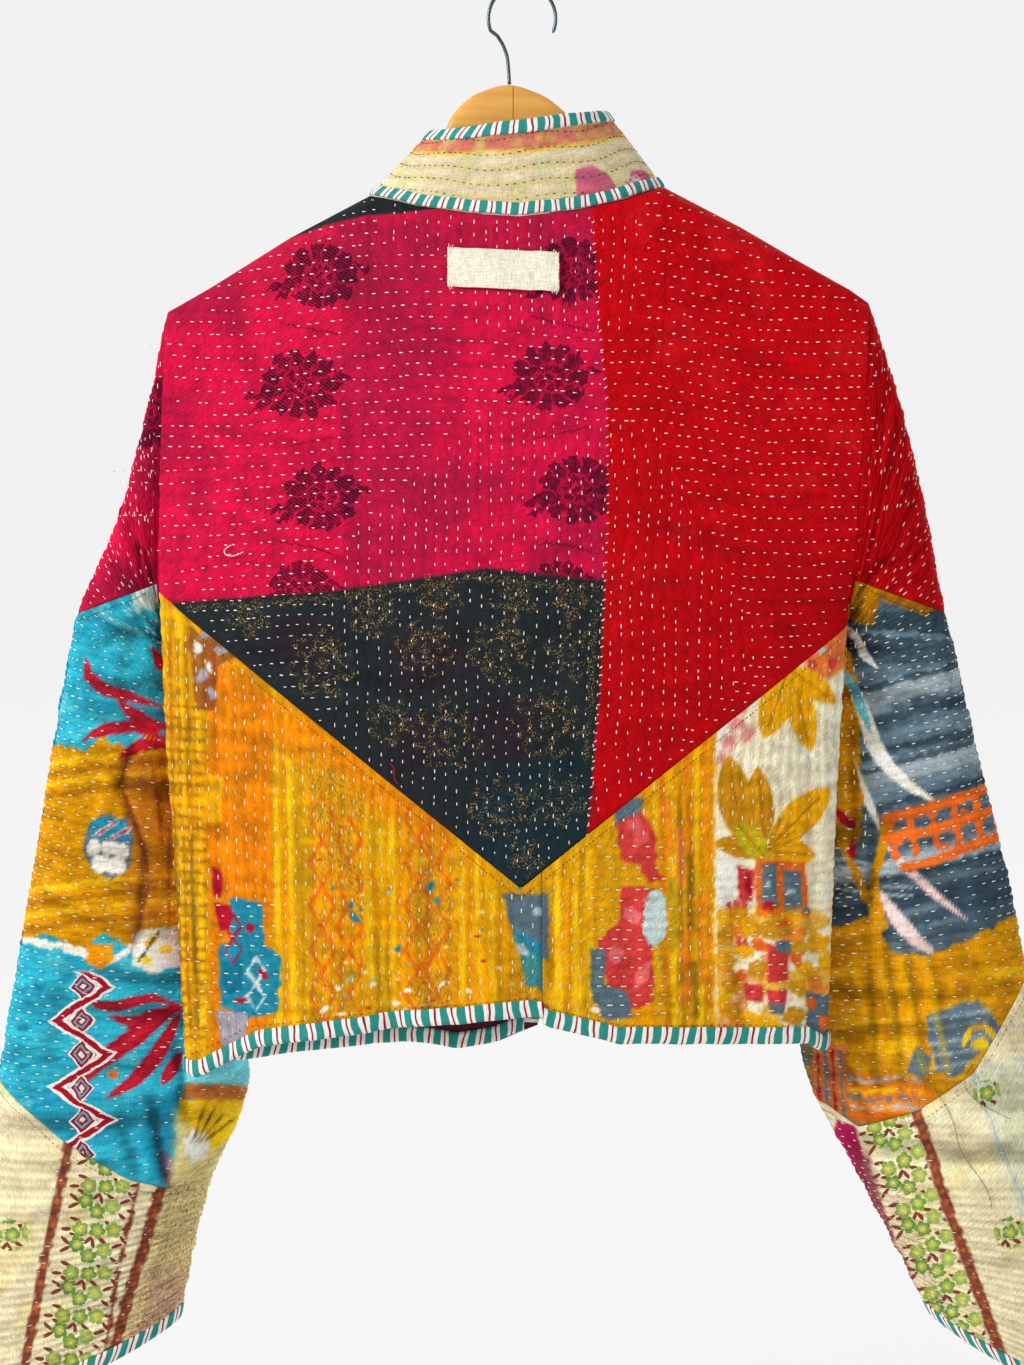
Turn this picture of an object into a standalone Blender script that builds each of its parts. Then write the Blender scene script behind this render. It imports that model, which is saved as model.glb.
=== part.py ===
"""A short jacket of patched kantha cloth on a wooden hanger, seen from its back.

The hanger's hook sits on whatever holds it up at the origin. +Z is up, +Y is the jacket's back and
+X is the wearer's left. Tables and sizes are in millimetres, and the meshes are made in metres.

The cloth is a wall. Its outer face carries the ridges between the quilting rows and its inner face
is plain. The body is one surface for the back and one for the front, which meet at the shoulder and
side seams. A sleeve is a tube of rings, from the tall armhole to the wide cuff.
"""

import bpy
import numpy as np

MM = 0.001

# Driving sizes
CLOTH = 2.0
SEAM_GAP = 0.3
BINDING = 1.0
BINDING_GAP = 0.4
HEM_BINDING_HEIGHT = 11.0
COLLAR_BINDING_HEIGHT = 8.0
ROW_PITCH = 6.8
WIDE_PITCH = 13.6
RIDGE_BACK = 0.8
RIDGE_YOKE = 0.5
RIDGE_SLEEVE = 0.8
SHOULDER_ROUNDING = 16.0
SIDE_POWER = 2.4
ARMHOLE_HALF_DEPTH = 15.0
SLEEVE_COLUMNS = 12
WIRE = 2.5
HANGER_THICKNESS = {"middle": 12.0, "tip": 5.0}
HANGER_CENTRE = 6.0
HANGER_HALF_SPAN = 220.0

BACK, FRONT = 1, -1
LEFT, RIGHT = 1, -1


def table(names, rows):
    """The columns of a table of numbers, by name."""
    return dict(zip(names, np.array(rows, float).T))


# The body's edges at each height: the armhole from the shoulder to -411, and the side seam below
EDGES = table(
    ("height", "left", "right"),
    [
        (-770, 237, -216),
        (-745, 238, -216.5),
        (-587, 243.5, -219),
        (-516, 247, -221),
        (-411, 250, -226),
        (-209, 240.5, -235.5),
    ],
)
UNDERARM = -411.0
SHOULDER_TIP = {LEFT: -215.0, RIGHT: -209.0}

# How far the body stands out from its middle plane
DEPTHS = table(
    ("height", "shoulder", "middle"),
    [
        (-750, 40, 42),
        (-560, 38, 42),
        (-410, 33, 40),
        (-310, 26, 38),
        (-215, 16, 35),
        (-130, 12, 33),
    ],
)

# The top edge of the back and of the front: shoulder seam, neckline and shoulder seam
TOP_LINE = {
    BACK: table(
        ("x", "height"),
        [
            (-236, -209),
            (-223, -200),
            (-189, -181.5),
            (-148, -158.5),
            (-96, -132.5),
            (-65, -144),
            (-35, -151),
            (1.5, -155),
            (35, -153),
            (70, -147.5),
            (103, -138),
            (157, -165.5),
            (209, -197),
            (241, -215),
        ],
    ),
    FRONT: table(
        ("x", "height"),
        [
            (-236, -209),
            (-223, -200),
            (-189, -181.5),
            (-148, -158.5),
            (-96, -132.5),
            (-80, -163),
            (-54, -191),
            (-20, -207),
            (3, -209),
            (25, -207),
            (60, -192),
            (88, -165),
            (103, -138),
            (157, -165.5),
            (209, -197),
            (241, -215),
        ],
    ),
}
NECK = {"middle": 3.5, "half_width": 99.5, BACK: 32.0, FRONT: 36.0}

# The yoke's lower edge, a deep V with its point near the middle of the back
YOKE_LINE = table(
    ("x", "height"),
    [(-226, -425), (-222, -427.5), (-114, -513), (-46, -567), (1.3, -605), (125, -504), (250, -403)],
)

# The cloth's lower edges, which lie inside their bindings
HEM_LINE = {
    (BACK, LEFT): table(
        ("x", "height"),
        [(-16, -694.5), (-5, -693.5), (29, -696.5), (84, -702.5), (139, -709), (188, -718), (238, -745)],
    ),
    (BACK, RIGHT): table(
        ("x", "height"), [(-216, -727), (-205, -719), (-136, -715), (-67, -713), (-19, -701), (-14, -698)]
    ),
    (FRONT, LEFT): table(
        ("x", "height"),
        [(-14, -722), (-4, -725), (22, -736), (48, -739), (92, -735), (150, -739), (208, -744), (238, -745)],
    ),
    (FRONT, RIGHT): table(
        ("x", "height"), [(-216, -727), (-190, -724), (-126, -722), (-67, -720), (-14, -718)]
    ),
}

# Soft troughs of the body: each sinks from depth_top to depth_low along a line, and a negative one swells
FOLDS = table(
    ("face", "x_top", "top", "x_low", "low", "depth_top", "depth_low", "width"),
    [
        (BACK, 98, -560, 80, -770, 0, 9, 15),
        (BACK, 207, -430, 198, -770, 3, 6, 15),
        (BACK, 150, -520, 140, -770, 0, -4, 18),
        (BACK, 122, -250, 95, -470, 2.5, 2, 24),
        (BACK, -62, -330, -42, -520, 0, 2.5, 22),
        (BACK, -150, -560, -160, -770, 0, 4, 16),
        (BACK, -196, -420, -190, -640, 3, 2, 14),
        (BACK, 30, -600, 22, -770, 0, -3, 20),
        (FRONT, 62, -420, 40, -770, 0, 6, 18),
        (FRONT, -92, -380, -112, -770, 2, 6, 18),
        (FRONT, 150, -300, 122, -560, 2, 3, 20),
        (FRONT, -50, -560, -52, -770, 0, -3, 16),
    ],
)

# A sleeve's rings: its outer edge, its underarm edge and how far it stands out behind and in front
SLEEVE_NAMES = ("along", "outer_x", "outer_y", "outer_z", "inner_x", "inner_y", "inner_z", "back", "front")
SLEEVE = {
    LEFT: table(
        SLEEVE_NAMES,
        [
            (0, 240.5, 0, -215, 250, 0, -411, 15, 15),
            (82, 260, -4, -294, 252.5, -9, -419, 19, 22),
            (154, 282, -6, -363, 251, -23, -434, 22, 32),
            (216, 308, -8, -420, 240, -37, -457, 23, 38),
            (278, 322, -9, -482, 225, -46, -503, 23, 42),
            (395, 344, -10, -596, 207, -49, -628, 25, 40),
            (558, 374, -8, -756, 201, -47, -762, 28, 37),
            (665, 391, -6, -862, 233, -38, -852, 34, 37),
            (800, 410, -4, -1003, 252, -30, -940, 36, 38),
        ],
    ),
    RIGHT: table(
        SLEEVE_NAMES,
        [
            (0, -235.5, 0, -209, -226, 0, -411, 15, 15),
            (84, -263, -4, -290, -229, -9, -419, 19, 22),
            (156, -280, -6, -355, -227, -23, -434, 22, 32),
            (222, -294, -8, -420, -217, -37, -457, 23, 38),
            (284, -309, -9, -476, -206, -46, -502, 23, 42),
            (400, -339, -10, -590, -197, -49, -628, 25, 40),
            (555, -377, -8, -745, -206, -46, -746, 28, 37),
            (660, -405, -6, -848, -256, -38, -850, 34, 37),
            (800, -444, -4, -1004, -301, -28, -936, 36, 38),
        ],
    ),
}
SLEEVE_LENGTH = 800.0
# The height of each patch seam across the sleeve
SLEEVE_SEAMS = {
    LEFT: (
        table(("x", "height"), [(250, -399), (312, -422)]),
        table(("x", "height"), [(203, -800), (252, -836), (280, -825), (327, -793), (380, -748)]),
    ),
    RIGHT: (
        table(("x", "height"), [(-300, -422), (-226, -396)]),
        table(
            ("x", "height"),
            [(-390, -640), (-355, -683.5), (-320, -746), (-282, -775), (-243, -793), (-222, -780)],
        ),
    ),
}
SHORTEST_UPPER_SLEEVE = 30.0
# Each sleeve piece's spaces between rings and the parts that the quilting cuts each into
SLEEVE_CUTS = {"upper": (6, 4), "middle": (8, 5), "lower": (6, 5)}

# The stand collar's top edge, by the angle around the neck from the middle of the back
COLLAR_TOP = table(
    ("angle", "height"),
    [
        (-176, -160),
        (-130, -124),
        (-90, -87),
        (-45, -89),
        (0, -94),
        (45, -100),
        (90, -102),
        (130, -131),
        (176, -162),
    ],
)
COLLAR_TOP_MIDDLE, COLLAR_TOP_HALF_WIDTH = 3.0, 59.0
COLLAR_TOP_DEPTH = {BACK: 29.0, FRONT: 34.0}

# The wooden hanger's upper edge inside the neck, where it dips under the collar's sides
HANGER_DOME = table(
    ("x", "height"),
    [
        (-104, -140),
        (-92, -142),
        (-80, -134),
        (-60, -113),
        (-44, -98),
        (-31, -84),
        (-12, -70.5),
        (9.5, -64.5),
        (31, -70.5),
        (46, -83),
        (51, -92),
        (55, -106),
        (63, -117),
        (84, -134),
        (96, -147),
        (110, -145.5),
    ],
)

LABEL = {"x": 12.5, "height": -190.0, "width": 73.5, "tall": 25.5, "slope": 0.043, "thick": 0.8}

# Where the panels' columns are laid out, and what stays plain beside a binding
MIDDLE_HEIGHT = -500.0
FINE = 600
TOP_OF_EDGES = -209.0
FRONT_MIDDLE = table(("height", "x"), [(-724, -14), (-209, 3)])
NECK_SIDES = (-96.0, 103.0)
CENTRE_BACK = -0.112
BODY_HALF_WIDTH = 233.0
# Rows near an edge, by their distance from it, where the cloth rounds over or a seam is plain
SEAM_ROWS = (0, 7)
TOP_ROWS = (0, 2.5, 8, 18)
FRONT_EDGE_APART = 2.0
PLAIN_EDGE = 11.8
COLLAR_PLAIN_EDGE = 9.0
COLLAR_SWELL = 0.6
COLLAR_SPACES = 5
COLLAR_SEAM_GAP = 0.5
HANGER_CLEARANCE = 0.9
HANGER_TALL = {"middle": 46.0, "tip": 20.0}
HANGER_CORNERS = 12
HANGER_FLATNESS = {"width": 0.7, "height": 0.8}
HOOK_RADIUS = 22.5
HOOK_TURN = (-20, 205)
HOOK_STATIONS = 18
HOOK_STEM = table(
    ("x", "height"),
    [(8.5, -63.9), (9, -55), (9.8, -47), (12.5, -39), (16.5, -32.5)],
)

COLOURS = {
    "back_yoke": (0.70, 0.03, 0.11),
    "back_lower_left": (0.80, 0.42, 0.03),
    "back_lower_right": (0.76, 0.45, 0.08),
    "front_left": (0.66, 0.10, 0.20),
    "front_right": (0.62, 0.08, 0.08),
    "collar": (0.78, 0.70, 0.48),
    "label": (0.85, 0.80, 0.68),
    "sleeve_left_upper": (0.70, 0.03, 0.13),
    "sleeve_left_middle": (0.10, 0.50, 0.62),
    "sleeve_left_lower": (0.78, 0.70, 0.45),
    "sleeve_right_upper": (0.65, 0.02, 0.04),
    "sleeve_right_middle": (0.16, 0.23, 0.29),
    "sleeve_right_lower": (0.78, 0.70, 0.45),
    "hanger_wood": (0.72, 0.45, 0.16),
    "hanger_hook": (0.12, 0.14, 0.15),
}
BINDING_COLOUR = (0.08, 0.45, 0.38)
ROUGHNESS = {"hanger_wood": 0.4, "hanger_hook": 0.3}
CLOTH_ROUGHNESS = 0.9


def smooth(x, xs, ys):
    """A curve through a table's points that never swings past them."""
    widths = np.diff(xs)
    secants = np.diff(ys) / widths
    slopes = np.zeros(len(xs))
    slopes[0], slopes[-1] = secants[0], secants[-1]
    before, after = secants[:-1], secants[1:]
    same = before * after > 0
    slopes[1:-1][same] = 2 * before[same] * after[same] / (before[same] + after[same])
    x = np.clip(x, xs[0], xs[-1])
    i = np.clip(np.searchsorted(xs, x) - 1, 0, len(xs) - 2)
    t = (x - xs[i]) / widths[i]
    rise = ys[i] * (2 * t**3 - 3 * t**2 + 1) + ys[i + 1] * (3 * t**2 - 2 * t**3)
    return rise + widths[i] * (slopes[i] * (t**3 - 2 * t**2 + t) + slopes[i + 1] * (t**3 - t**2))


def step(x, low, high):
    """0 below low, 1 above high, and a soft rise between."""
    t = np.clip((x - low) / (high - low), 0, 1)
    return t * t * (3 - 2 * t)


def unit(vectors):
    return vectors / np.linalg.norm(vectors, axis=-1, keepdims=True)


# The body's surface


def top_height(face, across):
    """The top edge's height at a place across the body, -1 at the right edge and 1 at the left."""
    left, right = EDGES["left"][-1], EDGES["right"][-1]
    x = (left + right) / 2 + across * (left - right) / 2
    line = TOP_LINE[face]
    return np.interp(x, line["x"], line["height"])


def across_at(x, height):
    left = np.interp(height, EDGES["height"], EDGES["left"])
    right = np.interp(height, EDGES["height"], EDGES["right"])
    return (x - (left + right) / 2) / ((left - right) / 2)


def neck_depth(face, x):
    inside = 1 - ((x - NECK["middle"]) / NECK["half_width"]) ** 2
    return NECK[face] * np.sqrt(np.clip(inside, 0, 1))


def armhole_depth(across, height):
    tip = np.where(across > 0, SHOULDER_TIP[LEFT], SHOULDER_TIP[RIGHT])
    middle, half = (tip + UNDERARM) / 2, (tip - UNDERARM) / 2
    return ARMHOLE_HALF_DEPTH * np.sqrt(np.clip(1 - ((height - middle) / half) ** 2, 0, 1))


def fold_depth(face, x, height):
    """How far the folds sink the surface."""
    total = np.zeros(np.broadcast(x, height).shape)
    for i in np.flatnonzero(FOLDS["face"] == face):
        fold = {name: values[i] for name, values in FOLDS.items()}
        t = (fold["top"] - height) / (fold["top"] - fold["low"])
        middle = fold["x_top"] + (fold["x_low"] - fold["x_top"]) * t
        depth = fold["depth_top"] + (fold["depth_low"] - fold["depth_top"]) * t
        ends = step(t, -0.1, 0.15) * (1 - step(t, 0.95, 1.2))
        total += depth * ends * np.exp(-(((x - middle) / fold["width"]) ** 2))
    return total


def body_point(face, across, height):
    """A point of the body's outer surface."""
    across, height = np.broadcast_arrays(np.asarray(across, float), np.asarray(height, float))
    left = np.interp(height, EDGES["height"], EDGES["left"])
    right = np.interp(height, EDGES["height"], EDGES["right"])
    x = (left + right) / 2 + across * (left - right) / 2
    shoulder = smooth(height, DEPTHS["height"], DEPTHS["shoulder"])
    middle = smooth(height, DEPTHS["height"], DEPTHS["middle"])
    depth = shoulder + (middle - shoulder) * (1 - across**2) ** 2
    # The side seam is a tight fold, the cloth opens out to the sleeve above it, and the hanger fills its top
    power = 0.42 + 0.38 * (step(height, UNDERARM - 15, UNDERARM + 40) - step(height, -290, -235))
    side = np.clip(1 - np.abs(across) ** SIDE_POWER, 0, 1) ** power
    edge = armhole_depth(across, height)
    y = edge + (depth - edge) * side
    y = y - fold_depth(face, x, height) * (1 - np.abs(across) ** 8)
    below_top = np.clip((top_height(face, across) - height) / SHOULDER_ROUNDING, 0, 1)
    start = neck_depth(face, x)
    y = start + (y - start) * np.sqrt(1 - (1 - below_top) ** 2)
    return np.stack([x, face * np.maximum(y, SEAM_GAP / 2), height], axis=-1)


def body_normal(face, across, height):
    """The outward direction of the body's surface."""
    top = top_height(face, across)
    right = body_point(face, np.maximum(across - 0.004, -1), height)
    left = body_point(face, np.minimum(across + 0.004, 1), height)
    low = body_point(face, across, height - 1)
    high = body_point(face, across, np.minimum(height + 1, top))
    return unit(face * np.cross(high - low, left - right))


# The sleeve's surface


def sleeve_ring(side, along, angle):
    """A point of the plain ring. The angle is 0 at the outer edge and pi at the underarm edge."""
    row = {name: smooth(along, SLEEVE[side]["along"], values) for name, values in SLEEVE[side].items()}
    outer = np.stack([row["outer_x"], row["outer_y"], row["outer_z"]], axis=-1)
    inner = np.stack([row["inner_x"], row["inner_y"], row["inner_z"]], axis=-1)
    arm = (outer - inner) / 2
    across = unit(arm)
    back = unit(np.array([0.0, 1.0, 0.0]) - across * across[..., 1:2])
    depth = np.where(np.sin(angle) > 0, row["back"], row["front"])
    return (
        (outer + inner) / 2
        + arm * np.cos(angle)[..., None]
        + back * (depth * np.sin(angle))[..., None]
    )


def armhole_point(side, angle):
    """The body's armhole edge, one seam gap further out."""
    tip = SHOULDER_TIP[side]
    height = (tip + UNDERARM) / 2 + np.cos(angle) * (tip - UNDERARM) / 2
    behind = body_point(BACK, float(side), height)
    before = body_point(FRONT, float(side), height)
    point = np.where(np.sin(angle)[..., None] > 0, behind, before)
    ends = np.abs(np.sin(angle))[..., None] < 1e-6
    point = np.where(ends, point * np.array([1, 0, 1]), point)
    return point + np.array([side * SEAM_GAP, 0, 0])


def sleeve_point(side, along, angle):
    """A point of the sleeve's outer surface."""
    along, angle = np.broadcast_arrays(np.asarray(along, float), np.asarray(angle, float))
    start = armhole_point(side, angle) - sleeve_ring(side, np.zeros(along.shape), angle)
    return sleeve_ring(side, along, angle) + start * (1 - step(along, 0, 60))[..., None]


def sleeve_normal(side, along, angle):
    """The outward direction of the sleeve's surface."""
    near = sleeve_point(side, np.maximum(along - 2, 0), angle)
    far = sleeve_point(side, np.minimum(along + 2, SLEEVE_LENGTH), angle)
    before = sleeve_point(side, along, angle - 0.05)
    after = sleeve_point(side, along, angle + 0.05)
    return unit(side * np.cross(far - near, after - before))


def seam_along(side, seam, angle):
    """How far down the sleeve a patch seam lies at each angle, by halving."""
    low = np.full(angle.shape, SHORTEST_UPPER_SLEEVE)
    high = np.full(angle.shape, SLEEVE_LENGTH - 60)
    for _ in range(30):
        middle = (low + high) / 2
        point = sleeve_point(side, middle, angle)
        above = point[..., 2] > np.interp(point[..., 0], seam["x"], seam["height"])
        low = np.where(above, middle, low)
        high = np.where(above, high, middle)
    return low


# Meshes


def material(name):
    made = bpy.data.materials.new(name)
    made.use_nodes = True
    shader = made.node_tree.nodes["Principled BSDF"]
    shader.inputs["Base Color"].default_value = (*COLOURS.get(name, BINDING_COLOUR), 1)
    shader.inputs["Roughness"].default_value = ROUGHNESS.get(name, CLOTH_ROUGHNESS)
    shader.inputs["Metallic"].default_value = float(name == "hanger_hook")
    return made


def solid(name, points, faces):
    """One closed mesh object, facing out."""
    mesh = bpy.data.meshes.new(name)
    mesh.from_pydata([tuple(p) for p in np.asarray(points) * MM], [], faces)
    mesh.validate()
    mesh.calc_loop_triangles()
    corners = np.array([[mesh.vertices[i].co[:] for i in t.vertices] for t in mesh.loop_triangles])
    if np.linalg.det(corners).sum() < 0:
        mesh.flip_normals()
    mesh.shade_smooth()
    mesh.set_sharp_from_angle(angle=np.radians(40))
    mesh.materials.append(material(name))
    bpy.context.collection.objects.link(bpy.data.objects.new(name, mesh))


def halves(a, b, c, d):
    """A four-sided face as two triangles, cut from a to c, so that faces that lie together match."""
    return [(a, b, c), (a, c, d)]


def cloth_wall(name, outer, normals, inner_limit, splits, ridge, around=False):
    """A wall of cloth over a coarse grid of outer points.

    The ridges run across the grid's first direction: each of its spaces is cut into the given
    number of parts, and ridge gives the height of the outer face there. The inner face is plain.
    """
    rows, columns = outer.shape[:2]
    places = np.concatenate(
        [i + np.arange(n) / n for i, n in enumerate(splits)] + [np.array([rows - 1.0])]
    )
    low = np.minimum(places.astype(int), rows - 2)
    share = (places - low)[:, None, None]
    fine = outer[low] * (1 - share) + outer[low + 1] * share
    direction = unit(normals[low] * (1 - share) + normals[low + 1] * share)
    fine = fine + direction * ridge[..., None]
    inner = inner_limit(outer - normals * CLOTH)
    points = np.concatenate([fine.reshape(-1, 3), inner.reshape(-1, 3)])
    top = len(places) * columns
    last = columns if around else columns - 1

    def at(i, j):
        return i * columns + j % columns

    def under(i, j):
        return top + i * columns + j % columns

    faces = []
    for j in range(last):
        for i in range(len(places) - 1):
            faces += halves(at(i, j), at(i + 1, j), at(i + 1, j + 1), at(i, j + 1))
        for i in range(rows - 1):
            faces += halves(under(i, j), under(i, j + 1), under(i + 1, j + 1), under(i + 1, j))
        end = len(places) - 1
        faces += halves(at(0, j), at(0, j + 1), under(0, j + 1), under(0, j))
        faces += halves(at(end, j), under(rows - 1, j), under(rows - 1, j + 1), at(end, j + 1))
    if not around:
        starts = np.concatenate([[0], np.cumsum(splits)])
        for i in range(rows - 1):
            first, final = starts[i], starts[i + 1]
            for k in range(first, final):
                faces.append((under(i, 0), at(k + 1, 0), at(k, 0)))
                faces.append((under(i, columns - 1), at(k, columns - 1), at(k + 1, columns - 1)))
            faces.append((under(i, 0), under(i + 1, 0), at(final, 0)))
            faces.append(
                (under(i + 1, columns - 1), under(i, columns - 1), at(final, columns - 1))
            )
    solid(name, points, faces)


def swept(name, sections, leading=(), around=False):
    """A strip with the same closed outline at every station, capped at its ends.

    Each side face is cut from its leading corner ahead to its other corner behind.
    """
    stations, corners = sections.shape[:2]
    faces = []
    for i in range(stations if around else stations - 1):
        ahead = (i + 1) % stations
        for j in range(corners):
            k = (j + 1) % corners
            a, b = i * corners + j, ahead * corners + j
            c, d = ahead * corners + k, i * corners + k
            faces += halves(a, b, c, d) if k in leading else halves(b, c, d, a)
    if not around:
        faces.append(tuple(range(corners)))
        faces.append(tuple(reversed(range((stations - 1) * corners, stations * corners))))
    solid(name, sections.reshape(-1, 3), faces)


def channel(edge, inside, edge_normal, inside_normal):
    """The outline of a binding folded over a cloth's edge, at each station."""
    down = unit(edge - inside)
    near, far = BINDING_GAP, BINDING_GAP + BINDING
    return np.stack(
        [
            inside + inside_normal * far,
            edge + edge_normal * (far - BINDING / 2) + down * far,
            edge - edge_normal * (CLOTH + far - BINDING / 2) + down * far,
            inside - inside_normal * (CLOTH + far),
            inside - inside_normal * (CLOTH + near),
            edge - edge_normal * (CLOTH + near) + down * near,
            edge + edge_normal * near + down * near,
            inside + inside_normal * near,
        ],
        axis=1,
    )


def ridges(spots, pitch, height):
    """The outer face's height at each spot along a line of quilting rows."""
    return height * (0.5 - 0.5 * np.cos(2 * np.pi * spots / pitch))


# The body's panels


def arc_places(face, first, last, height, sizes):
    """Turns lengths along a section of the body into places across it."""
    dense = np.linspace(first, last, FINE)
    line = body_point(face, dense, height)[:, :2]
    length = np.concatenate([[0], np.cumsum(np.linalg.norm(np.diff(line, axis=0), axis=1))])
    spots = np.concatenate([[0], np.cumsum(sizes)])
    return np.interp(spots * length[-1] / spots[-1], length, dense)


def arc_length(face, first, last, height):
    line = body_point(face, np.linspace(first, last, FINE), height)[:, :2]
    return np.linalg.norm(np.diff(line, axis=0), axis=1).sum()


def panel_rows(low, high, near_low, near_high, count):
    """Heights from the low edge to the high edge, with rows at set distances from each."""
    inner_low, inner_high = low + near_low[-1], high - near_high[-1]
    between = [inner_low + (inner_high - inner_low) * k / count for k in range(1, count)]
    rows = [low + d for d in near_low] + between + [high - d for d in near_high[::-1]]
    return np.stack(rows, axis=1)


def keep_side(face):
    """The wall's inner face stays on its own side of the middle plane."""

    def limit(points):
        kept = points.copy()
        kept[..., 1] = face * np.maximum(face * kept[..., 1], SEAM_GAP / 2)
        return kept

    return limit


def body_panel(name, face, across, parts, heights, pitch, height):
    """One panel between the given places across and heights. It returns what a binding is made from."""
    if across.ndim == 1:
        across = across[:, None] + np.zeros(heights.shape)
    outer = body_point(face, across, heights)
    normals = body_normal(face, across, heights)
    widths = np.linalg.norm(np.diff(outer[:, outer.shape[1] // 2], axis=0), axis=1)
    starts = np.concatenate([[0], np.cumsum(widths)])
    spots = np.concatenate(
        [starts[i] + widths[i] * np.arange(n) / n for i, n in enumerate(parts)] + [starts[-1:]]
    )
    steps = round(starts[-1] / pitch)
    wave = ridges(spots * steps / starts[-1], 1.0, height)
    fade = np.ones(heights.shape[1])
    fade[:2] = 0
    fade[-2:] = 0
    ridge = wave[:, None] * fade[None, :]
    ridge[0] = ridge[-1] = 0
    cloth_wall(name, outer, normals, keep_side(face), parts, ridge)
    return outer, normals


def edge_pair(outer, normals, covered):
    """The first row of a grid and the line a set way in from it, with their normals."""
    way = np.linalg.norm(outer[:, 1] - outer[:, 0], axis=-1, keepdims=True)
    share = np.minimum(covered / way, 0.98)
    inside = outer[:, 0] + (outer[:, 1] - outer[:, 0]) * share
    inside_normal = unit(normals[:, 0] + (normals[:, 1] - normals[:, 0]) * share)
    return outer[:, 0], inside, normals[:, 0], inside_normal


def hem_binding(name, face, outer, normals):
    """The binding folded over a panel's lower edge."""
    sections = channel(*edge_pair(outer, normals, HEM_BINDING_HEIGHT))
    sections[..., 1] = face * np.maximum(face * sections[..., 1], SEAM_GAP / 2)
    swept(name, sections)


def back_places():
    """Places across the back, with the parts that each space is cut into and the middle seam's number.

    The spaces are short at the side seams, where the cloth turns, and a column stands at each neck side.
    """
    turn = [ROW_PITCH] * 3 + [2 * ROW_PITCH] * 2
    turn_parts = [2] * 3 + [4] * 2
    places, parts = [], []
    for first, last in ((-1.0, CENTRE_BACK), (CENTRE_BACK, 1.0)):
        length = arc_length(BACK, first, last, MIDDLE_HEIGHT)
        count = round((length - sum(turn)) / (3 * ROW_PITCH))
        sizes = turn + [(length - sum(turn)) / count] * count
        cuts = turn_parts + [6] * count
        if last == 1.0:
            sizes, cuts = sizes[::-1], cuts[::-1]
        places.append(arc_places(BACK, first, last, MIDDLE_HEIGHT, sizes))
        parts += cuts
    seam = len(places[0]) - 1
    across = np.concatenate([places[0], places[1][1:]])
    for x in NECK_SIDES:
        at = across_at(x, TOP_OF_EDGES)
        across[np.argmin(abs(across - at))] = at
    return across, parts, seam


def make_back():
    """The yoke, the two lower panels and their hem bindings. It returns the neckline from side to side."""
    across, parts, seam = back_places()
    x = body_point(BACK, across, MIDDLE_HEIGHT)[:, 0]
    point_line = np.interp(x, YOKE_LINE["x"], YOKE_LINE["height"])
    yoke_parts = [max(1, n // 2) for n in parts]
    top = top_height(BACK, across)
    rows = panel_rows(point_line + SEAM_GAP / 2, top, SEAM_ROWS, TOP_ROWS, 5)
    yoke = body_panel("back_yoke", BACK, across, yoke_parts, rows, WIDE_PITCH, RIDGE_YOKE)
    for side, name in ((LEFT, "left"), (RIGHT, "right")):
        picked = slice(seam, None) if side == LEFT else slice(0, seam + 1)
        cuts = parts[seam:] if side == LEFT else parts[:seam]
        places = across[picked].copy()
        places[0 if side == LEFT else -1] += side * SEAM_GAP / 2 / BODY_HALF_WIDTH
        line = HEM_LINE[BACK, side]
        low = np.interp(x[picked], line["x"], line["height"])
        high = point_line[picked] - SEAM_GAP / 2
        rows = panel_rows(low, high, (0, PLAIN_EDGE), SEAM_ROWS, 4)
        made = body_panel("back_lower_" + name, BACK, places, cuts, rows, ROW_PITCH, RIDGE_BACK)
        hem_binding("hem_binding_back_" + name, BACK, *made)
    first, last = (np.argmin(abs(across - across_at(side, TOP_OF_EDGES))) for side in NECK_SIDES)
    return yoke[0][first : last + 1, -1], yoke[1][first : last + 1, -1]


def front_middle(height):
    """The line where the two fronts meet, which leans to the right as it goes down."""
    return np.interp(height, FRONT_MIDDLE["height"], FRONT_MIDDLE["x"])


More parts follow.
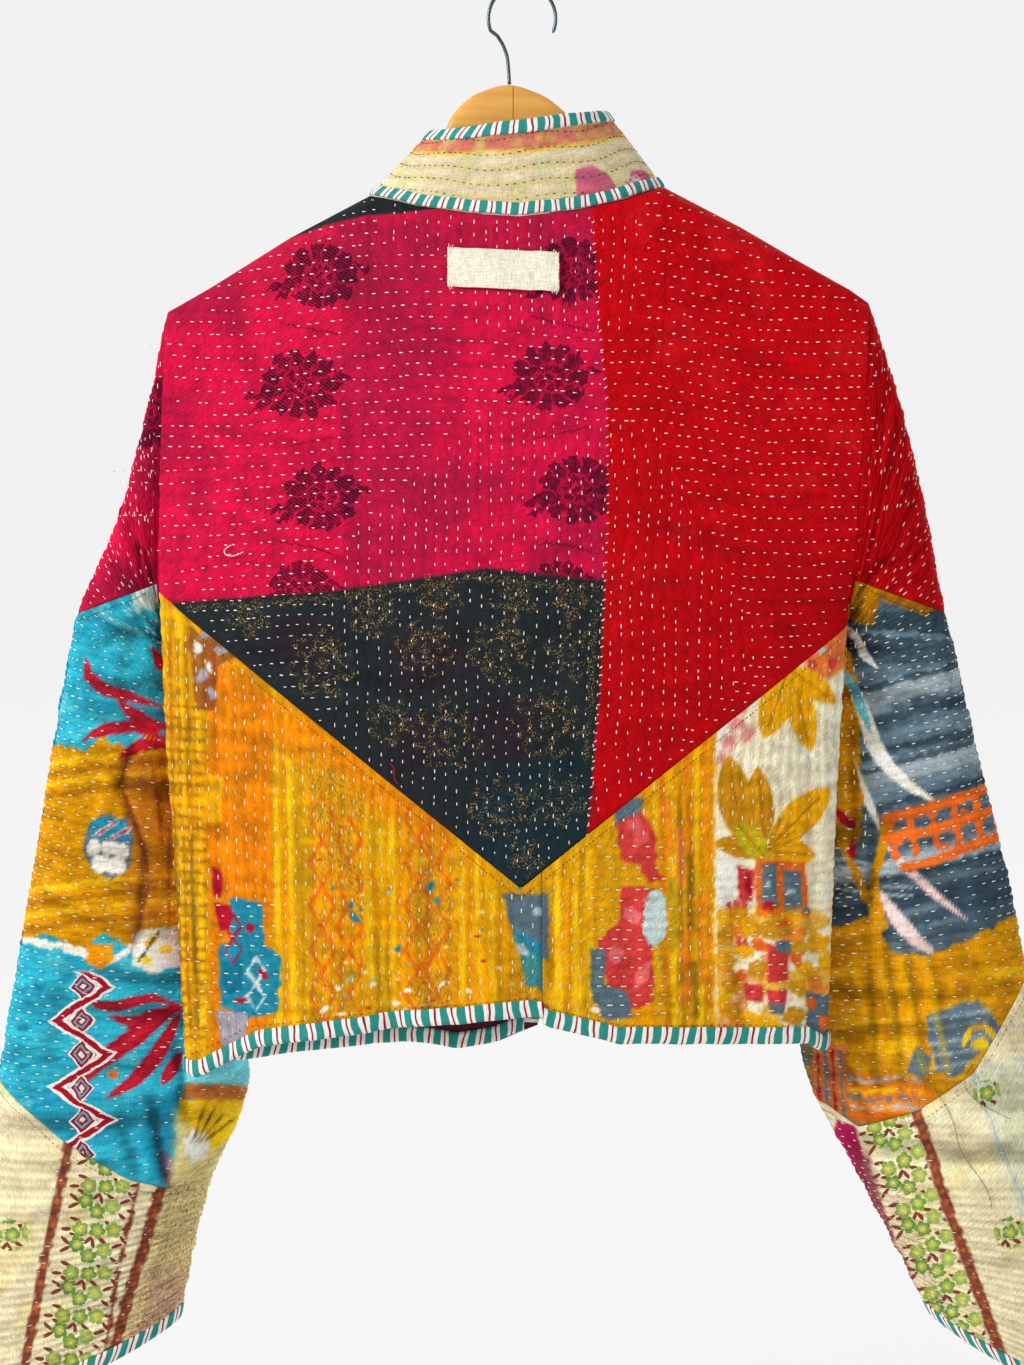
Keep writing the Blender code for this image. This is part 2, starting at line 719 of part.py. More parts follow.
def make_fronts():
    """Both fronts with their bindings. It returns each side's neckline, from its neck side to its edge."""
    necklines = {}
    for side, name in ((LEFT, "left"), (RIGHT, "right")):
        length = arc_length(FRONT, 0.0, float(side), MIDDLE_HEIGHT)
        turn = [2 * ROW_PITCH] * 2 + [ROW_PITCH] * 3
        count = round((length - sum(turn)) / (2.6 * ROW_PITCH))
        plain = (length - PLAIN_EDGE - sum(turn)) / count
        sizes = [PLAIN_EDGE] + [plain] * count + turn
        parts = [1] + [3] * count + [2] * 2 + [1] * 3
        apart = side * FRONT_EDGE_APART
        start = float(across_at(front_middle(MIDDLE_HEIGHT) + apart, MIDDLE_HEIGHT))
        places = arc_places(FRONT, start, float(side), MIDDLE_HEIGHT, sizes)
        share = (places - start) / (side - start)

        # One column meets the neckline at the neck side
        top_start = across_at(front_middle(TOP_OF_EDGES) + apart, TOP_OF_EDGES)
        neck = across_at(NECK_SIDES[1] if side == LEFT else NECK_SIDES[0], TOP_OF_EDGES)
        neck_share = (neck - top_start) / (side - top_start)
        neck_column = int(np.argmin(abs(share - neck_share)))
        share[neck_column] = neck_share

        x = body_point(FRONT, start + (side - start) * share, MIDDLE_HEIGHT)[:, 0]
        line = HEM_LINE[FRONT, side]
        low = np.interp(x, line["x"], line["height"])
        high = top_height(FRONT, top_start + (side - top_start) * share)
        rows = panel_rows(low, high, (0, PLAIN_EDGE), TOP_ROWS, 4)
        edge = across_at(front_middle(rows) + apart, rows)
        edge[:, -len(TOP_ROWS) :] = top_start
        across = edge + (side - edge) * share[:, None]
        if side == RIGHT:
            across, rows, parts = across[::-1], rows[::-1], parts[::-1]
        made = body_panel("front_" + name, FRONT, across, parts, rows, WIDE_PITCH, RIDGE_YOKE)
        outer, normals = made
        if side == RIGHT:
            outer, normals = outer[::-1], normals[::-1]
        hem_binding("hem_binding_front_" + name, FRONT, outer[1:], normals[1:])
        edge = edge_pair(outer.swapaxes(0, 1), normals.swapaxes(0, 1), HEM_BINDING_HEIGHT)
        swept("front_edge_binding_" + name, channel(*edge))
        necklines[side] = outer[: neck_column + 1, -1], normals[: neck_column + 1, -1]
    return necklines


# The stand collar


def collar_point(angle, share):
    """A point of the collar, at an angle around the neck and a share of the way up."""
    face = np.where(np.cos(angle) > 0, BACK, FRONT)
    x = NECK["middle"] + NECK["half_width"] * np.sin(angle)
    height = np.where(
        face == BACK,
        np.interp(x, TOP_LINE[BACK]["x"], TOP_LINE[BACK]["height"]),
        np.interp(x, TOP_LINE[FRONT]["x"], TOP_LINE[FRONT]["height"]),
    )
    foot_depth = np.where(face == BACK, NECK[BACK], NECK[FRONT])
    head_depth = np.where(face == BACK, COLLAR_TOP_DEPTH[BACK], COLLAR_TOP_DEPTH[FRONT])
    foot = np.stack([x, foot_depth * np.cos(angle), height], axis=-1)
    head = np.stack(
        [
            COLLAR_TOP_MIDDLE + COLLAR_TOP_HALF_WIDTH * np.sin(angle),
            head_depth * np.cos(angle),
            smooth(np.degrees(angle), COLLAR_TOP["angle"], COLLAR_TOP["height"]),
        ],
        axis=-1,
    )
    start = unit(head - foot) * COLLAR_SEAM_GAP
    away = np.stack([np.sin(angle), np.cos(angle), 0 * angle], axis=-1)
    share = share[..., None]
    swell = COLLAR_SWELL * np.sin(np.pi * share)
    return (foot + start) * (1 - share) + head * share + away * swell


def collar_normal(angle, share):
    turn = np.radians(2)
    right = collar_point(angle - turn, share)
    left = collar_point(angle + turn, share)
    low = collar_point(angle, share - 0.02)
    high = collar_point(angle, share + 0.02)
    return unit(np.cross(high - low, left - right))


def collar_angles(back_neckline, front_necklines):
    """The angle of each column of the panels around the neckline, from the right front to the left."""
    spots = []
    for points, behind in (
        (front_necklines[RIGHT][0][:-1], False),
        (back_neckline[0], True),
        (front_necklines[LEFT][0][-2::-1], False),
    ):
        sine = np.clip((points[:, 0] - NECK["middle"]) / NECK["half_width"], -1, 1)
        spots.append(np.arcsin(sine) if behind else np.pi - np.arcsin(sine))
    spots[0] = spots[0] - 2 * np.pi
    return np.concatenate(spots)


def make_collar(back_neckline, front_necklines):
    """The collar with a binding on its top edge and one that covers its seam."""
    angle = collar_angles(back_neckline, front_necklines)
    ends = collar_point(angle, np.zeros(len(angle))), collar_point(angle, np.ones(len(angle)))
    plain = COLLAR_PLAIN_EDGE / np.linalg.norm(ends[1] - ends[0], axis=-1)
    share = [0 * plain, plain]
    share += [plain + (1 - 2 * plain) * k / COLLAR_SPACES for k in range(1, COLLAR_SPACES)]
    share = np.stack(share + [1 - plain, 1 + 0 * plain])
    angle = angle + 0 * share
    outer, normals = collar_point(angle, share), collar_normal(angle, share)
    neck_normals = np.concatenate(
        [front_necklines[RIGHT][1][:-1], back_neckline[1], front_necklines[LEFT][1][-2::-1]]
    )

    def along_seam(points):
        kept = points.copy()
        kept[0] = outer[0] - neck_normals * CLOTH
        return kept

    splits = [1] + [2] * COLLAR_SPACES + [1]
    count = sum(splits) + 1
    wave = RIDGE_YOKE * (np.arange(count) % 2 == 0)
    wave[:2] = wave[-2:] = 0
    ridge = wave[:, None] * np.ones(outer.shape[1])
    cloth_wall("collar", outer, normals, along_seam, splits, ridge)

    columns, column_normals = outer.swapaxes(0, 1), normals.swapaxes(0, 1)
    top_edge = edge_pair(columns[:, ::-1], column_normals[:, ::-1], COLLAR_BINDING_HEIGHT)
    swept("collar_top_binding", channel(*top_edge), leading=(1, 5))
    low, high, low_normal, high_normal = edge_pair(columns, column_normals, COLLAR_BINDING_HEIGHT)
    low = low + unit(high - low) * SEAM_GAP
    near, far = BINDING_GAP, BINDING_GAP + BINDING
    band = [
        low + low_normal * near,
        low + low_normal * far,
        high + high_normal * far,
        high + high_normal * near,
    ]
    swept("collar_seam_binding", np.stack(band, axis=1), leading=(2,))


# The sleeves


def sleeve_piece(name, side, ends, plain_end=0.0):
    """One tube of the sleeve between two seams. It returns what a binding is made from."""
    spaces, cuts = SLEEVE_CUTS[name.split("_")[-1]]
    angle = 2 * np.pi * np.arange(SLEEVE_COLUMNS) / SLEEVE_COLUMNS
    start = ends[0] + seam_half_gap(side, ends[0], angle)
    end = ends[1] - seam_half_gap(side, ends[1], angle)
    stop = end - plain_end
    along = [start + (stop - start) * k / spaces for k in range(spaces + 1)]
    splits = [cuts] * spaces
    if plain_end:
        along.append(end)
        splits.append(1)
    along = np.stack(along)
    outer = sleeve_point(side, along, angle[None, :])
    normals = sleeve_normal(side, along, angle[None, :])
    # Pieces that meet share the direction of their walls
    normals[0], normals[-1] = sleeve_normal(side, ends[0], angle), sleeve_normal(side, ends[1], angle)

    def clear_of_body(points):
        kept = points.copy()
        if not ends[0].any():
            edge = EDGES["left" if side == LEFT else "right"]
            kept[0, :, 0] = np.interp(kept[0, :, 2], EDGES["height"], edge) + side * SEAM_GAP
        return kept

    count = sum(splits) + 1
    wave = (np.arange(count) % 2 == 1).astype(float)
    wave[[0, 1, -2, -1]] = 0
    # Where the rows run together under the arm, the ridges fade out
    spacing = (stop - start) / (spaces * cuts)
    height = RIDGE_SLEEVE * step(spacing, ROW_PITCH / 4, ROW_PITCH / 2)
    cloth_wall(name, outer, normals, clear_of_body, splits, wave[:, None] * height, around=True)
    return outer, normals


def seam_half_gap(side, along, angle):
    """Half of a seam's gap, measured along the sleeve, which grows where the seam runs steeply."""
    if np.ptp(along) == 0:
        return np.zeros(len(along))
    ahead = sleeve_point(side, np.roll(along, -1), np.roll(angle, -1)) - sleeve_point(side, along, angle)
    steep = abs(np.roll(along, -1) - along) / np.linalg.norm(ahead, axis=-1)
    steep = np.minimum(np.maximum(steep, np.roll(steep, 1)), 0.95)
    return SEAM_GAP / 2 / np.sqrt(1 - steep**2)


def make_sleeve(side, name):
    angle = 2 * np.pi * np.arange(SLEEVE_COLUMNS) / SLEEVE_COLUMNS
    first, second = (seam_along(side, seam, angle) for seam in SLEEVE_SEAMS[side])
    start, cuff = np.zeros(SLEEVE_COLUMNS), np.full(SLEEVE_COLUMNS, SLEEVE_LENGTH)
    node = "sleeve_" + name
    sleeve_piece(node + "_upper", side, (start, first))
    sleeve_piece(node + "_middle", side, (first, second))
    outer, normals = sleeve_piece(node + "_lower", side, (second, cuff), PLAIN_EDGE)
    edge = edge_pair(outer[::-1].swapaxes(0, 1), normals[::-1].swapaxes(0, 1), HEM_BINDING_HEIGHT)
    swept("cuff_binding_" + name, channel(*edge), around=True)


# The label


def make_label():
    """A blank cloth label that lies on the yoke."""
    xs = LABEL["x"] + np.linspace(-0.5, 0.5, 5) * LABEL["width"]
    heights = LABEL["height"] + np.linspace(-0.5, 0.5, 3) * LABEL["tall"]
    x, height = np.meshgrid(xs, heights, indexing="ij")
    height = height + (x - LABEL["x"]) * LABEL["slope"]
    across = across_at(x, height)
    on = body_point(BACK, across, height)
    normals = body_normal(BACK, across, height)
    low = on + normals * (RIDGE_YOKE + SEAM_GAP)
    high = low + normals * LABEL["thick"]
    points = np.concatenate([low.reshape(-1, 3), high.reshape(-1, 3)])
    columns, rows = x.shape
    top = columns * rows
    faces = []
    for i in range(columns - 1):
        for j in range(rows - 1):
            corner = [i * rows + j, (i + 1) * rows + j, (i + 1) * rows + j + 1, i * rows + j + 1]
            faces.append(tuple(corner[::-1]))
            faces.append(tuple(c + top for c in corner))
    rim = [i * rows for i in range(columns)]
    rim += [(columns - 1) * rows + j for j in range(1, rows)]
    rim += [i * rows + rows - 1 for i in range(columns - 2, -1, -1)]
    rim += list(range(rows - 2, 0, -1))
    for a, b in zip(rim, rim[1:] + rim[:1]):
        faces.append((a, b, b + top, a + top))
    solid("label", points, faces)


# The hanger


def make_hanger():
    """A flat wooden hanger with rounded edges, its arms just under the shoulder seams."""
    tips = HANGER_CENTRE - HANGER_HALF_SPAN, HANGER_CENTRE + HANGER_HALF_SPAN
    neck = HANGER_DOME["x"]
    bend = np.linspace(0, 0.5 * np.pi, 7)
    right = tips[0] + (neck[0] - tips[0]) * (1 - np.cos(bend))
    left = tips[1] - (tips[1] - neck[-1]) * (1 - np.cos(bend))
    x = np.concatenate([right[:-1], neck, left[:-1][::-1]])
    shoulder = np.interp(x, TOP_LINE[BACK]["x"], TOP_LINE[BACK]["height"]) - CLOTH - HANGER_CLEARANCE
    dome = np.interp(x, neck, HANGER_DOME["height"])
    top = np.where((x < neck[0]) | (x > neck[-1]), shoulder, dome)
    reach = abs(x - HANGER_CENTRE) / HANGER_HALF_SPAN
    tall = HANGER_TALL["middle"] + (HANGER_TALL["tip"] - HANGER_TALL["middle"]) * step(reach, 0, 0.75)
    tall = tall * np.sqrt(np.clip(1 - step(reach, 0.94, 1.02) ** 2, 0.05, 1))
    thick = HANGER_THICKNESS["middle"] + (
        HANGER_THICKNESS["tip"] - HANGER_THICKNESS["middle"]
    ) * step(reach, 0.7, 1)
    turn = np.linspace(0, 2 * np.pi, HANGER_CORNERS, endpoint=False)
    width = np.sign(np.cos(turn)) * abs(np.cos(turn)) ** HANGER_FLATNESS["width"]
    rise = np.sign(np.sin(turn)) * abs(np.sin(turn)) ** HANGER_FLATNESS["height"]
    sections = np.stack(
        [
            x[:, None] + 0 * turn,
            thick[:, None] / 2 * width,
            top[:, None] - tall[:, None] * (1 - rise) / 2,
        ],
        axis=-1,
    )
    swept("hanger_wood", sections)


def make_hook():
    """The wire rises from the wood, swings out and turns over its seat, which is the origin."""
    curve = bpy.data.curves.new("hanger_hook", "CURVE")
    curve.dimensions = "3D"
    curve.bevel_depth = WIRE / 2 * MM
    curve.bevel_resolution = 2
    curve.use_fill_caps = True
    turn = np.radians(np.linspace(*HOOK_TURN, HOOK_STATIONS))
    middle = WIRE / 2 - HOOK_RADIUS
    bend = np.stack([HOOK_RADIUS * np.cos(turn), middle + HOOK_RADIUS * np.sin(turn)], axis=1)
    stem = np.stack([HOOK_STEM["x"], HOOK_STEM["height"]], axis=1)
    route = np.concatenate([stem, bend])
    spline = curve.splines.new("POLY")
    spline.points.add(len(route) - 1)
    for point, (x, height) in zip(spline.points, route):
        point.co = (x * MM, 0, height * MM, 1)
    made = bpy.data.objects.new("hanger_hook", curve)
    curve.materials.append(material("hanger_hook"))
    bpy.context.collection.objects.link(made)


def main():
    for old in list(bpy.data.objects):
        bpy.data.objects.remove(old, do_unlink=True)
    back_neckline = make_back()
    front_necklines = make_fronts()
    make_collar(back_neckline, front_necklines)
    make_sleeve(LEFT, "left")
    make_sleeve(RIGHT, "right")
    make_label()
    make_hanger()
    make_hook()


main()
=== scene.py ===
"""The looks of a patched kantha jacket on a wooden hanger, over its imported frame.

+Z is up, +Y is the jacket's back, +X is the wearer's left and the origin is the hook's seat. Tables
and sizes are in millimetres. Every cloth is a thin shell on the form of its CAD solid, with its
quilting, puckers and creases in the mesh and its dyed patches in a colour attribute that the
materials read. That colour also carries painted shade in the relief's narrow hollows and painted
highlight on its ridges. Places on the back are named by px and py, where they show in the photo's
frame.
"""

import math
from functools import partial

import bpy
import numpy as np
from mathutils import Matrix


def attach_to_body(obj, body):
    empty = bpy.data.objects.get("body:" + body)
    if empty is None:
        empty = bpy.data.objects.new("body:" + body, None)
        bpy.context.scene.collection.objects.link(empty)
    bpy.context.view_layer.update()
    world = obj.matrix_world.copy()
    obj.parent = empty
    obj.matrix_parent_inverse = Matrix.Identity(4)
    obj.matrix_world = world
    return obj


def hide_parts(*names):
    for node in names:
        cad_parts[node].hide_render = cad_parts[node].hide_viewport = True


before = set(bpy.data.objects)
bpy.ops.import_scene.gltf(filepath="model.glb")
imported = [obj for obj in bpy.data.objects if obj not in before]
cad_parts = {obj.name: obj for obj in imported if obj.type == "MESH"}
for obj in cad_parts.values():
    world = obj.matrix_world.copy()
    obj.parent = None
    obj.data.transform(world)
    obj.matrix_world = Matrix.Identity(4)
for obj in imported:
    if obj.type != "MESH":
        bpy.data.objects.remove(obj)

MM = 0.001
BACK, FRONT = 1, -1
LEFT, RIGHT = 1, -1
SIDES = ((LEFT, "left"), (RIGHT, "right"))

# The photo's frame and camera
PHOTO_SIZE = (1024, 1365)
CAMERA_PLACE = (6.8, 1310.0, -326.0)
CAMERA_TILT = math.radians(6.2)
LENS, SENSOR = 50.0, 36.0

# Cloth
CLOTH = 1.8
YOKE_PITCH = 7.5
BACK_PITCH = 6.8
SLEEVE_PITCH = 6.2
SEAM_GAP = 0.3
# How wide the bindings are, and how far up the hem's binding flattens the rows
BINDING_WIDTH, COLLAR_BINDING_WIDTH, HEM_REACH = 11.0, 8.0, 9.5
# The relief that sets how strongly hollows get painted shade and ridges painted highlight, in the
# body's cloth
FULL_RELIEF = 1.3


def table(names, rows):
    """The columns of a table of numbers, by name."""
    return dict(zip(names, np.array(rows, float).T))


def rows_of(columns):
    """The rows of a table, each with its numbers by name."""
    return [dict(zip(columns, row)) for row in zip(*columns.values())]


# The body's form, as in the CAD solids

EDGES = table(
    ("height", "left", "right"),
    [
        (-770, 237, -216), (-745, 238, -216.5), (-587, 243.5, -219), (-516, 247, -221),
        (-411, 250, -226), (-209, 240.5, -235.5),
    ],
)
UNDERARM = -411.0
SHOULDER_TIP = {LEFT: -215.0, RIGHT: -209.0}
# How deep one half of the body is beside the armholes and at its middle
DEPTHS = table(
    ("height", "shoulder", "middle"),
    [
        (-750, 40, 42), (-560, 38, 42), (-410, 33, 40), (-310, 26, 38), (-215, 16, 35),
        (-130, 12, 33),
    ],
)
TOP_LINE = {
    BACK: table(
        ("x", "height"),
        [
            (-236, -209), (-223, -200), (-189, -181.5), (-148, -158.5), (-96, -132.5), (-65, -144),
            (-35, -151), (1.5, -155), (35, -153), (70, -147.5), (103, -138), (157, -165.5),
            (209, -197), (241, -215),
        ],
    ),
    FRONT: table(
        ("x", "height"),
        [
            (-236, -209), (-223, -200), (-189, -181.5), (-148, -158.5), (-96, -132.5), (-80, -163),
            (-54, -191), (-20, -207), (3, -209), (25, -207), (60, -192), (88, -165), (103, -138),
            (157, -165.5), (209, -197), (241, -215),
        ],
    ),
}
NECK = {"middle": 3.5, "half_width": 99.5, BACK: 32.0, FRONT: 36.0}
YOKE_LINE = table(
    ("x", "height"),
    [(-226, -425), (-222, -427.5), (-114, -513), (-46, -567), (1.3, -605), (125, -504), (250, -403)],
)
HEM_LINE = {
    (BACK, LEFT): table(
        ("x", "height"),
        [
            (-16, -694.5), (-5, -693.5), (29, -696.5), (84, -702.5), (139, -709), (188, -718),
            (238, -745),
        ],
    ),
    (BACK, RIGHT): table(
        ("x", "height"),
        [(-216, -727), (-205, -719), (-136, -715), (-67, -713), (-19, -701), (-14, -698)],
    ),
    (FRONT, LEFT): table(
        ("x", "height"),
        [
            (-14, -722), (-4, -725), (22, -736), (48, -739), (92, -735), (150, -739), (208, -744),
            (238, -745),
        ],
    ),
    (FRONT, RIGHT): table(
        ("x", "height"), [(-216, -727), (-190, -724), (-126, -722), (-67, -720), (-14, -718)]
    ),
}
# Folds that sink into the body as they run down
FOLDS = table(
    ("face", "x_top", "top", "x_low", "low", "depth_top", "depth_low", "width"),
    [
        (BACK, 98, -560, 80, -770, 0, 9, 15), (BACK, 207, -430, 198, -770, 3, 6, 15),
        (BACK, 150, -520, 140, -770, 0, -4, 18), (BACK, 122, -250, 95, -470, 2.5, 2, 24),
        (BACK, -62, -330, -42, -520, 0, 2.5, 22), (BACK, -150, -560, -160, -770, 0, 4, 16),
        (BACK, -196, -420, -190, -640, 3, 2, 14), (BACK, 30, -600, 22, -770, 0, -3, 20),
        (FRONT, 62, -420, 40, -770, 0, 6, 18), (FRONT, -92, -380, -112, -770, 2, 6, 18),
        (FRONT, 150, -300, 122, -560, 2, 3, 20), (FRONT, -50, -560, -52, -770, 0, -3, 16),
    ],
)
SHOULDER_ROUNDING = 16.0
SIDE_POWER = 2.4
# How round the sides are, how much rounder beside the armholes, and between which heights it changes
SIDE_CURVE, SIDE_CURVE_GROWTH = 0.42, 0.38
SIDE_GROWS, SIDE_SHRINKS = (UNDERARM - 15, UNDERARM + 40), (-290, -235)
ARMHOLE_HALF_DEPTH = 15.0
# Where the fronts meet at the hem and at the neck: height and x
OPENING_FOOT, OPENING_TOP = (-724, -14), (-209, 3)
FRONT_MIDDLE = table(("height", "x"), [OPENING_FOOT, OPENING_TOP])
FRONT_EDGE_APART = 2.0
# Where the lower back's two panels meet, across the body from -1 to 1
CENTRE_BACK = -0.112
MIDDLE_HEIGHT = -500.0
BODY_HALF_WIDTH = 233.0
COLLAR_ROWS = 6
# The angles at which the collar's ends meet at the front, in degrees
COLLAR_ENDS = (-178.4, 178.9)
# Millimetres of cloth to a radian round a sleeve and round the collar
SLEEVE_RADIUS, COLLAR_RADIUS = 40.0, 60.0

# The wooden hanger's upper edge inside the neck, where it dips under the collar's sides
HANGER_DOME = table(
    ("x", "height"),
    [
        (-104, -140), (-92, -142), (-80, -134), (-60, -113), (-44, -98), (-31, -84), (-12, -70.5),
        (9.5, -64.5), (31, -70.5), (46, -83), (51, -92), (55, -106), (63, -117), (84, -134),
        (96, -147), (110, -145.5),
    ],
)
HANGER_CENTRE = 6.0
HANGER_HALF_SPAN = 220.0
HANGER_THICKNESS = {"middle": 12.0, "tip": 5.0}
HANGER_TALL = {"middle": 46.0, "tip": 20.0}
HANGER_CLEARANCE = 0.9
WIRE = 2.5
HOOK_RADIUS = 22.5
HOOK_TURN = (-20, 205)
HOOK_STEM = table(
    ("x", "height"),
    [(8.5, -63.9), (9, -55), (9.8, -47), (12.5, -39), (16.5, -32.5)],
)
LABEL_DYE = (240, 234, 214)
LABEL = {"x": 12.5, "height": -190.0, "width": 73.5, "tall": 25.5, "slope": 0.043}

# How many stitches go round a sleeve and round the collar in one row
SLEEVE_STITCHES = 33
COLLAR_STITCHES = 92

# Stage
WALL_COLOUR = (242, 242, 242)
WORLD_STRENGTH = 0.42
WALL_GLOW = 0.94
PAPER_COLOUR = (78, 78, 78)
BACKDROP_REACH, WALL_PLACE, WALL_BEND = 40000.0, -7000.0, 2500.0
FLOOR = -1180.0
# Name, place, aim, size and power of each light, in metres and watts, and its colour
LIGHTS = [
    ("window", (2.1, 1.2, 0.7), (0.0, 0.0, -0.5), (0.8, 0.8), 66.0, (1.0, 0.98, 0.95)),
    ("room", (-2.0, 2.2, 0.2), (0.0, 0.0, -0.5), (1.6, 1.6), 10.0, (0.96, 0.98, 1.0)),
    ("behind", (-1.8, -1.9, 0.9), (0.0, 0.0, -0.5), (1.6, 1.6), 34.0, (1.0, 1.0, 1.0)),
]

# The sleeves' rings: how far along, the outer and the underarm edge, and the depths behind and before
SLEEVE_NAMES = (
    "along", "outer_x", "outer_y", "outer_z", "inner_x", "inner_y", "inner_z", "back", "front",
)
SLEEVE = {
    LEFT: table(
        SLEEVE_NAMES,
        [
            (0, 240.5, 0, -215, 250, 0, -411, 15, 15), (82, 260, -4, -294, 252.5, -9, -419, 19, 22),
            (154, 282, -6, -363, 251, -23, -434, 22, 32),
            (216, 308, -8, -420, 240, -37, -457, 23, 38),
            (278, 322, -9, -482, 225, -46, -503, 23, 42),
            (395, 344, -10, -596, 207, -49, -628, 25, 40),
            (558, 374, -8, -756, 201, -47, -762, 28, 37),
            (665, 391, -6, -862, 233, -38, -852, 34, 37),
            (800, 410, -4, -1003, 252, -30, -940, 36, 38),
        ],
    ),
    RIGHT: table(
        SLEEVE_NAMES,
        [
            (0, -235.5, 0, -209, -226, 0, -411, 15, 15),
            (84, -263, -4, -290, -229, -9, -419, 19, 22),
            (156, -280, -6, -355, -227, -23, -434, 22, 32),
            (222, -294, -8, -420, -217, -37, -457, 23, 38),
            (284, -309, -9, -476, -206, -46, -502, 23, 42),
            (400, -339, -10, -590, -197, -49, -628, 25, 40),
            (555, -377, -8, -745, -206, -46, -746, 28, 37),
            (660, -405, -6, -848, -256, -38, -850, 34, 37),
            (800, -444, -4, -1004, -301, -28, -936, 36, 38),
        ],
    ),
}
SLEEVE_LENGTH = 800.0
# The two patch seams across each sleeve
SLEEVE_SEAMS = {
    LEFT: (
        table(("x", "height"), [(250, -399), (312, -422)]),
        table(("x", "height"), [(203, -800), (252, -836), (280, -825), (327, -793), (380, -748)]),
    ),
    RIGHT: (
        table(("x", "height"), [(-300, -422), (-226, -396)]),
        table(
            ("x", "height"),
            [(-390, -640), (-355, -683.5), (-320, -746), (-282, -775), (-243, -793), (-222, -780)],
        ),
    ),
}
SHORTEST_UPPER_SLEEVE, SHORTEST_LOWER_SLEEVE = 30.0, 60.0
# How far down a sleeve the armhole's shape passes into the sleeve's own
ARMHOLE_REACH = 60.0

# The collar's top edge, by angle around the neck from the back's middle
COLLAR_TOP = table(
    ("angle", "height"),
    [
        (-176, -160), (-130, -122), (-90, -82.5), (-45, -87), (0, -93), (45, -97), (90, -96),
        (130, -128), (176, -162),
    ],
)
COLLAR_TOP_MIDDLE, COLLAR_TOP_HALF_WIDTH = 3.0, 59.0
COLLAR_TOP_DEPTH = {BACK: 29.0, FRONT: 34.0}


def smooth(x, xs, ys):
    """A curve through a table's points that never swings past them."""
    widths = np.diff(xs)
    secants = np.diff(ys) / widths
    slopes = np.zeros(len(xs))
    slopes[0], slopes[-1] = secants[0], secants[-1]
    before, after = secants[:-1], secants[1:]
    same = before * after > 0
    slopes[1:-1][same] = 2 * before[same] * after[same] / (before[same] + after[same])
    x = np.clip(x, xs[0], xs[-1])
    i = np.clip(np.searchsorted(xs, x) - 1, 0, len(xs) - 2)
    t = (x - xs[i]) / widths[i]
    rise = ys[i] * (2 * t**3 - 3 * t**2 + 1) + ys[i + 1] * (3 * t**2 - 2 * t**3)
    return rise + widths[i] * (slopes[i] * (t**3 - 2 * t**2 + t) + slopes[i + 1] * (t**3 - t**2))


def step(x, low, high):
    """0 below low, 1 above high, and a soft rise between."""
    t = np.clip((x - low) / (high - low), 0, 1)
    return t * t * (3 - 2 * t)


def unit(vectors):
    return vectors / np.maximum(np.linalg.norm(vectors, axis=-1, keepdims=True), 1e-9)


def lengths_along(points):
    """How far along a line of points each one lies."""
    return np.concatenate([[0], np.cumsum(np.linalg.norm(np.diff(points, axis=0), axis=1))])


def height_at(line, x):
    return np.interp(x, line["x"], line["height"])


def opening_x(height):
    """Where the fronts meet."""
    return np.interp(height, FRONT_MIDDLE["height"], FRONT_MIDDLE["x"])


def body_span(height):
    """The body's middle and half its width."""
    left, right = (np.interp(height, EDGES["height"], EDGES[name]) for name in ("left", "right"))
    return (left + right) / 2, (left - right) / 2


def across_at(x, height):
    """A place across the body, from -1 at the right edge to 1 at the left one."""
    middle, half = body_span(height)
    return (x - middle) / half


def x_at(across, height):
    middle, half = body_span(height)
    return middle + across * half


def top_height(face, across):
    return height_at(TOP_LINE[face], x_at(across, EDGES["height"][-1]))


def armhole_depth(across, height):
    tip = np.where(across > 0, SHOULDER_TIP[LEFT], SHOULDER_TIP[RIGHT])
    middle, half = (tip + UNDERARM) / 2, (tip - UNDERARM) / 2
    return ARMHOLE_HALF_DEPTH * np.sqrt(np.clip(1 - ((height - middle) / half) ** 2, 0, 1))


def fold_depth(face, x, height):
    """How far the folds sink the surface."""
    total = np.zeros(np.broadcast(x, height).shape)
    for fold in (row for row in rows_of(FOLDS) if row["face"] == face):
        t = (fold["top"] - height) / (fold["top"] - fold["low"])
        middle = fold["x_top"] + (fold["x_low"] - fold["x_top"]) * t
        depth = fold["depth_top"] + (fold["depth_low"] - fold["depth_top"]) * t
        ends = step(t, -0.1, 0.15) * (1 - step(t, 0.95, 1.2))
        total += depth * ends * np.exp(-(((x - middle) / fold["width"]) ** 2))
    return total


def body_point(face, across, height):
    """A point of the body's outer surface."""
    across, height = np.broadcast_arrays(np.asarray(across, float), np.asarray(height, float))
    x = x_at(across, height)
    shoulder = smooth(height, DEPTHS["height"], DEPTHS["shoulder"])
    middle = smooth(height, DEPTHS["height"], DEPTHS["middle"])
    depth = shoulder + (middle - shoulder) * (1 - across**2) ** 2
    growth = step(height, *SIDE_GROWS) - step(height, *SIDE_SHRINKS)
    power = SIDE_CURVE + SIDE_CURVE_GROWTH * growth
    side = np.clip(1 - np.abs(across) ** SIDE_POWER, 0, 1) ** power
    edge = armhole_depth(across, height)
    y = edge + (depth - edge) * side
    y = y - fold_depth(face, x, height) * (1 - np.abs(across) ** 8)
    below_top = np.clip((top_height(face, across) - height) / SHOULDER_ROUNDING, 0, 1)
    inside = 1 - ((x - NECK["middle"]) / NECK["half_width"]) ** 2
    start = NECK[face] * np.sqrt(np.clip(inside, 0, 1))
    y = start + (y - start) * np.sqrt(1 - (1 - below_top) ** 2)
    return np.stack([x, face * np.maximum(y, SEAM_GAP / 2), height], axis=-1)


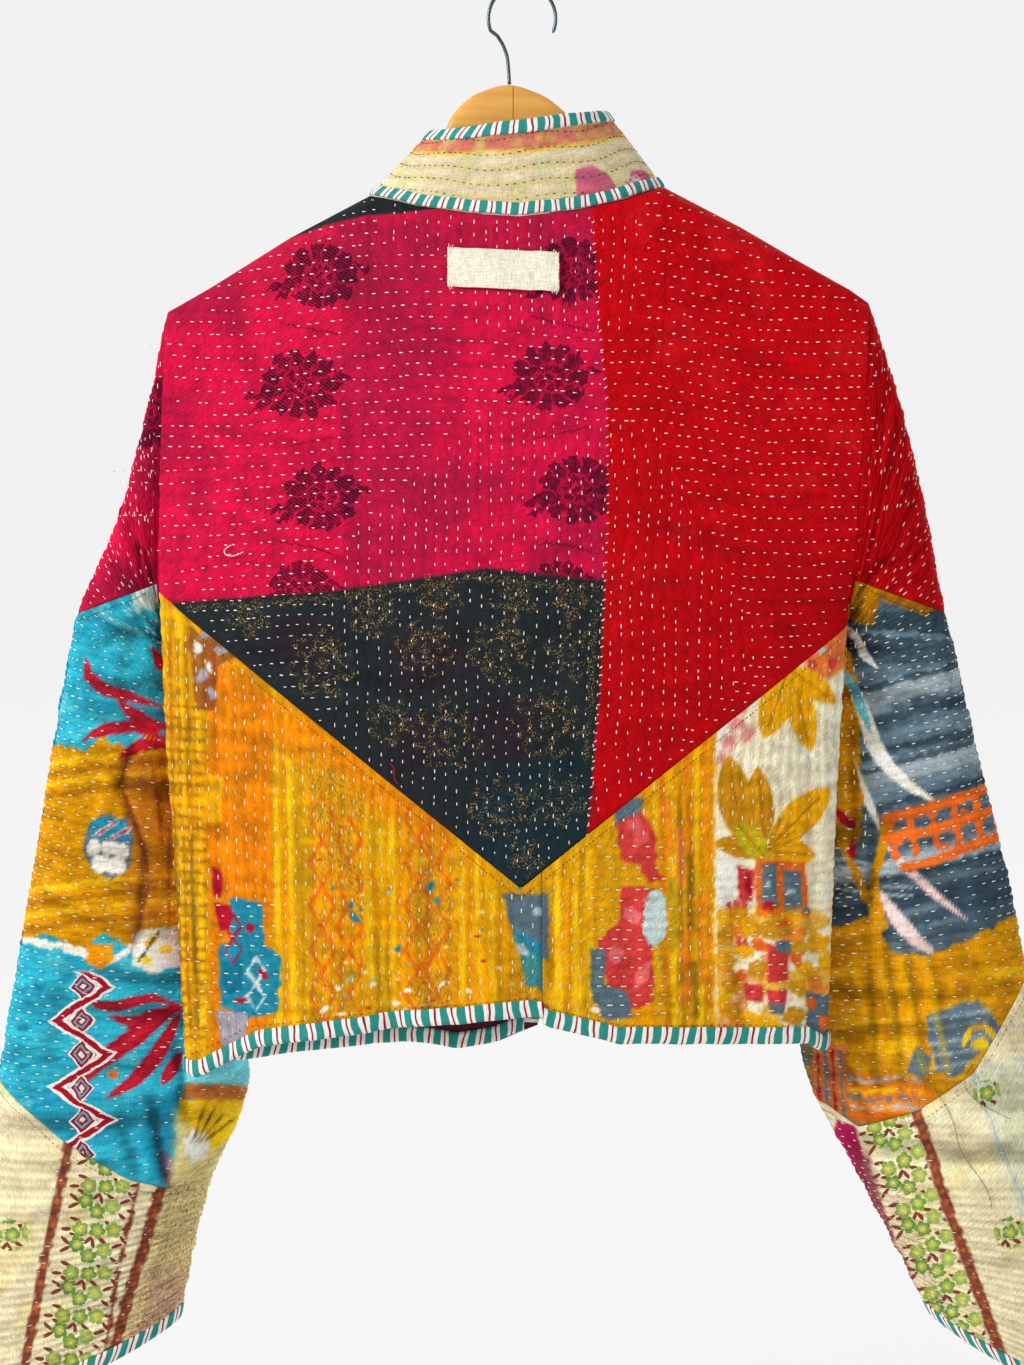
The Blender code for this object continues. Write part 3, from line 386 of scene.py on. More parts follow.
def body_normal(face, across, height):
    """The outward direction of the body's surface."""
    top = top_height(face, across)
    right = body_point(face, np.maximum(across - 0.004, -1), height)
    left = body_point(face, np.minimum(across + 0.004, 1), height)
    low = body_point(face, across, height - 1)
    high = body_point(face, across, np.minimum(height + 1, top))
    return unit(face * np.cross(high - low, left - right))


def sleeve_ring(side, along, angle):
    """A point of the plain ring. The angle is 0 at the outer edge and pi at the underarm edge."""
    rings = SLEEVE[side]
    row = {name: smooth(along, rings["along"], values) for name, values in rings.items()}
    outer = np.stack([row["outer_x"], row["outer_y"], row["outer_z"]], axis=-1)
    inner = np.stack([row["inner_x"], row["inner_y"], row["inner_z"]], axis=-1)
    arm = (outer - inner) / 2
    across = unit(arm)
    back = unit(np.array([0.0, 1.0, 0.0]) - across * across[..., 1:2])
    depth = np.where(np.sin(angle) > 0, row["back"], row["front"])
    sideways, deep = np.cos(angle)[..., None], (depth * np.sin(angle))[..., None]
    return (outer + inner) / 2 + arm * sideways + back * deep


def armhole_point(side, angle):
    """The body's armhole edge, one seam gap further out."""
    tip = SHOULDER_TIP[side]
    height = (tip + UNDERARM) / 2 + np.cos(angle) * (tip - UNDERARM) / 2
    behind = body_point(BACK, float(side), height)
    before = body_point(FRONT, float(side), height)
    point = np.where(np.sin(angle)[..., None] > 0, behind, before)
    ends = np.abs(np.sin(angle))[..., None] < 1e-6
    point = np.where(ends, point * np.array([1, 0, 1]), point)
    return point + np.array([side * SEAM_GAP, 0, 0])


def sleeve_point(side, along, angle):
    """A point of the sleeve's outer surface."""
    along, angle = np.broadcast_arrays(np.asarray(along, float), np.asarray(angle, float))
    start = armhole_point(side, angle) - sleeve_ring(side, np.zeros(along.shape), angle)
    return sleeve_ring(side, along, angle) + start * (1 - step(along, 0, ARMHOLE_REACH))[..., None]


def sleeve_normal(side, along, angle):
    """The outward direction of the sleeve's surface."""
    near = sleeve_point(side, np.maximum(along - 2, 0), angle)
    far = sleeve_point(side, np.minimum(along + 2, SLEEVE_LENGTH), angle)
    before = sleeve_point(side, along, angle - 0.05)
    after = sleeve_point(side, along, angle + 0.05)
    return unit(side * np.cross(far - near, after - before))


def seam_along(side, seam, angle):
    """How far down the sleeve a patch seam lies at each angle, by halving."""
    low = np.full(angle.shape, SHORTEST_UPPER_SLEEVE)
    high = np.full(angle.shape, SLEEVE_LENGTH - SHORTEST_LOWER_SLEEVE)
    for _ in range(24):
        middle = (low + high) / 2
        point = sleeve_point(side, middle, angle)
        above = point[..., 2] > height_at(seam, point[..., 0])
        low = np.where(above, middle, low)
        high = np.where(above, high, middle)
    return low


def collar_point(angle, share):
    """A point of the collar, at an angle around the neck and a share of the way up."""
    face = np.where(np.cos(angle) > 0, BACK, FRONT)
    x = NECK["middle"] + NECK["half_width"] * np.sin(angle)
    height = np.where(face == BACK, *(height_at(TOP_LINE[one], x) for one in (BACK, FRONT)))
    foot_depth = np.where(face == BACK, NECK[BACK], NECK[FRONT])
    head_depth = np.where(face == BACK, COLLAR_TOP_DEPTH[BACK], COLLAR_TOP_DEPTH[FRONT])
    foot = np.stack([x, foot_depth * np.cos(angle), height], axis=-1)
    head_x = COLLAR_TOP_MIDDLE + COLLAR_TOP_HALF_WIDTH * np.sin(angle)
    head_height = smooth(np.degrees(angle), COLLAR_TOP["angle"], COLLAR_TOP["height"])
    head = np.stack([head_x, head_depth * np.cos(angle), head_height], axis=-1)
    start = unit(head - foot) * 0.5
    away = np.stack([np.sin(angle), np.cos(angle), 0 * angle], axis=-1)
    share = share[..., None]
    return (foot + start) * (1 - share) + head * share + away * 0.6 * np.sin(np.pi * share)


def collar_normal(angle, share):
    turn = np.radians(2)
    right = collar_point(angle - turn, share)
    left = collar_point(angle + turn, share)
    low = collar_point(angle, share - 0.02)
    high = collar_point(angle, share + 0.02)
    return unit(np.cross(high - low, left - right))


# Numbers that vary from place to place


def lattice(i, j, seed):
    """A steady number from 0 to 1 for each whole place."""
    i, j = i.astype(np.int64), j.astype(np.int64)
    mixed = (i * 374761393 + j * 668265263 + seed * 974711) & 0xFFFFFFFF
    mixed = ((mixed ^ (mixed >> 13)) * 1274126177) & 0xFFFFFFFF
    return ((mixed ^ (mixed >> 16)) & 0xFFFF) / 65535.0


def noise(x, y, seed=0):
    """Smooth noise from 0 to 1, with one bump a unit."""
    x, y = np.broadcast_arrays(np.asarray(x, float), np.asarray(y, float))
    i, j = np.floor(x), np.floor(y)
    s, t = x - i, y - j
    s, t = s * s * (3 - 2 * s), t * t * (3 - 2 * t)
    low = lattice(i, j, seed) * (1 - s) + lattice(i + 1, j, seed) * s
    high = lattice(i, j + 1, seed) * (1 - s) + lattice(i + 1, j + 1, seed) * s
    return low * (1 - t) + high * t


def clouds(x, y, seed, octaves=3):
    """Noise with finer noise on it."""
    sizes = [0.5**k for k in range(octaves)]
    return sum(noise(x * 2**k, y * 2**k, seed + 7 * k) * s for k, s in enumerate(sizes)) / sum(sizes)


def photo_place(points):
    """Where points show in the photo's frame, px to the right and py down."""
    rise = math.cos(CAMERA_TILT), math.sin(CAMERA_TILT)
    dx, dy, dz = (points[..., k] - CAMERA_PLACE[k] for k in range(3))
    ahead = -dy * rise[0] - dz * rise[1]
    up = -dy * rise[1] + dz * rise[0]
    focal = LENS / SENSOR * PHOTO_SIZE[1]
    return PHOTO_SIZE[0] / 2 - focal * dx / ahead, PHOTO_SIZE[1] / 2 - focal * up / ahead


# Meshes


def make_mesh(name, points, polygons, material_numbers, materials):
    """An object from points in millimetres and arrays of polygons, one array for each size."""
    loops = np.concatenate([p.reshape(-1) for p in polygons])
    totals = np.concatenate([np.full(len(p), p.shape[1]) for p in polygons])
    numbers = np.concatenate([np.full(len(p), n) for p, n in zip(polygons, material_numbers)])
    mesh = bpy.data.meshes.new(name)
    mesh.vertices.add(len(points))
    mesh.loops.add(len(loops))
    mesh.polygons.add(len(totals))
    mesh.vertices.foreach_set("co", (points * MM).astype(np.float32).ravel())
    mesh.loops.foreach_set("vertex_index", loops.astype(np.int32))
    starts = np.concatenate([[0], np.cumsum(totals)[:-1]])
    mesh.polygons.foreach_set("loop_start", starts.astype(np.int32))
    mesh.polygons.foreach_set("material_index", numbers.astype(np.int32))
    for material in materials:
        mesh.materials.append(material)
    mesh.update(calc_edges=True)
    mesh.shade_smooth()
    made = bpy.data.objects.new(name, mesh)
    bpy.context.collection.objects.link(made)
    return made


def attach_places(made, spots):
    attach(made, "cloth", np.concatenate([spots, np.zeros((len(spots), 1))], axis=1))


def attach(made, name, values):
    """A colour or a place on the cloth, kept at each point of a mesh for its material."""
    kind, field = ("FLOAT_COLOR", "color") if values.shape[1] == 4 else ("FLOAT_VECTOR", "vector")
    attribute = made.data.attributes.new(name, kind, "POINT")
    attribute.data.foreach_set(field, values.astype(np.float32).ravel())


def numbered(rows, columns, around, start=0):
    """The numbers of a grid's points. A ring's first column comes again at its end."""
    numbers = start + np.arange(rows * columns).reshape(rows, columns)
    return np.concatenate([numbers, numbers[:, :1]], axis=1) if around else numbers


def quads_of(numbers):
    """The quads between the points of a grid."""
    corners = [numbers[:-1, :-1], numbers[:-1, 1:], numbers[1:, 1:], numbers[1:, :-1]]
    return np.stack(corners, axis=-1).reshape(-1, 4)


def rim(outer, inner, picked, turned):
    """Polygons from an edge's outer points to its fewer inner ones, at the picked places."""
    polygons = []
    for k, (first, final) in enumerate(zip(picked, picked[1:])):
        edge, back = list(outer[first : final + 1]), [inner[k + 1], inner[k]]
        polygons.append(edge[::-1] + back[::-1] if turned else edge + back)
    return polygons


def lowest_near(values, reach):
    """The lowest number around each place of a grid, up to so many places away."""
    for axis in (0, 1):
        padding = [(0, 0), (0, 0)]
        padding[axis] = (reach, reach)
        padded = np.pad(values, padding, mode="edge")
        places = np.arange(values.shape[axis])
        values = np.min([np.take(padded, places + k, axis=axis) for k in range(2 * reach + 1)], axis=0)
    return values


def shell(
    name, outer, normals, spots, tint, materials, around=False, stride=5, thick=CLOTH, relief=None
):
    """A closed cloth: a dense outer face, a coarser inner face and a rim between them.

    spots are each outer point's place on the cloth, across and along. tint holds its dye and marks.
    The inner face lies under the deepest crease nearby, where the relief is given.
    """
    if relief is not None:
        thick = (thick + relief - lowest_near(relief, stride))[..., None]
    rows, columns = outer.shape[:2]
    picked_rows = np.unique(np.append(np.arange(0, rows, stride), rows - 1))
    picked_columns = np.arange(0, columns, stride)
    if not around:
        picked_columns = np.unique(np.append(picked_columns, columns - 1))
    pick = np.ix_(picked_rows, picked_columns)
    inner = (outer - normals * thick)[pick]
    numbers = numbered(rows, columns, around)
    behind = numbered(*inner.shape[:2], around, rows * columns)
    if around:
        picked_columns = np.append(picked_columns, columns)
    rims = rim(numbers[0], behind[0], picked_columns, True)
    rims += rim(numbers[-1], behind[-1], picked_columns, False)
    if not around:
        rims += rim(numbers[:, 0], behind[:, 0], picked_rows, False)
        rims += rim(numbers[:, -1], behind[:, -1], picked_rows, True)
    sizes = sorted({len(r) for r in rims})
    rims = [np.array([r for r in rims if len(r) == size]) for size in sizes]
    polygons = [quads_of(numbers), quads_of(behind)[:, ::-1], *rims]
    points = np.concatenate([outer.reshape(-1, 3), inner.reshape(-1, 3)])
    made = make_mesh(name, points, polygons, [0, 1] + [0] * len(rims), materials)
    attach_places(made, np.concatenate([spots.reshape(-1, 2), spots[pick].reshape(-1, 2)]))
    dyes = np.concatenate([tint.reshape(-1, 9), tint[pick].reshape(-1, 9)])
    attach(made, "tint", np.concatenate([linear(dyes[:, :3]), np.ones((len(dyes), 1))], axis=1))
    attach(made, "marks", dyes[:, 3:6])
    attach(made, "chart", dyes[:, 6:])
    return made


def linear(colour):
    """Colours from 0 to 255, as a screen shows them, made linear."""
    share = np.clip(np.asarray(colour, float) / 255, 0, 1)
    return np.where(share <= 0.04045, share / 12.92, ((share + 0.055) / 1.055) ** 2.4)


def strip(name, sections, spots, material):
    """An open strip of thin cloth through sections of points, such as a binding."""
    quads = quads_of(numbered(*sections.shape[:2], False))
    made = make_mesh(name, sections.reshape(-1, 3), [quads], [0], [material])
    attach_places(made, spots.reshape(-1, 2))
    return made


def rod(name, sections, material, node):
    """A closed rod through rings of points, in its CAD node's place."""
    numbers = numbered(*sections.shape[:2], True)
    ends = [numbers[:1, -2::-1], numbers[-1:, :-1]]
    made = make_mesh(name, sections.reshape(-1, 3), [quads_of(numbers), *ends], [0, 0, 0], [material])
    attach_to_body(made, "root")
    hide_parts(node)


# A stitch's points: shares of its length and width, and how far it rises in widths
STITCH = table(
    ("along", "aside", "rise"),
    [
        (-0.5, 0.0, -0.3), (-0.3, -0.5, 0.05), (-0.3, 0.0, 0.5), (-0.3, 0.5, 0.05),
        (0.3, -0.5, 0.05), (0.3, 0.0, 0.5), (0.3, 0.5, 0.05), (0.5, 0.0, -0.3),
    ],
)
STITCH_LIFT = 0.08
STITCH_SIDES = np.array([(1, 2, 5, 4), (2, 3, 6, 5)])
STITCH_ENDS = np.array([(0, 2, 1), (0, 3, 2), (4, 5, 7), (5, 6, 7)])


def stitches(name, centres, directions, normals, length, width, material):
    """Short runs of thread that rise from the cloth and go back into it."""
    sides = np.cross(directions, normals)
    centres = centres + normals * STITCH_LIFT
    along = STITCH["along"][None, :, None] * length[:, None, None]
    aside = STITCH["aside"][None, :, None] * width[:, None, None]
    rise = STITCH["rise"][None, :, None] * width[:, None, None]
    points = centres[:, None] + directions[:, None] * along + sides[:, None] * aside
    points = points + normals[:, None] * rise
    block = points.shape[1]
    first = block * np.arange(len(centres))[:, None, None]
    faces = [(one[None] + first).reshape(-1, one.shape[1]) for one in (STITCH_SIDES, STITCH_ENDS)]
    made = make_mesh(name, points.reshape(-1, 3), faces, [0, 0], [material])
    number = np.arange(len(centres))
    shade = np.repeat(lattice(number, number * 3, 5), block)
    attach(made, "cloth", np.stack([shade, shade, shade], axis=1))
    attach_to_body(made, "root")


# Materials


class Value:
    """A number that a material works out at each point, for use in sums and comparisons."""

    def __init__(self, nodes, socket):
        self.nodes, self.socket = nodes, socket

    def __add__(self, other):
        return self.nodes.maths("ADD", self, other)

    def __sub__(self, other):
        return self.nodes.maths("SUBTRACT", self, other)

    def __mul__(self, other):
        return self.nodes.maths("MULTIPLY", self, other)

    def __gt__(self, other):
        return self.nodes.maths("GREATER_THAN", self, other)

    def __lt__(self, other):
        return self.nodes.maths("LESS_THAN", self, other)

    def __abs__(self):
        return self.nodes.maths("ABSOLUTE", self)

    def root(self):
        return self.nodes.maths("SQRT", self)

    def scaled(self, factor, term):
        """This number times a factor, plus a term."""
        return self.nodes.maths("MULTIPLY_ADD", self, factor, term)

    def spread(self, low, high):
        """A number from 0 to 1 spread over low to high."""
        return self.scaled(high - low, low)


class Nodes:
    """A material's nodes, made and joined with short calls."""

    def __init__(self, name, roughness, gloss=0.08):
        self.material = bpy.data.materials.new(name)
        self.material.use_nodes = True
        self.tree = self.material.node_tree
        self.shader = self.tree.nodes["Principled BSDF"]
        self.shader.inputs["Roughness"].default_value = roughness
        self.shader.inputs["Specular IOR Level"].default_value = gloss

    def add(self, kind, **settings):
        """A node with its settings, and its inputs by name, as values or as other nodes' outputs."""
        node = self.tree.nodes.new(kind)
        inputs = settings.pop("inputs", {})
        for key, value in settings.items():
            setattr(node, key, value)
        for key, value in inputs.items():
            self.join(value, node.inputs[key])
        return node

    def join(self, value, socket):
        value = getattr(value, "socket", value)
        if isinstance(value, bpy.types.NodeSocket):
            self.tree.links.new(value, socket)
        else:
            socket.default_value = value

    def maths(self, operation, first, second=0.0, third=0.0):
        node = self.add("ShaderNodeMath", operation=operation)
        for value, socket in zip((first, second, third), node.inputs):
            self.join(value, socket)
        return Value(self, node.outputs[0])

    def kept(self, name, output="Vector"):
        """What the mesh keeps at each point under that name."""
        return self.add("ShaderNodeAttribute", attribute_name=name).outputs[output]

    def place(self, scale=(1.0, 1.0, 1.0)):
        """The place on the cloth, in millimetres times a scale."""
        mapping = self.add("ShaderNodeMapping", inputs={"Vector": self.kept("cloth"), "Scale": scale})
        return mapping.outputs["Vector"]

    def object_place(self):
        return self.add("ShaderNodeTexCoord").outputs["Object"]

    def parts(self, vector):
        node = self.add("ShaderNodeSeparateXYZ", inputs={"Vector": vector})
        return [Value(self, output) for output in node.outputs]

    def noise(self, place, scale, detail=2.0):
        inputs = {"Vector": place, "Scale": scale, "Detail": detail}
        return Value(self, self.add("ShaderNodeTexNoise", inputs=inputs).outputs["Fac"])

    def dots(self, pitch, radius):
        """Scattered dots with that many millimetres to each. radius is a share of the pitch."""
        node = self.add("ShaderNodeTexVoronoi", inputs={"Vector": self.place(), "Scale": 1 / pitch})
        return Value(self, node.outputs["Distance"]) < radius

    def hatching(self, pitch):
        """Slanting lines of weave, from 0 to 1."""
        across, along, _ = self.parts(self.place())
        slant = self.noise(self.place(), 0.4, 1.0).scaled(1.6, along.scaled(0.8, across))
        return self.maths("SINE", slant * (2 * math.pi / pitch)).scaled(0.45, 0.5)

    def weave(self, thread):
        """Crossing threads, from 0 to 1, with that many millimetres to each."""
        across, along, _ = self.parts(self.place())
        turn = 2 * math.pi / thread
        return (self.maths("SINE", across * turn) * self.maths("SINE", along * turn)).scaled(0.5, 0.5)

    def plain(self, colour):
        node = self.add("ShaderNodeRGB")
        node.outputs[0].default_value = (*linear(colour), 1)
        return node.outputs[0]

    def ramp(self, share, stops, interpolation="LINEAR"):
        """Colours that follow one another, from (start, colour) pairs."""
        node = self.add("ShaderNodeValToRGB", inputs={"Fac": share})
        node.color_ramp.interpolation = interpolation
        while len(node.color_ramp.elements) < len(stops):
            node.color_ramp.elements.new(0.5)
        for element, (start, colour) in zip(node.color_ramp.elements, stops):
            element.position = start
            element.color = (*linear(colour), 1)
        return node.outputs["Color"]

    def mixed(self, share, colour, other):
        """A colour mixed with another by a share."""
        node = self.add("ShaderNodeMix", data_type="RGBA", clamp_factor=True)
        self.join(share, node.inputs["Factor"])
        self.join(colour, node.inputs[6])
        node.inputs[7].default_value = (*linear(other), 1)
        return node.outputs[2]

    def coloured(self, colour, share):
        """Gives the surface a colour, made lighter or darker by a share."""
        inputs = {0: colour, "Scale": share}
        tinted = self.add("ShaderNodeVectorMath", operation="SCALE", inputs=inputs)
        self.join(tinted.outputs["Vector"], self.shader.inputs["Base Color"])

    def bump(self, heights):
        """Bumps from (height, distance in metres) pairs, one on another."""
        normal = None
        for height, distance in heights:
            inputs = {"Height": height, "Distance": distance, "Strength": 1.0}
            if normal is not None:
                inputs["Normal"] = normal
            normal = self.add("ShaderNodeBump", inputs=inputs).outputs["Normal"]
        self.join(normal, self.shader.inputs["Normal"])


WOVEN_DYE, GOLD_DYE, DASH_DYE = (46, 8, 36), (186, 152, 82), (138, 56, 66)
SPECKLE_DYE, LEAF_DYE = (132, 128, 44), (134, 62, 46)
FLOWER_HEART, FLOWER_EYE = (204, 212, 122), (232, 206, 66)
# How close the cloth's wrinkles and thick threads lie, across and along, and its weave's pitch
PUCKER, SLUB, THREAD = (0.16, 0.5), (1.0, 0.12), 0.7
# Rings of a woven flower: petals, how far out they start and end, their lobes and gaps
WOVEN_RINGS = [(11, 18.0, 31.0, 8.5, 0.26), (8, 6.5, 13.0, 2.0, 0.3)]
# Leaves beside it: middle, radii and lean
WOVEN_LEAVES = [
    ((-44.0, 12.0), (11.0, 3.6), -14), ((-38.0, 21.0), (12.0, 3.4), -30),
    ((43.0, -8.0), (9.0, 3.4), 24),
]
# The zigzag of the left sleeve: its half repeat and its width, in the photo's pixels
ZIGZAG_STEP, ZIGZAG_WIDTH = 33.5, 52.0
ZIGZAG_WHITE, ZIGZAG_RED = (232, 228, 222), (164, 16, 40)
ZIGZAG_LINES = [(4.6, ZIGZAG_WHITE), (2.3, ZIGZAG_RED)]
ZIGZAG_DIAMONDS = [
    (14.5, ZIGZAG_WHITE), (12.5, ZIGZAG_RED), (9.0, (60, 170, 190)), (6.6, ZIGZAG_RED),
    (3.4, (222, 224, 222)),
]
TEAL, WHITE, RED = (46, 142, 134), (240, 238, 232), (166, 24, 44)
# Where each stripe of the binding starts, as a share of the repeat
BINDING_STRIPES = [(0.0, WHITE), (0.2, RED), (0.31, WHITE), (0.53, TEAL)]
STRIPE_LEAN = 0.12
WOOD_GRAIN = [(0.25, (212, 148, 66)), (0.75, (234, 178, 88))]
# The small flowers of the lower sleeves, in one repeat of their border
FLOWER_REPEAT = 44.0
FLOWER_MIDDLES = [(2.0, 11.0), (18.0, 7.0), (-15.0, 28.0), (12.0, 29.0), (-2.0, 37.0), (-15.0, 13.0)]
FLOWER_GREENS = [
    (122, 160, 64), (150, 178, 82), (104, 146, 60), (156, 182, 96), (116, 154, 68), (142, 170, 78),
]
FLOWER_LEAVES = table(
    ("u", "v", "long", "turn"),
    [
        (-13.0, 10.0, 6.0, 28.0), (-11.0, 17.0, 5.0, -40.0), (-27.0, 27.0, 6.0, 30.0),
        (-26.0, 35.0, 6.0, -36.0), (24.0, 22.0, 6.0, -30.0), (29.0, 15.0, 5.0, 40.0),
        (0.0, 24.0, 5.0, 70.0), (1.0, 40.0, 5.0, 20.0), (24.0, 37.0, 5.0, 30.0),
        (-22.0, 5.0, 5.5, 8.0), (-20.0, 20.0, 5.0, 14.0), (-5.0, 22.0, 5.0, -50.0),
        (9.0, 20.0, 5.0, 24.0), (30.0, 4.0, 5.0, -18.0), (32.0, 30.0, 5.0, 4.0),
        (-29.0, 16.0, 5.0, -10.0), (10.0, 1.0, 4.5, 60.0),
    ],
)


def cloth_material(name, print_on=None):
    """Worn woven cotton, with a print on it where one is given.

    The mesh's marks say where it is speckled, dotted with gold or printed in dashes.
    """
    made = Nodes(name, 0.88)
    tint = made.kept("tint", "Color")
    speckle, gold, dashes = made.parts(made.kept("marks"))
    specks = made.noise(made.place((1.0, 0.35, 1.0)), 1.0, 2.0) > 0.54
    tint = made.mixed(speckle * specks, tint, SPECKLE_DYE)
    tint = made.mixed(gold * made.dots(1.15, 0.33), tint, GOLD_DYE)
    printed = made.noise(made.place((0.5, 1.5, 1.0)), 0.7, 1.0) > 0.57
    tint = made.mixed(dashes * printed, tint, DASH_DYE)
    if print_on:
        tint = print_on(made, tint, *made.parts(made.kept("chart")))
    slubs = made.noise(made.place((*SLUB, 1.0)), 1.0, 3.0)
    cross = made.noise(made.place((*SLUB[::-1], 1.0)), 1.0, 3.0)
    fade = made.noise(made.place(), 0.03, 3.0)
    weave = made.weave(THREAD)
    share = slubs.spread(0.62, 1.38) * cross.spread(0.7, 1.3)
    made.coloured(tint, share * fade.spread(0.8, 1.2) * weave.spread(0.86, 1.12))
    wrinkles = made.noise(made.place((*PUCKER, 1.0)), 1.0, 2.0)
    fine = made.noise(made.place(), 0.9, 3.0)
    made.bump([(wrinkles, 0.0016), (fine, 0.0004), (weave, 0.0001)])
    return made.material


def wobbled(made, u, v, closeness, reach):
    """A place moved a little, as hand-made prints and weaving wander."""
    moved = []
    for k, value in enumerate((u, v)):
        drift = made.noise(made.place((1.0 + k, 1.4 - 0.3 * k, 1.0)), closeness, 2.0)
        moved.append(value + drift.spread(-reach, reach))
    return moved


def ellipse(u, v, middle, radii, turn):
    """How far out a place lies from an ellipse's middle: 1 on its edge."""
    c, s = math.cos(math.radians(turn)), math.sin(math.radians(turn))
    du, dv = u - middle[0], v - middle[1]
    long = dv.scaled(s / radii[0], du * (c / radii[0]))
    cross = dv.scaled(c / radii[1], du * (-s / radii[1]))
    return long * long + cross * cross


def woven_print(made, tint, u, v, share):
    """A flower head in hatched dark threads: two rings of petals and trailing leaves."""
    u, v = wobbled(made, u, v, 0.11, 9.0)
    across = ellipse(u, v, (0.0, 0.0), (1.0, 0.88), 0).root()
    turn = made.maths("ARCTAN2", v, u)
    dark = made.maths("MAXIMUM", across < 4.0, (across > 13.0) * (across < 31.0) * 0.35)
    for petals, inner, outer, lobe, gap in WOVEN_RINGS:
        wave = abs(made.maths("COSINE", turn * (petals / 2)))
        ring = (across > inner) * (across < wave.root().scaled(lobe, outer))
        dark = made.maths("MAXIMUM", dark, ring * (wave > gap))
    for middle, radii, lean in WOVEN_LEAVES:
        dark = made.maths("MAXIMUM", dark, ellipse(u, v, middle, radii, lean) < 1.0)
    hatched = dark * made.hatching(1.9).spread(0.45, 1.12)
    worn = hatched * made.noise(made.place(), 0.16, 2.0).spread(0.4, 1.5)
    return made.mixed(share * worn, tint, WOVEN_DYE)


def zigzag_print(made, tint, u, v, share):
    """Diamonds within diamonds down a column, with an outlined zigzag round them."""
    u, v = wobbled(made, u, v, 0.05, 5.0)
    down = v + 10 * ZIGZAG_STEP
    sway = made.maths("PINGPONG", down, ZIGZAG_STEP)
    middle = sway.scaled(-ZIGZAG_WIDTH / ZIGZAG_STEP, ZIGZAG_WIDTH / 2)
    away = abs(u - middle) * 0.46
    for reach, colour in ZIGZAG_LINES:
        tint = made.mixed(share * (away < reach), tint, colour)
    out = abs(u) + made.maths("PINGPONG", down, ZIGZAG_STEP / 2)
    for reach, colour in ZIGZAG_DIAMONDS:
        tint = made.mixed(share * (out < reach), tint, colour)
    return tint


def flower_print(made, tint, u, v, share):
    """Two staggered columns of small flowers with brown leaves. v repeats every FLOWER_REPEAT."""
    v = made.maths("WRAP", v, FLOWER_REPEAT, 0.0)
    for one in rows_of(FLOWER_LEAVES):
        reach = ellipse(u, v, (one["u"], one["v"]), (one["long"], 1.9), one["turn"])
        tint = made.mixed(share * (reach < 1.0), tint, LEAF_DYE)
    for k, (middle, green) in enumerate(zip(FLOWER_MIDDLES, FLOWER_GREENS)):
        turn = made.maths("ARCTAN2", v - middle[1], u - middle[0])
        petals = abs(made.maths("COSINE", turn.scaled(2.5, float(k)))).root()
        across = ellipse(u, v, middle, (1.0, 1.0), 0).root()
        tint = made.mixed(share * (across < petals.scaled(3.4, 5.0)), tint, green)
        tint = made.mixed(share * ((across < 4.4) * 0.5), tint, FLOWER_HEART)
        tint = made.mixed(share * (across < 2.0), tint, FLOWER_EYE)
    return tint


def lining_material(name, colour):
    made = Nodes(name, 0.9)
    fade = made.noise(made.place(), 0.05, 3.0)
    made.coloured(made.plain(colour), fade.spread(0.7, 1.3) * made.weave(0.8).spread(0.9, 1.1))
    made.bump([(made.noise(made.place((*PUCKER, 1.0)), 1.0), 0.0012)])
    return made.material


def thread_material(name, colour):
    """Cotton thread, each stitch a little lighter or darker."""
    made = Nodes(name, 0.7)
    shade = made.parts(made.place())[0]
    made.coloured(made.plain(colour), shade.spread(0.8, 1.08))
    made.bump([(made.noise(made.object_place(), 2500.0, 1.0), 0.0001)])
    return made.material


def binding_material(name, pitch):
    """Striped cotton tape whose stripes cross it with a slight lean."""
    made = Nodes(name, 0.82)
    along, across, _ = made.parts(made.place())
    wander = made.noise(made.place(), 0.05, 1.0)
    along = wander.scaled(pitch * 0.5, across.scaled(STRIPE_LEAN, along))
    share = made.maths("FRACT", made.maths("DIVIDE", along, pitch))
    fade = made.noise(made.place(), 0.25, 3.0)
    shade = fade.spread(0.82, 1.18) * made.weave(0.5).spread(0.9, 1.08)
    made.coloured(made.ramp(share, BINDING_STRIPES, "CONSTANT"), shade)
    made.bump([(made.noise(made.place((0.5, 0.12, 1.0)), 1.0), 0.0007), (made.weave(0.5), 0.00006)])
    return made.material


def wood_material(name):
    """Varnished light wood with its grain along the hanger and a glued joint at its middle."""
    made = Nodes(name, 0.32, 0.5)
    made.shader.inputs["Coat Weight"].default_value = 0.2
    place = made.object_place()
    lengthwise = made.add("ShaderNodeMapping", inputs={"Vector": place, "Scale": (5.0, 50.0, 80.0)})
    pucker_shade_and_glint = made.noise(lengthwise.outputs["Vector"], 3.0, 4.0)
    away = abs(made.parts(place)[0] - HANGER_CENTRE * MM)
    made.coloured(made.ramp(pucker_shade_and_glint, WOOD_GRAIN), (away > 0.0004).spread(0.45, 1.0))
    made.bump([(pucker_shade_and_glint, 0.00012)])
    return made.material


def steel_material(name):
    """Grey drawn wire with fine scratches."""
    made = Nodes(name, 0.3)
    made.shader.inputs["Metallic"].default_value = 1.0
    wear = made.noise(made.object_place(), 300.0, 3.0)
    made.coloured(made.plain((92, 104, 110)), wear.spread(0.6, 1.1))
    made.join(wear.spread(0.2, 0.5), made.shader.inputs["Roughness"])
    made.bump([(wear, 0.00004)])
    return made.material


# How the cloth swells between its quilting rows and creases


def puckered(phase, along, size, height, seed):
    """Cloth puffed between two rows of stitches, which lie at whole phases, in puffs of that size."""
    rise = (0.5 - 0.5 * np.cos(2 * np.pi * phase)) ** 0.8
    return height * rise * (0.4 + 1.2 * noise(along / size, 7.3 * np.floor(phase), seed))


def wander(x, y, size, seed):
    """A slow drift, from -0.5 to 0.5."""
    return noise(x / size, y / size, seed) - 0.5


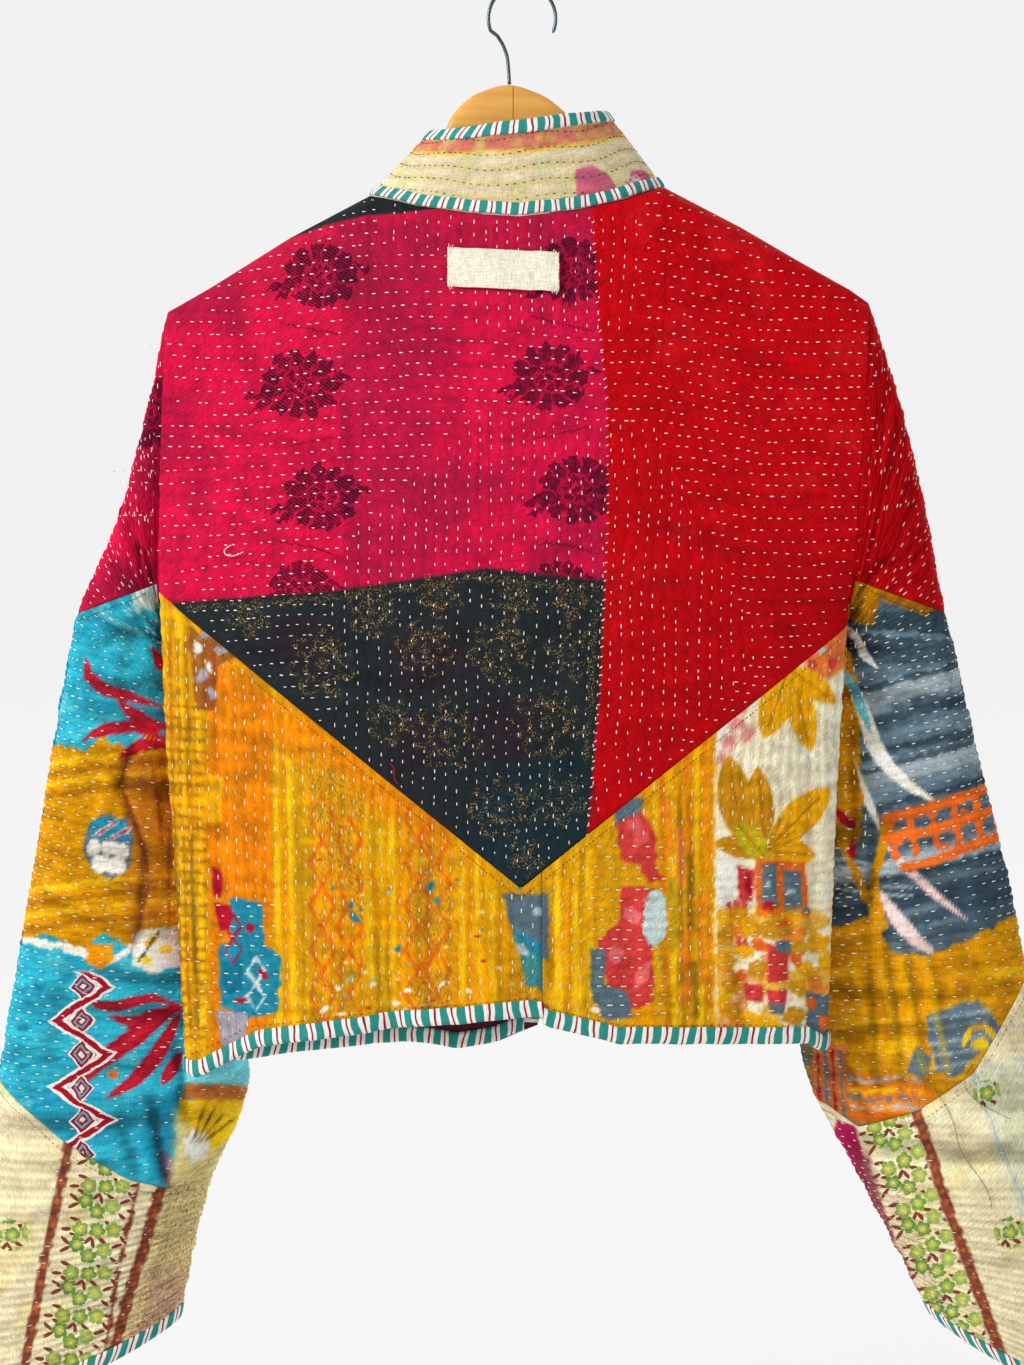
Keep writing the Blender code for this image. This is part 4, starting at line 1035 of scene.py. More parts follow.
def crumple(x, y, across, along, seed):
    """Uneven wrinkles from -0.5 to 0.5, with their usual size across and along."""
    return clouds(x / across, y / along, seed, 2) - 0.5


# The level rows of the upper back, which sag under the arms
ROW_SAG = table(
    ("x", "rise"), [(-233, -20), (-159, -18), (-86, 0), (-52, 0), (68, 4), (149, 0), (243, -9)]
)
# Where the upper back is stitched up and down instead, in the photo's frame
UPRIGHT_ROWS = [
    [(385, 150), (640, 150), (640, 330), (470, 330), (470, 250), (385, 250)],
    [(480, 410), (655, 430), (765, 650), (590, 840), (520, 900), (330, 730), (330, 560)],
]
# Where the lower back is stitched across instead
LEVEL_ROWS = [
    [(210, 900), (278, 900), (278, 1015), (210, 1015)],
    [(140, 955), (216, 955), (216, 1090), (140, 1090)],
    [(590, 838), (672, 838), (672, 1020), (590, 1020)],
    [(716, 825), (860, 825), (860, 1080), (716, 1080)],
]

# Creases: a line in the photo's frame, its depth (below 0 is a ridge) and half its width
BACK_CREASES = table(
    ("px", "py", "px_end", "py_end", "depth", "width"),
    [
        (215, 300, 300, 420, 1.6, 16), (262, 268, 372, 350, -1.2, 18),
        (190, 420, 330, 455, 1.2, 11), (180, 500, 300, 520, -1.0, 12),
        (345, 380, 350, 540, 1.0, 10), (690, 240, 800, 330, 1.4, 18), (730, 350, 850, 400, 1.3, 13),
        (640, 520, 780, 560, 1.1, 15), (420, 700, 470, 620, 1.2, 15),
        (560, 640, 600, 760, -1.2, 16), (180, 640, 420, 690, 1.1, 12),
        (200, 720, 330, 742, -1.1, 12), (170, 820, 300, 834, 1.0, 10),
        (300, 760, 310, 1040, 1.8, 12), (228, 680, 236, 1050, -1.4, 12),
        (360, 820, 370, 1030, -1.4, 14), (430, 860, 425, 1030, 1.6, 12),
        (480, 900, 484, 1020, -1.2, 11), (548, 880, 545, 1010, 1.8, 9),
        (640, 870, 650, 1030, -1.4, 12), (690, 800, 702, 1040, 1.4, 12),
        (760, 760, 775, 1040, -1.5, 14), (730, 900, 740, 1040, 1.3, 9),
        (806, 700, 812, 1040, 1.3, 10), (590, 960, 720, 975, 0.8, 9),
    ],
)
# Creases of the fronts, by x and height
FRONT_CREASES = table(
    ("px", "py", "px_end", "py_end", "depth", "width"),
    [
        (150, -240, 60, -380, 1.6, 12), (-140, -230, -60, -350, 1.4, 12),
        (200, -420, 90, -470, 1.3, 9), (-190, -430, -80, -460, 1.2, 9),
        (110, -480, 96, -730, 1.8, 10), (-70, -500, -78, -720, -1.6, 10),
        (170, -520, 178, -735, -1.5, 10), (-150, -480, -158, -720, 1.6, 9),
        (40, -540, 48, -730, -1.3, 9),
    ],
)


def crease_relief(creases, x, y):
    """The sum of soft troughs and ridges along lines, deepest at their middles."""
    total = np.zeros(np.broadcast(x, y).shape)
    for i, one in enumerate(rows_of(creases)):
        dx, dy = one["px_end"] - one["px"], one["py_end"] - one["py"]
        length = math.hypot(dx, dy)
        along = ((x - one["px"]) * dx + (y - one["py"]) * dy) / length**2
        away = ((x - one["px"]) * dy - (y - one["py"]) * dx) / length
        away = away + one["width"] * 0.8 * (noise(along * 3, 0 * along, i) - 0.5)
        ends = step(along, -0.15, 0.35) * (1 - step(along, 0.65, 1.15))
        total -= one["depth"] * ends * np.exp(-((away / one["width"]) ** 2))
    return 1.3 * total


def areas_share(areas, px, py, soft):
    """1 inside any of the areas and 0 outside, with soft edges."""
    share = np.zeros(px.shape)
    for corners in areas:
        share = np.maximum(share, step(edge_distance(px, py, corners), -soft, soft))
    return share


def edge_distance(px, py, corners):
    """How far points lie inside a closed outline. It is below 0 outside."""
    corners = np.asarray(corners, float)
    inside = np.zeros(px.shape, bool)
    nearest = np.full(px.shape, np.inf)
    for (ax, ay), (bx, by) in zip(corners, np.roll(corners, -1, axis=0)):
        nearest = np.minimum(nearest, line_distance(px, py, ax, ay, bx, by))
        crosses = (ay > py) != (by > py)
        rise = by - ay if by != ay else 1e-9
        inside ^= crosses & (px < ax + (py - ay) * (bx - ax) / rise)
    return np.where(inside, nearest, -nearest)


def line_distance(px, py, ax, ay, bx, by):
    dx, dy = bx - ax, by - ay
    t = np.clip(((px - ax) * dx + (py - ay) * dy) / (dx * dx + dy * dy + 1e-9), 0, 1)
    return np.hypot(px - ax - t * dx, py - ay - t * dy)


def yoke_phases(x, height):
    """The level and the upright rows' phases."""
    sag = np.interp(x, ROW_SAG["x"], ROW_SAG["rise"])
    level = (height - sag) / YOKE_PITCH + 1.5 * wander(x, height, 85, 11)
    level = level + 0.5 * wander(x, height, 24, 17)
    upright = x / YOKE_PITCH + 1.3 * wander(x, height, 85, 12) + 0.5 * wander(x, height, 24, 18)
    return level, upright


def yoke_edge(x, height):
    """How far a place lies from the yoke's seams, neck and shoulders."""
    low = height - height_at(YOKE_LINE, x)
    high = height_at(TOP_LINE[BACK], x) - height
    return np.minimum(low * 0.8, high)


def yoke_relief(x, height):
    px, py = flat_photo_place(x, height)
    level, upright = yoke_phases(x, height)
    turned = areas_share(UPRIGHT_ROWS, px, py, 16)
    rows = puckered(level, x, 5.5, 0.32, 41) * (1 - turned)
    rows = rows + puckered(upright, height, 5.5, 0.3, 42) * turned
    wrinkles = 1.1 * crumple(x, height, 26, 11, 21) + 0.6 * crumple(x, height, 5, 5, 23)
    edge = yoke_edge(x, height)
    creases = crease_relief(BACK_CREASES, px, py) * step(edge, -4, 20)
    return (rows + wrinkles) * step(edge, 0, 7) + creases


def lower_phases(x, height):
    """The upright and the level rows' phases on the lower back."""
    upright = x / BACK_PITCH + 0.9 * wander(x, height, 80, 13) + 0.4 * wander(x, height, 22, 19)
    level = height / BACK_PITCH + 0.9 * wander(x, height, 70, 14) + 0.4 * wander(x, height, 22, 20)
    return upright, level


def lower_edge(side, x, height):
    """How far a place lies from the lower panel's seams and hem."""
    line = HEM_LINE[BACK, side]
    high = height_at(YOKE_LINE, x) - height
    low = height - height_at(line, x) - HEM_REACH
    centre = side * (x - x_at(CENTRE_BACK, height))
    return np.minimum(np.minimum(high * 0.8, low), centre)


def lower_relief(side, x, height):
    px, py = flat_photo_place(x, height)
    upright, level = lower_phases(x, height)
    turned = areas_share(LEVEL_ROWS, px, py, 5)
    one_way = puckered(upright, height, 5, 0.5, 43) + 1.5 * crumple(x, height, 24, 7, 24)
    other_way = puckered(level, x, 5, 0.5, 44) + 1.2 * crumple(x, height, 8, 22, 27)
    rows = one_way * (1 - turned) + other_way * turned + 0.8 * crumple(x, height, 6, 5, 25)
    fade = step(lower_edge(side, x, height), 0, 6)
    return rows * fade + crease_relief(BACK_CREASES, px, py)


def front_phase(x, height):
    return height / YOKE_PITCH + 0.7 * wander(x, height, 60, 15)


def front_relief(x, height):
    top = height_at(TOP_LINE[FRONT], x)
    hems = [height_at(HEM_LINE[FRONT, side], x) for side in (LEFT, RIGHT)]
    low = np.where(x > opening_x(height), *hems) + HEM_REACH
    opening = abs(x - opening_x(height)) - BINDING_WIDTH
    edge = np.minimum(np.minimum(top - height, height - low), opening)
    rows = puckered(front_phase(x, height), x, 6, 0.4, 45) + crumple(x, height, 24, 9, 26)
    return rows * step(edge, 0, 7) + crease_relief(FRONT_CREASES, x, height)


def flat_photo_place(x, height):
    """Where a place of the back shows in the photo's frame, by the body's smooth form."""
    return photo_place(body_point(BACK, across_at(x, height), height))


def sleeve_phase(side, along, angle):
    """The phase of the rows around a sleeve."""
    return along / SLEEVE_PITCH + 0.8 * (noise(along / 60, angle / 1.2, 31 + side) - 0.5)


# Creases of a sleeve: where along it and at what angle each starts and ends
SLEEVE_CREASES = {
    LEFT: table(
        ("along", "angle", "along_end", "angle_end", "depth", "width"),
        [
            (60, 2.9, 130, 1.2, 2.2, 10), (120, 3.0, 190, 1.0, -2.0, 12),
            (170, 2.8, 230, 0.7, 2.4, 11), (235, 3.0, 262, 0.9, 2.6, 9),
            (285, 2.9, 300, 0.6, -2.2, 10), (330, 2.7, 322, 0.9, 2.4, 9),
            (372, 3.0, 380, 0.8, 2.2, 10), (420, 2.6, 405, 0.5, -2.0, 10),
            (455, 3.0, 470, 1.2, 2.6, 10), (505, 2.7, 492, 0.6, 2.0, 9),
            (545, 3.0, 560, 1.0, -2.2, 12), (590, 2.5, 580, 0.4, 2.0, 9),
            (640, 2.8, 655, 0.9, 1.8, 10), (700, 2.6, 690, 0.7, -1.6, 12),
            (745, 2.2, 735, 0.8, 1.4, 9), (150, 5.8, 240, 3.9, 2.4, 12),
            (260, 5.6, 300, 3.6, -2.2, 12), (350, 5.7, 380, 3.8, 2.4, 11),
            (470, 5.6, 450, 3.7, 2.2, 11), (560, 5.8, 590, 4.0, -2.0, 12),
            (660, 5.6, 650, 3.9, 1.8, 11),
        ],
    ),
    RIGHT: table(
        ("along", "angle", "along_end", "angle_end", "depth", "width"),
        [
            (70, 2.8, 150, 1.3, 2.0, 11), (140, 3.0, 200, 0.9, -2.0, 12),
            (190, 2.7, 250, 1.0, 2.6, 10), (250, 3.0, 280, 0.7, 2.4, 10),
            (300, 2.6, 330, 0.9, -2.4, 10), (352, 3.0, 360, 0.6, 2.6, 10),
            (395, 2.7, 402, 1.0, 2.2, 9), (440, 3.0, 425, 0.7, -2.2, 11),
            (480, 2.8, 500, 1.0, 2.4, 10), (530, 2.9, 520, 0.6, 2.2, 9),
            (575, 2.7, 590, 0.9, -2.0, 11), (620, 3.0, 610, 0.7, 2.0, 10),
            (680, 2.6, 690, 0.9, 1.6, 11), (730, 2.8, 720, 1.0, -1.4, 11),
            (160, 5.7, 230, 3.8, 2.2, 12), (280, 5.6, 310, 3.7, -2.2, 12),
            (390, 5.8, 370, 3.9, 2.4, 11), (500, 5.6, 520, 3.8, 2.2, 11),
            (610, 5.7, 600, 3.9, -1.8, 12),
        ],
    ),
}

# Folds that run down a sleeve, in the photo's frame, as for the back's creases
SLEEVE_FOLDS = {
    LEFT: table(
        ("px", "py", "px_end", "py_end", "depth", "width"),
        [
            (133, 735, 121, 792, 1.5, 5), (120, 782, 147, 860, 1.6, 5),
            (148, 848, 135, 955, 1.6, 5), (161, 750, 167, 845, 1.2, 6),
            (108, 760, 98, 830, -1.4, 9), (152, 590, 120, 695, 1.6, 10),
            (82, 640, 70, 745, -1.3, 12), (62, 960, 50, 1090, 1.4, 12),
            (150, 1095, 167, 1190, 2.2, 6), (118, 1110, 140, 1185, 1.6, 8),
            (176, 1040, 186, 1125, 2.0, 6),
        ],
    ),
    RIGHT: table(
        ("px", "py", "px_end", "py_end", "depth", "width"),
        [
            (866, 940, 880, 1110, 1.2, 5), (884, 915, 903, 1095, 1.3, 5),
            (905, 930, 926, 1080, 1.2, 5), (928, 950, 950, 1040, 1.0, 6),
            (850, 690, 852, 870, 1.8, 7), (874, 825, 866, 935, 1.6, 6),
            (838, 1050, 872, 1125, 1.6, 6), (930, 635, 952, 785, -1.2, 14),
            (975, 635, 1001, 805, 1.2, 12), (960, 855, 986, 965, -1.2, 12),
        ],
    ),
}


def shown_angle(angle):
    """The angle on the half that the photo shows. The hidden half has the same dyes and folds."""
    turned = np.mod(angle, 2 * np.pi)
    return np.where(turned > np.pi, 2 * np.pi - turned, turned)


def sleeve_photo_place(side, along, angle):
    return photo_place(sleeve_point(side, along, shown_angle(angle)))


def sleeve_relief(side, along, angle):
    """Rows around the sleeve, crumpled crosswise, with creases that run down from the arm."""
    total = np.zeros(np.broadcast(along, angle).shape)
    for i, one in enumerate(rows_of(SLEEVE_CREASES[side])):
        t = (angle - one["angle"]) / (one["angle_end"] - one["angle"])
        middle = one["along"] + (one["along_end"] - one["along"]) * t
        middle = middle + 8 * (noise(angle * 2.2, 0 * angle, i + 40) - 0.5)
        ends = step(t, -0.2, 0.3) * (1 - step(t, 0.7, 1.2))
        total -= one["depth"] * ends * np.exp(-(((along - middle) / one["width"]) ** 2))
    around = angle * SLEEVE_RADIUS
    total = 1.4 * total * (1 - 0.65 * step(along, 600, 690))
    total = total + 2.4 * crumple(along, around, 14, 30, 33 + side)
    total = total + 1.3 * crumple(along, around, 7, 7, 35 + side)
    total = total + crease_relief(SLEEVE_FOLDS[side], *sleeve_photo_place(side, along, angle))
    rows = puckered(sleeve_phase(side, along, angle), around, 6, 0.7, 46)
    rows = rows * (1 + 0.5 * step(along, 600, 680)) * step(along, 2, 8)
    return rows + total * step(along, 4, 30) * step(SLEEVE_LENGTH - along, 6, 26)


def collar_relief(angle, share):
    """Level rows up the collar, with small puckers."""
    around = angle * COLLAR_RADIUS
    rows = puckered(share * COLLAR_ROWS + 0.15 * np.sin(angle * 7), around, 6, 0.35, 47)
    puckers = 0.6 * crumple(around, share * COLLAR_RADIUS, 10, 6, 37)
    return (rows + puckers) * step(share, 0.1, 0.2) * (1 - step(share, 0.84, 0.93))


# The cloth pieces


def even_places(face, first, last, count):
    """Places across the body at equal lengths along its section."""
    dense = np.linspace(first, last, 900)
    length = lengths_along(body_point(face, dense, MIDDLE_HEIGHT)[:, :2])
    return np.interp(np.linspace(0, length[-1], count), length, dense)


def cloth_spots(outer):
    """Each grid point's place on the cloth: lengths across and down it, in millimetres."""
    widths = np.linalg.norm(np.diff(outer, axis=1), axis=2).mean(axis=0)
    heights = np.linalg.norm(np.diff(outer, axis=0), axis=2)
    across = np.concatenate([[0], np.cumsum(widths)])
    down = np.concatenate([np.zeros((1, outer.shape[1])), np.cumsum(heights, axis=0)])
    return np.stack([across[None, :] + 0 * down, down], axis=-1)


def local_mean(values, reach):
    """The mean of the numbers around each place of a grid, up to so many places away."""
    for axis in (0, 1):
        padding = [(0, 0), (0, 0)]
        padding[axis] = (reach + 1, reach)
        sums = np.cumsum(np.pad(values, padding, mode="edge"), axis=axis)
        width = 2 * reach + 1
        high = np.take(sums, np.arange(width, sums.shape[axis]), axis=axis)
        low = np.take(sums, np.arange(0, sums.shape[axis] - width), axis=axis)
        values = (high - low) / width
    return values


def painted_relief_shade(dyes, relief):
    """Painted shade in the cloth's narrow hollows and painted highlight on its narrow ridges."""
    hollow = relief - local_mean(relief, 6)
    share = np.clip(1.0 + 0.22 * hollow / FULL_RELIEF, 0.72, 1.12)
    tint = np.clip(dyes[..., :3] * share[..., None], 0, 250)
    return np.concatenate([tint, dyes[..., 3:]], axis=-1)


def body_cloth(name, face, across, heights, relief, paint, materials):
    """A panel of the body over rows from its top to its lower edge."""
    across = across + 0 * heights
    smooth_form, normals = body_point(face, across, heights), body_normal(face, across, heights)
    x = smooth_form[..., 0]
    raised = relief(x, heights)
    outer = smooth_form + normals * raised[..., None]
    outer[..., 1] = face * np.maximum(face * outer[..., 1], SEAM_GAP / 2)
    # Painted shade in the relief's narrow hollows and painted highlight on its ridges
    colour = painted_relief_shade(paint(*flat_photo_place(x, heights)), raised)
    return shell(name, outer, normals, cloth_spots(smooth_form), colour, materials, relief=raised)


def panel_heights(top, low, rows, power=1.0):
    share = np.linspace(0, 1, rows)[:, None] ** power
    return top + (low - top) * share


def make_back(yoke_materials, materials):
    across = even_places(BACK, -1.0, 1.0, 332)
    x = x_at(across, MIDDLE_HEIGHT)
    seam = height_at(YOKE_LINE, x)
    heights = panel_heights(top_height(BACK, across), seam + SEAM_GAP / 2, 238, 1.25)
    ways = yoke_relief, paint_yoke, yoke_materials
    made = body_cloth("back_yoke_cloth", BACK, across, heights, *ways)
    declare(made, "back_yoke")
    for side, first, last, columns, paint in (
        (LEFT, CENTRE_BACK, 1.0, 205, paint_lower_left),
        (RIGHT, -1.0, CENTRE_BACK, 165, paint_lower_right),
    ):
        across = even_places(BACK, first, last, columns)
        across[across == CENTRE_BACK] += side * SEAM_GAP / 2 / BODY_HALF_WIDTH
        x = x_at(across, MIDDLE_HEIGHT)
        seam = height_at(YOKE_LINE, x)
        hem = height_at(HEM_LINE[BACK, side], x)
        heights = panel_heights(seam - SEAM_GAP / 2, hem, 180)
        node = "back_lower_" + dict(SIDES)[side]
        ways = partial(lower_relief, side), paint, materials
        made = body_cloth(node + "_cloth", BACK, across, heights, *ways)
        declare(made, node)


def front_grid(side, columns, rows):
    """Places across and heights of a front, from its opening to its side seam."""
    start = float(across_at(opening_x(MIDDLE_HEIGHT), MIDDLE_HEIGHT))
    places = even_places(FRONT, start, float(side), columns)
    share = (places - start) / (side - start)
    x = x_at(start + (side - start) * share, MIDDLE_HEIGHT)
    top_x = opening_x(OPENING_TOP[0]) + side * FRONT_EDGE_APART
    top_start = across_at(top_x, OPENING_TOP[0])
    low = height_at(HEM_LINE[FRONT, side], x)
    high = top_height(FRONT, top_start + (side - top_start) * share)
    heights = panel_heights(high, low, rows, 1.2)
    edge_x = opening_x(heights) + side * FRONT_EDGE_APART
    edge = across_at(edge_x, heights)
    return edge + (side - edge) * share, heights


def make_fronts(materials):
    for side, name in SIDES:
        node = "front_" + name
        across, heights = front_grid(side, 96, 190)
        if side == LEFT:
            across, heights = across[:, ::-1], heights[:, ::-1]
        paint = paint_front_left if side == LEFT else paint_front_right
        made = body_cloth(node + "_cloth", FRONT, across, heights, front_relief, paint, materials)
        declare(made, node)


def ring_angles(side, back, front):
    """Angles around a sleeve, closer over its back half, in the turn that faces the cloth outwards."""
    turns = [(2, 1, front), (1, 0, back)] if side == LEFT else [(0, 1, back), (1, 2, front)]
    halves = [np.pi * np.linspace(*turn, endpoint=False) for turn in turns]
    return np.concatenate(halves)


# How many rows of points each piece of a sleeve has
SLEEVE_ROWS = {
    LEFT: {"upper": 90, "middle": 236, "lower": 124}, RIGHT: {"upper": 90, "middle": 226, "lower": 134},
}


def make_sleeve(side, name, materials):
    angle = ring_angles(side, 134, 42)
    seams = [seam_along(side, seam, angle) for seam in SLEEVE_SEAMS[side]]
    ends = [np.zeros(len(angle)), seams[0], seams[1], np.full(len(angle), SLEEVE_LENGTH)]
    gap = SEAM_GAP / 2
    for k, (part, rows) in enumerate(SLEEVE_ROWS[side].items()):
        start = ends[k] + (gap if k else 0)
        stop = ends[k + 1] - (gap if k < 2 else 0)
        along = panel_heights(start, stop, rows)
        node = f"sleeve_{name}_{part}"
        made = sleeve_cloth(node, side, along, angle + 0 * along, ends[k : k + 2], materials[part])
        declare(made, node)


def sleeve_cloth(node, side, along, angle, ends, materials):
    smooth_form = sleeve_point(side, along, angle)
    normals = sleeve_normal(side, along, angle)
    seam_way = np.minimum(
        along - ends[0] if ends[0].any() else along + 20,
        ends[1] - along if np.ptp(ends[1]) else SLEEVE_LENGTH - along - HEM_REACH,
    )
    relief = sleeve_relief(side, along, angle)
    outer = smooth_form + normals * (relief * (0.35 + 0.65 * step(seam_way, 0, 6)))[..., None]
    # Painted shade in the relief's narrow hollows and painted highlight on its ridges
    colour = painted_relief_shade(SLEEVE_PAINTS[node](*sleeve_photo_place(side, along, angle)), relief)
    spots = cloth_spots(smooth_form)
    return shell(node + "_cloth", outer, normals, spots, colour, materials, around=True, relief=relief)


def make_collar(materials):
    angle = np.radians(np.linspace(*COLLAR_ENDS, 400))[None, :]
    share = np.linspace(1, 0, 46)[:, None] + 0 * angle
    angle = angle + 0 * share
    smooth_form, normals = collar_point(angle, share), collar_normal(angle, share)
    outer = smooth_form + normals * collar_relief(angle, share)[..., None]
    behind = np.where(np.cos(angle) > 0, angle, np.pi - angle)
    px, py = photo_place(collar_point(behind, share))
    # Painted shade in the relief's narrow hollows and painted highlight on its ridges
    colour = painted_relief_shade(paint_collar(px, py, angle, share), collar_relief(angle, share))
    made = shell("collar_cloth", outer, normals, cloth_spots(smooth_form), colour, materials, stride=4)
    declare(made, "collar")


# Bindings folded over the edges. Each point of the fold's section: how far in from the edge it
# lies, and how far out of the cloth. Below -CLOTH it is behind the cloth.
FOLD = table(
    ("inward", "out"),
    [
        (11.0, 0.15), (11.1, 1.2), (10.3, 1.65), (8.0, 1.8), (5.0, 1.95), (2.4, 1.85), (0.6, 1.5),
        (-0.8, 0.6), (-1.4, -0.5), (-1.35, -1.6), (-0.7, -2.7), (0.8, -3.35), (4.0, -3.6),
        (8.0, -3.45), (10.6, -3.2), (11.0, -2.2),
    ],
)
BAND = table(
    ("inward", "out"),
    [(0.3, 0.35), (0.4, 1.25), (1.4, 1.6), (4.2, 1.8), (7.0, 1.6), (8.0, 1.25), (8.1, 0.35)],
)


def binding(name, profile, edge, inside, edge_normal, inside_normal, width, material, flip=False):
    """A strip of tape along an edge, puckered where the thread pulls it."""
    along = lengths_along(edge)
    inward = unit(inside - edge)
    share = np.clip(profile["inward"] / width, 0, 1)[None, :, None]
    normal = unit(edge_normal[:, None] * (1 - share) + inside_normal[:, None] * share)
    scale = width / profile["inward"].max()
    puckers = 0.5 * (noise(along[:, None] / 3.2, profile["inward"][None, :] / 7, 51) - 0.5)
    sway = 0.9 * (noise(along / 14, 0 * along, 52) - 0.5)
    reach = profile["inward"][None, :] * scale + sway[:, None]
    swollen = np.where(profile["out"] > 0.8, 1, 0)[None, :] * puckers
    out = profile["out"][None, :] + swollen
    sections = edge[:, None] + inward[:, None] * reach[..., None] + normal * out[..., None]
    around = lengths_along(np.stack([profile["inward"], profile["out"]], axis=1))
    spots = np.stack([along[:, None] + 0 * out, around[None, :] + 0 * out], axis=-1)
    if flip:
        sections, spots = sections[:, ::-1], spots[:, ::-1]
    return strip(name, sections, spots, material)


def body_edge(face, across, heights, inward_across, inward_height):
    """An edge of the body and the line a binding's width in from it, with their normals."""
    outer = face, across, heights
    inner = face, across + inward_across, heights + inward_height
    return body_point(*outer), body_point(*inner), body_normal(*outer), body_normal(*inner)


def make_hem_bindings(material):
    foot, foot_x = OPENING_FOOT
    for (face, side), line in HEM_LINE.items():
        middle = CENTRE_BACK
        if face == FRONT:
            middle = float(across_at(foot_x + side * (BINDING_WIDTH + 1), foot))
        across = even_places(face, middle, float(side), 170)
        heights = height_at(line, x_at(across, MIDDLE_HEIGHT))
        lines = body_edge(face, across, heights, 0, BINDING_WIDTH)
        node = f"hem_binding_{'back' if face == BACK else 'front'}_{dict(SIDES)[side]}"
        made = binding(node + "_cloth", FOLD, *lines, BINDING_WIDTH, material, face * side < 0)
        declare(made, node)


def make_front_edge_bindings(material):
    for side, name in SIDES:
        hem = height_at(HEM_LINE[FRONT, side], OPENING_FOOT[1])
        heights = np.linspace(OPENING_TOP[0], hem, 300)
        across = across_at(opening_x(heights) + side * FRONT_EDGE_APART, heights)
        lines = body_edge(FRONT, across, heights, side * BINDING_WIDTH / BODY_HALF_WIDTH, 0)
        node = "front_edge_binding_" + name
        made = binding(node + "_cloth", FOLD, *lines, BINDING_WIDTH, material, side == RIGHT)
        declare(made, node)


def make_cuff_bindings(material):
    angle = np.linspace(0, 2 * np.pi, 261)
    ends = SLEEVE_LENGTH + 0 * angle, SLEEVE_LENGTH - BINDING_WIDTH + 0 * angle
    for side, name in SIDES:
        lines = [sleeve_point(side, end, angle) for end in ends]
        normals = [sleeve_normal(side, end, angle) for end in ends]
        node = "cuff_binding_" + name
        made = binding(node + "_cloth", FOLD, *lines, *normals, BINDING_WIDTH, material, side == RIGHT)
        declare(made, node)


def make_collar_bindings(material):
    angle = np.radians(np.linspace(*COLLAR_ENDS, 420))
    ends = collar_point(angle, 0 * angle), collar_point(angle, 1 + 0 * angle)
    tall = np.linalg.norm(ends[1] - ends[0], axis=-1)
    width = COLLAR_BINDING_WIDTH
    for node, profile, shares, flip in (
        ("collar_top_binding", FOLD, (1 + 0 * angle, 1 - width / tall), False),
        ("collar_seam_binding", BAND, (0 * angle, width / tall), True),
    ):
        lines = [collar_point(angle, share) for share in shares]
        normals = [collar_normal(angle, share) for share in shares]
        made = binding(node + "_cloth", profile, *lines, *normals, width, material, flip)
        declare(made, node)


def make_label(material):
    """The blank label, its ends a little frayed and its corners pulled down."""
    u, v = np.meshgrid(np.linspace(0.5, -0.5, 100), np.linspace(0.5, -0.5, 36), indexing="xy")
    ragged = 0.5 * (noise(v * 22, 0 * v, 61) - 0.5) * np.sign(u) * step(abs(u), 0.44, 0.5)
    x = LABEL["x"] + u * LABEL["width"] + ragged
    height = LABEL["height"] + v * LABEL["tall"] + (x - LABEL["x"]) * LABEL["slope"]
    height = height + 0.5 * (noise(u * 9, 0 * u, 62) - 0.5)
    across = across_at(x, height)
    lift = 2.6 + 0.9 * (noise(u * 6, v * 3, 63) - 0.3) * (1 - (2 * u) ** 6)
    lift = lift + 0.3 * np.exp(-((v * 6) ** 2))
    corners = np.exp(-(((abs(u) - 0.47) / 0.03) ** 2) - ((abs(v) - 0.42) / 0.08) ** 2)
    normals = body_normal(BACK, across, height)
    outer = body_point(BACK, across, height) + normals * (lift - 0.6 * corners)[..., None]
    tint = np.zeros((*u.shape, 9))
    tint[..., :3] = LABEL_DYE
    grids = [grid[:, ::-1] for grid in (outer, normals, np.stack([x, height], axis=-1))]
    made = shell("label_cloth", *grids, tint, [material, material], stride=4, thick=0.5)
    declare(made, "label")


def make_hanger(material):
    tips = HANGER_CENTRE - HANGER_HALF_SPAN, HANGER_CENTRE + HANGER_HALF_SPAN
    neck = HANGER_DOME["x"]
    bend = np.linspace(0, 0.5 * np.pi, 40)
    right = tips[0] + (neck[0] - tips[0]) * (1 - np.cos(bend))
    left = tips[1] - (tips[1] - neck[-1]) * (1 - np.cos(bend))
    x = np.concatenate([right[:-1], np.linspace(neck[0], neck[-1], 160), left[:-1][::-1]])
    shoulder = height_at(TOP_LINE[BACK], x) - 2.0 - HANGER_CLEARANCE
    dome = smooth(x, neck, HANGER_DOME["height"])
    inside = (x >= neck[0]) & (x <= neck[-1])
    top = np.where(inside, dome, shoulder)
    reach = abs(x - HANGER_CENTRE) / HANGER_HALF_SPAN
    tall = HANGER_TALL["middle"] + (HANGER_TALL["tip"] - HANGER_TALL["middle"]) * step(reach, 0, 0.75)
    tall = tall * np.sqrt(np.clip(1 - step(reach, 0.94, 1.02) ** 2, 0.05, 1))
    change = HANGER_THICKNESS["tip"] - HANGER_THICKNESS["middle"]
    thick = HANGER_THICKNESS["middle"] + change * step(reach, 0.7, 1)
    turn = np.linspace(0, 2 * np.pi, 40, endpoint=False)
    c, s = np.cos(turn), np.sin(turn)
    y = thick[:, None] / 2 * np.sign(c) * abs(c) ** 0.7
    z = top[:, None] - tall[:, None] * (1 - np.sign(s) * abs(s) ** 0.8) / 2
    sections = np.stack([x[:, None] + 0 * turn, y, z], axis=-1)
    rod("hanger_wood_body", sections, material, "hanger_wood")


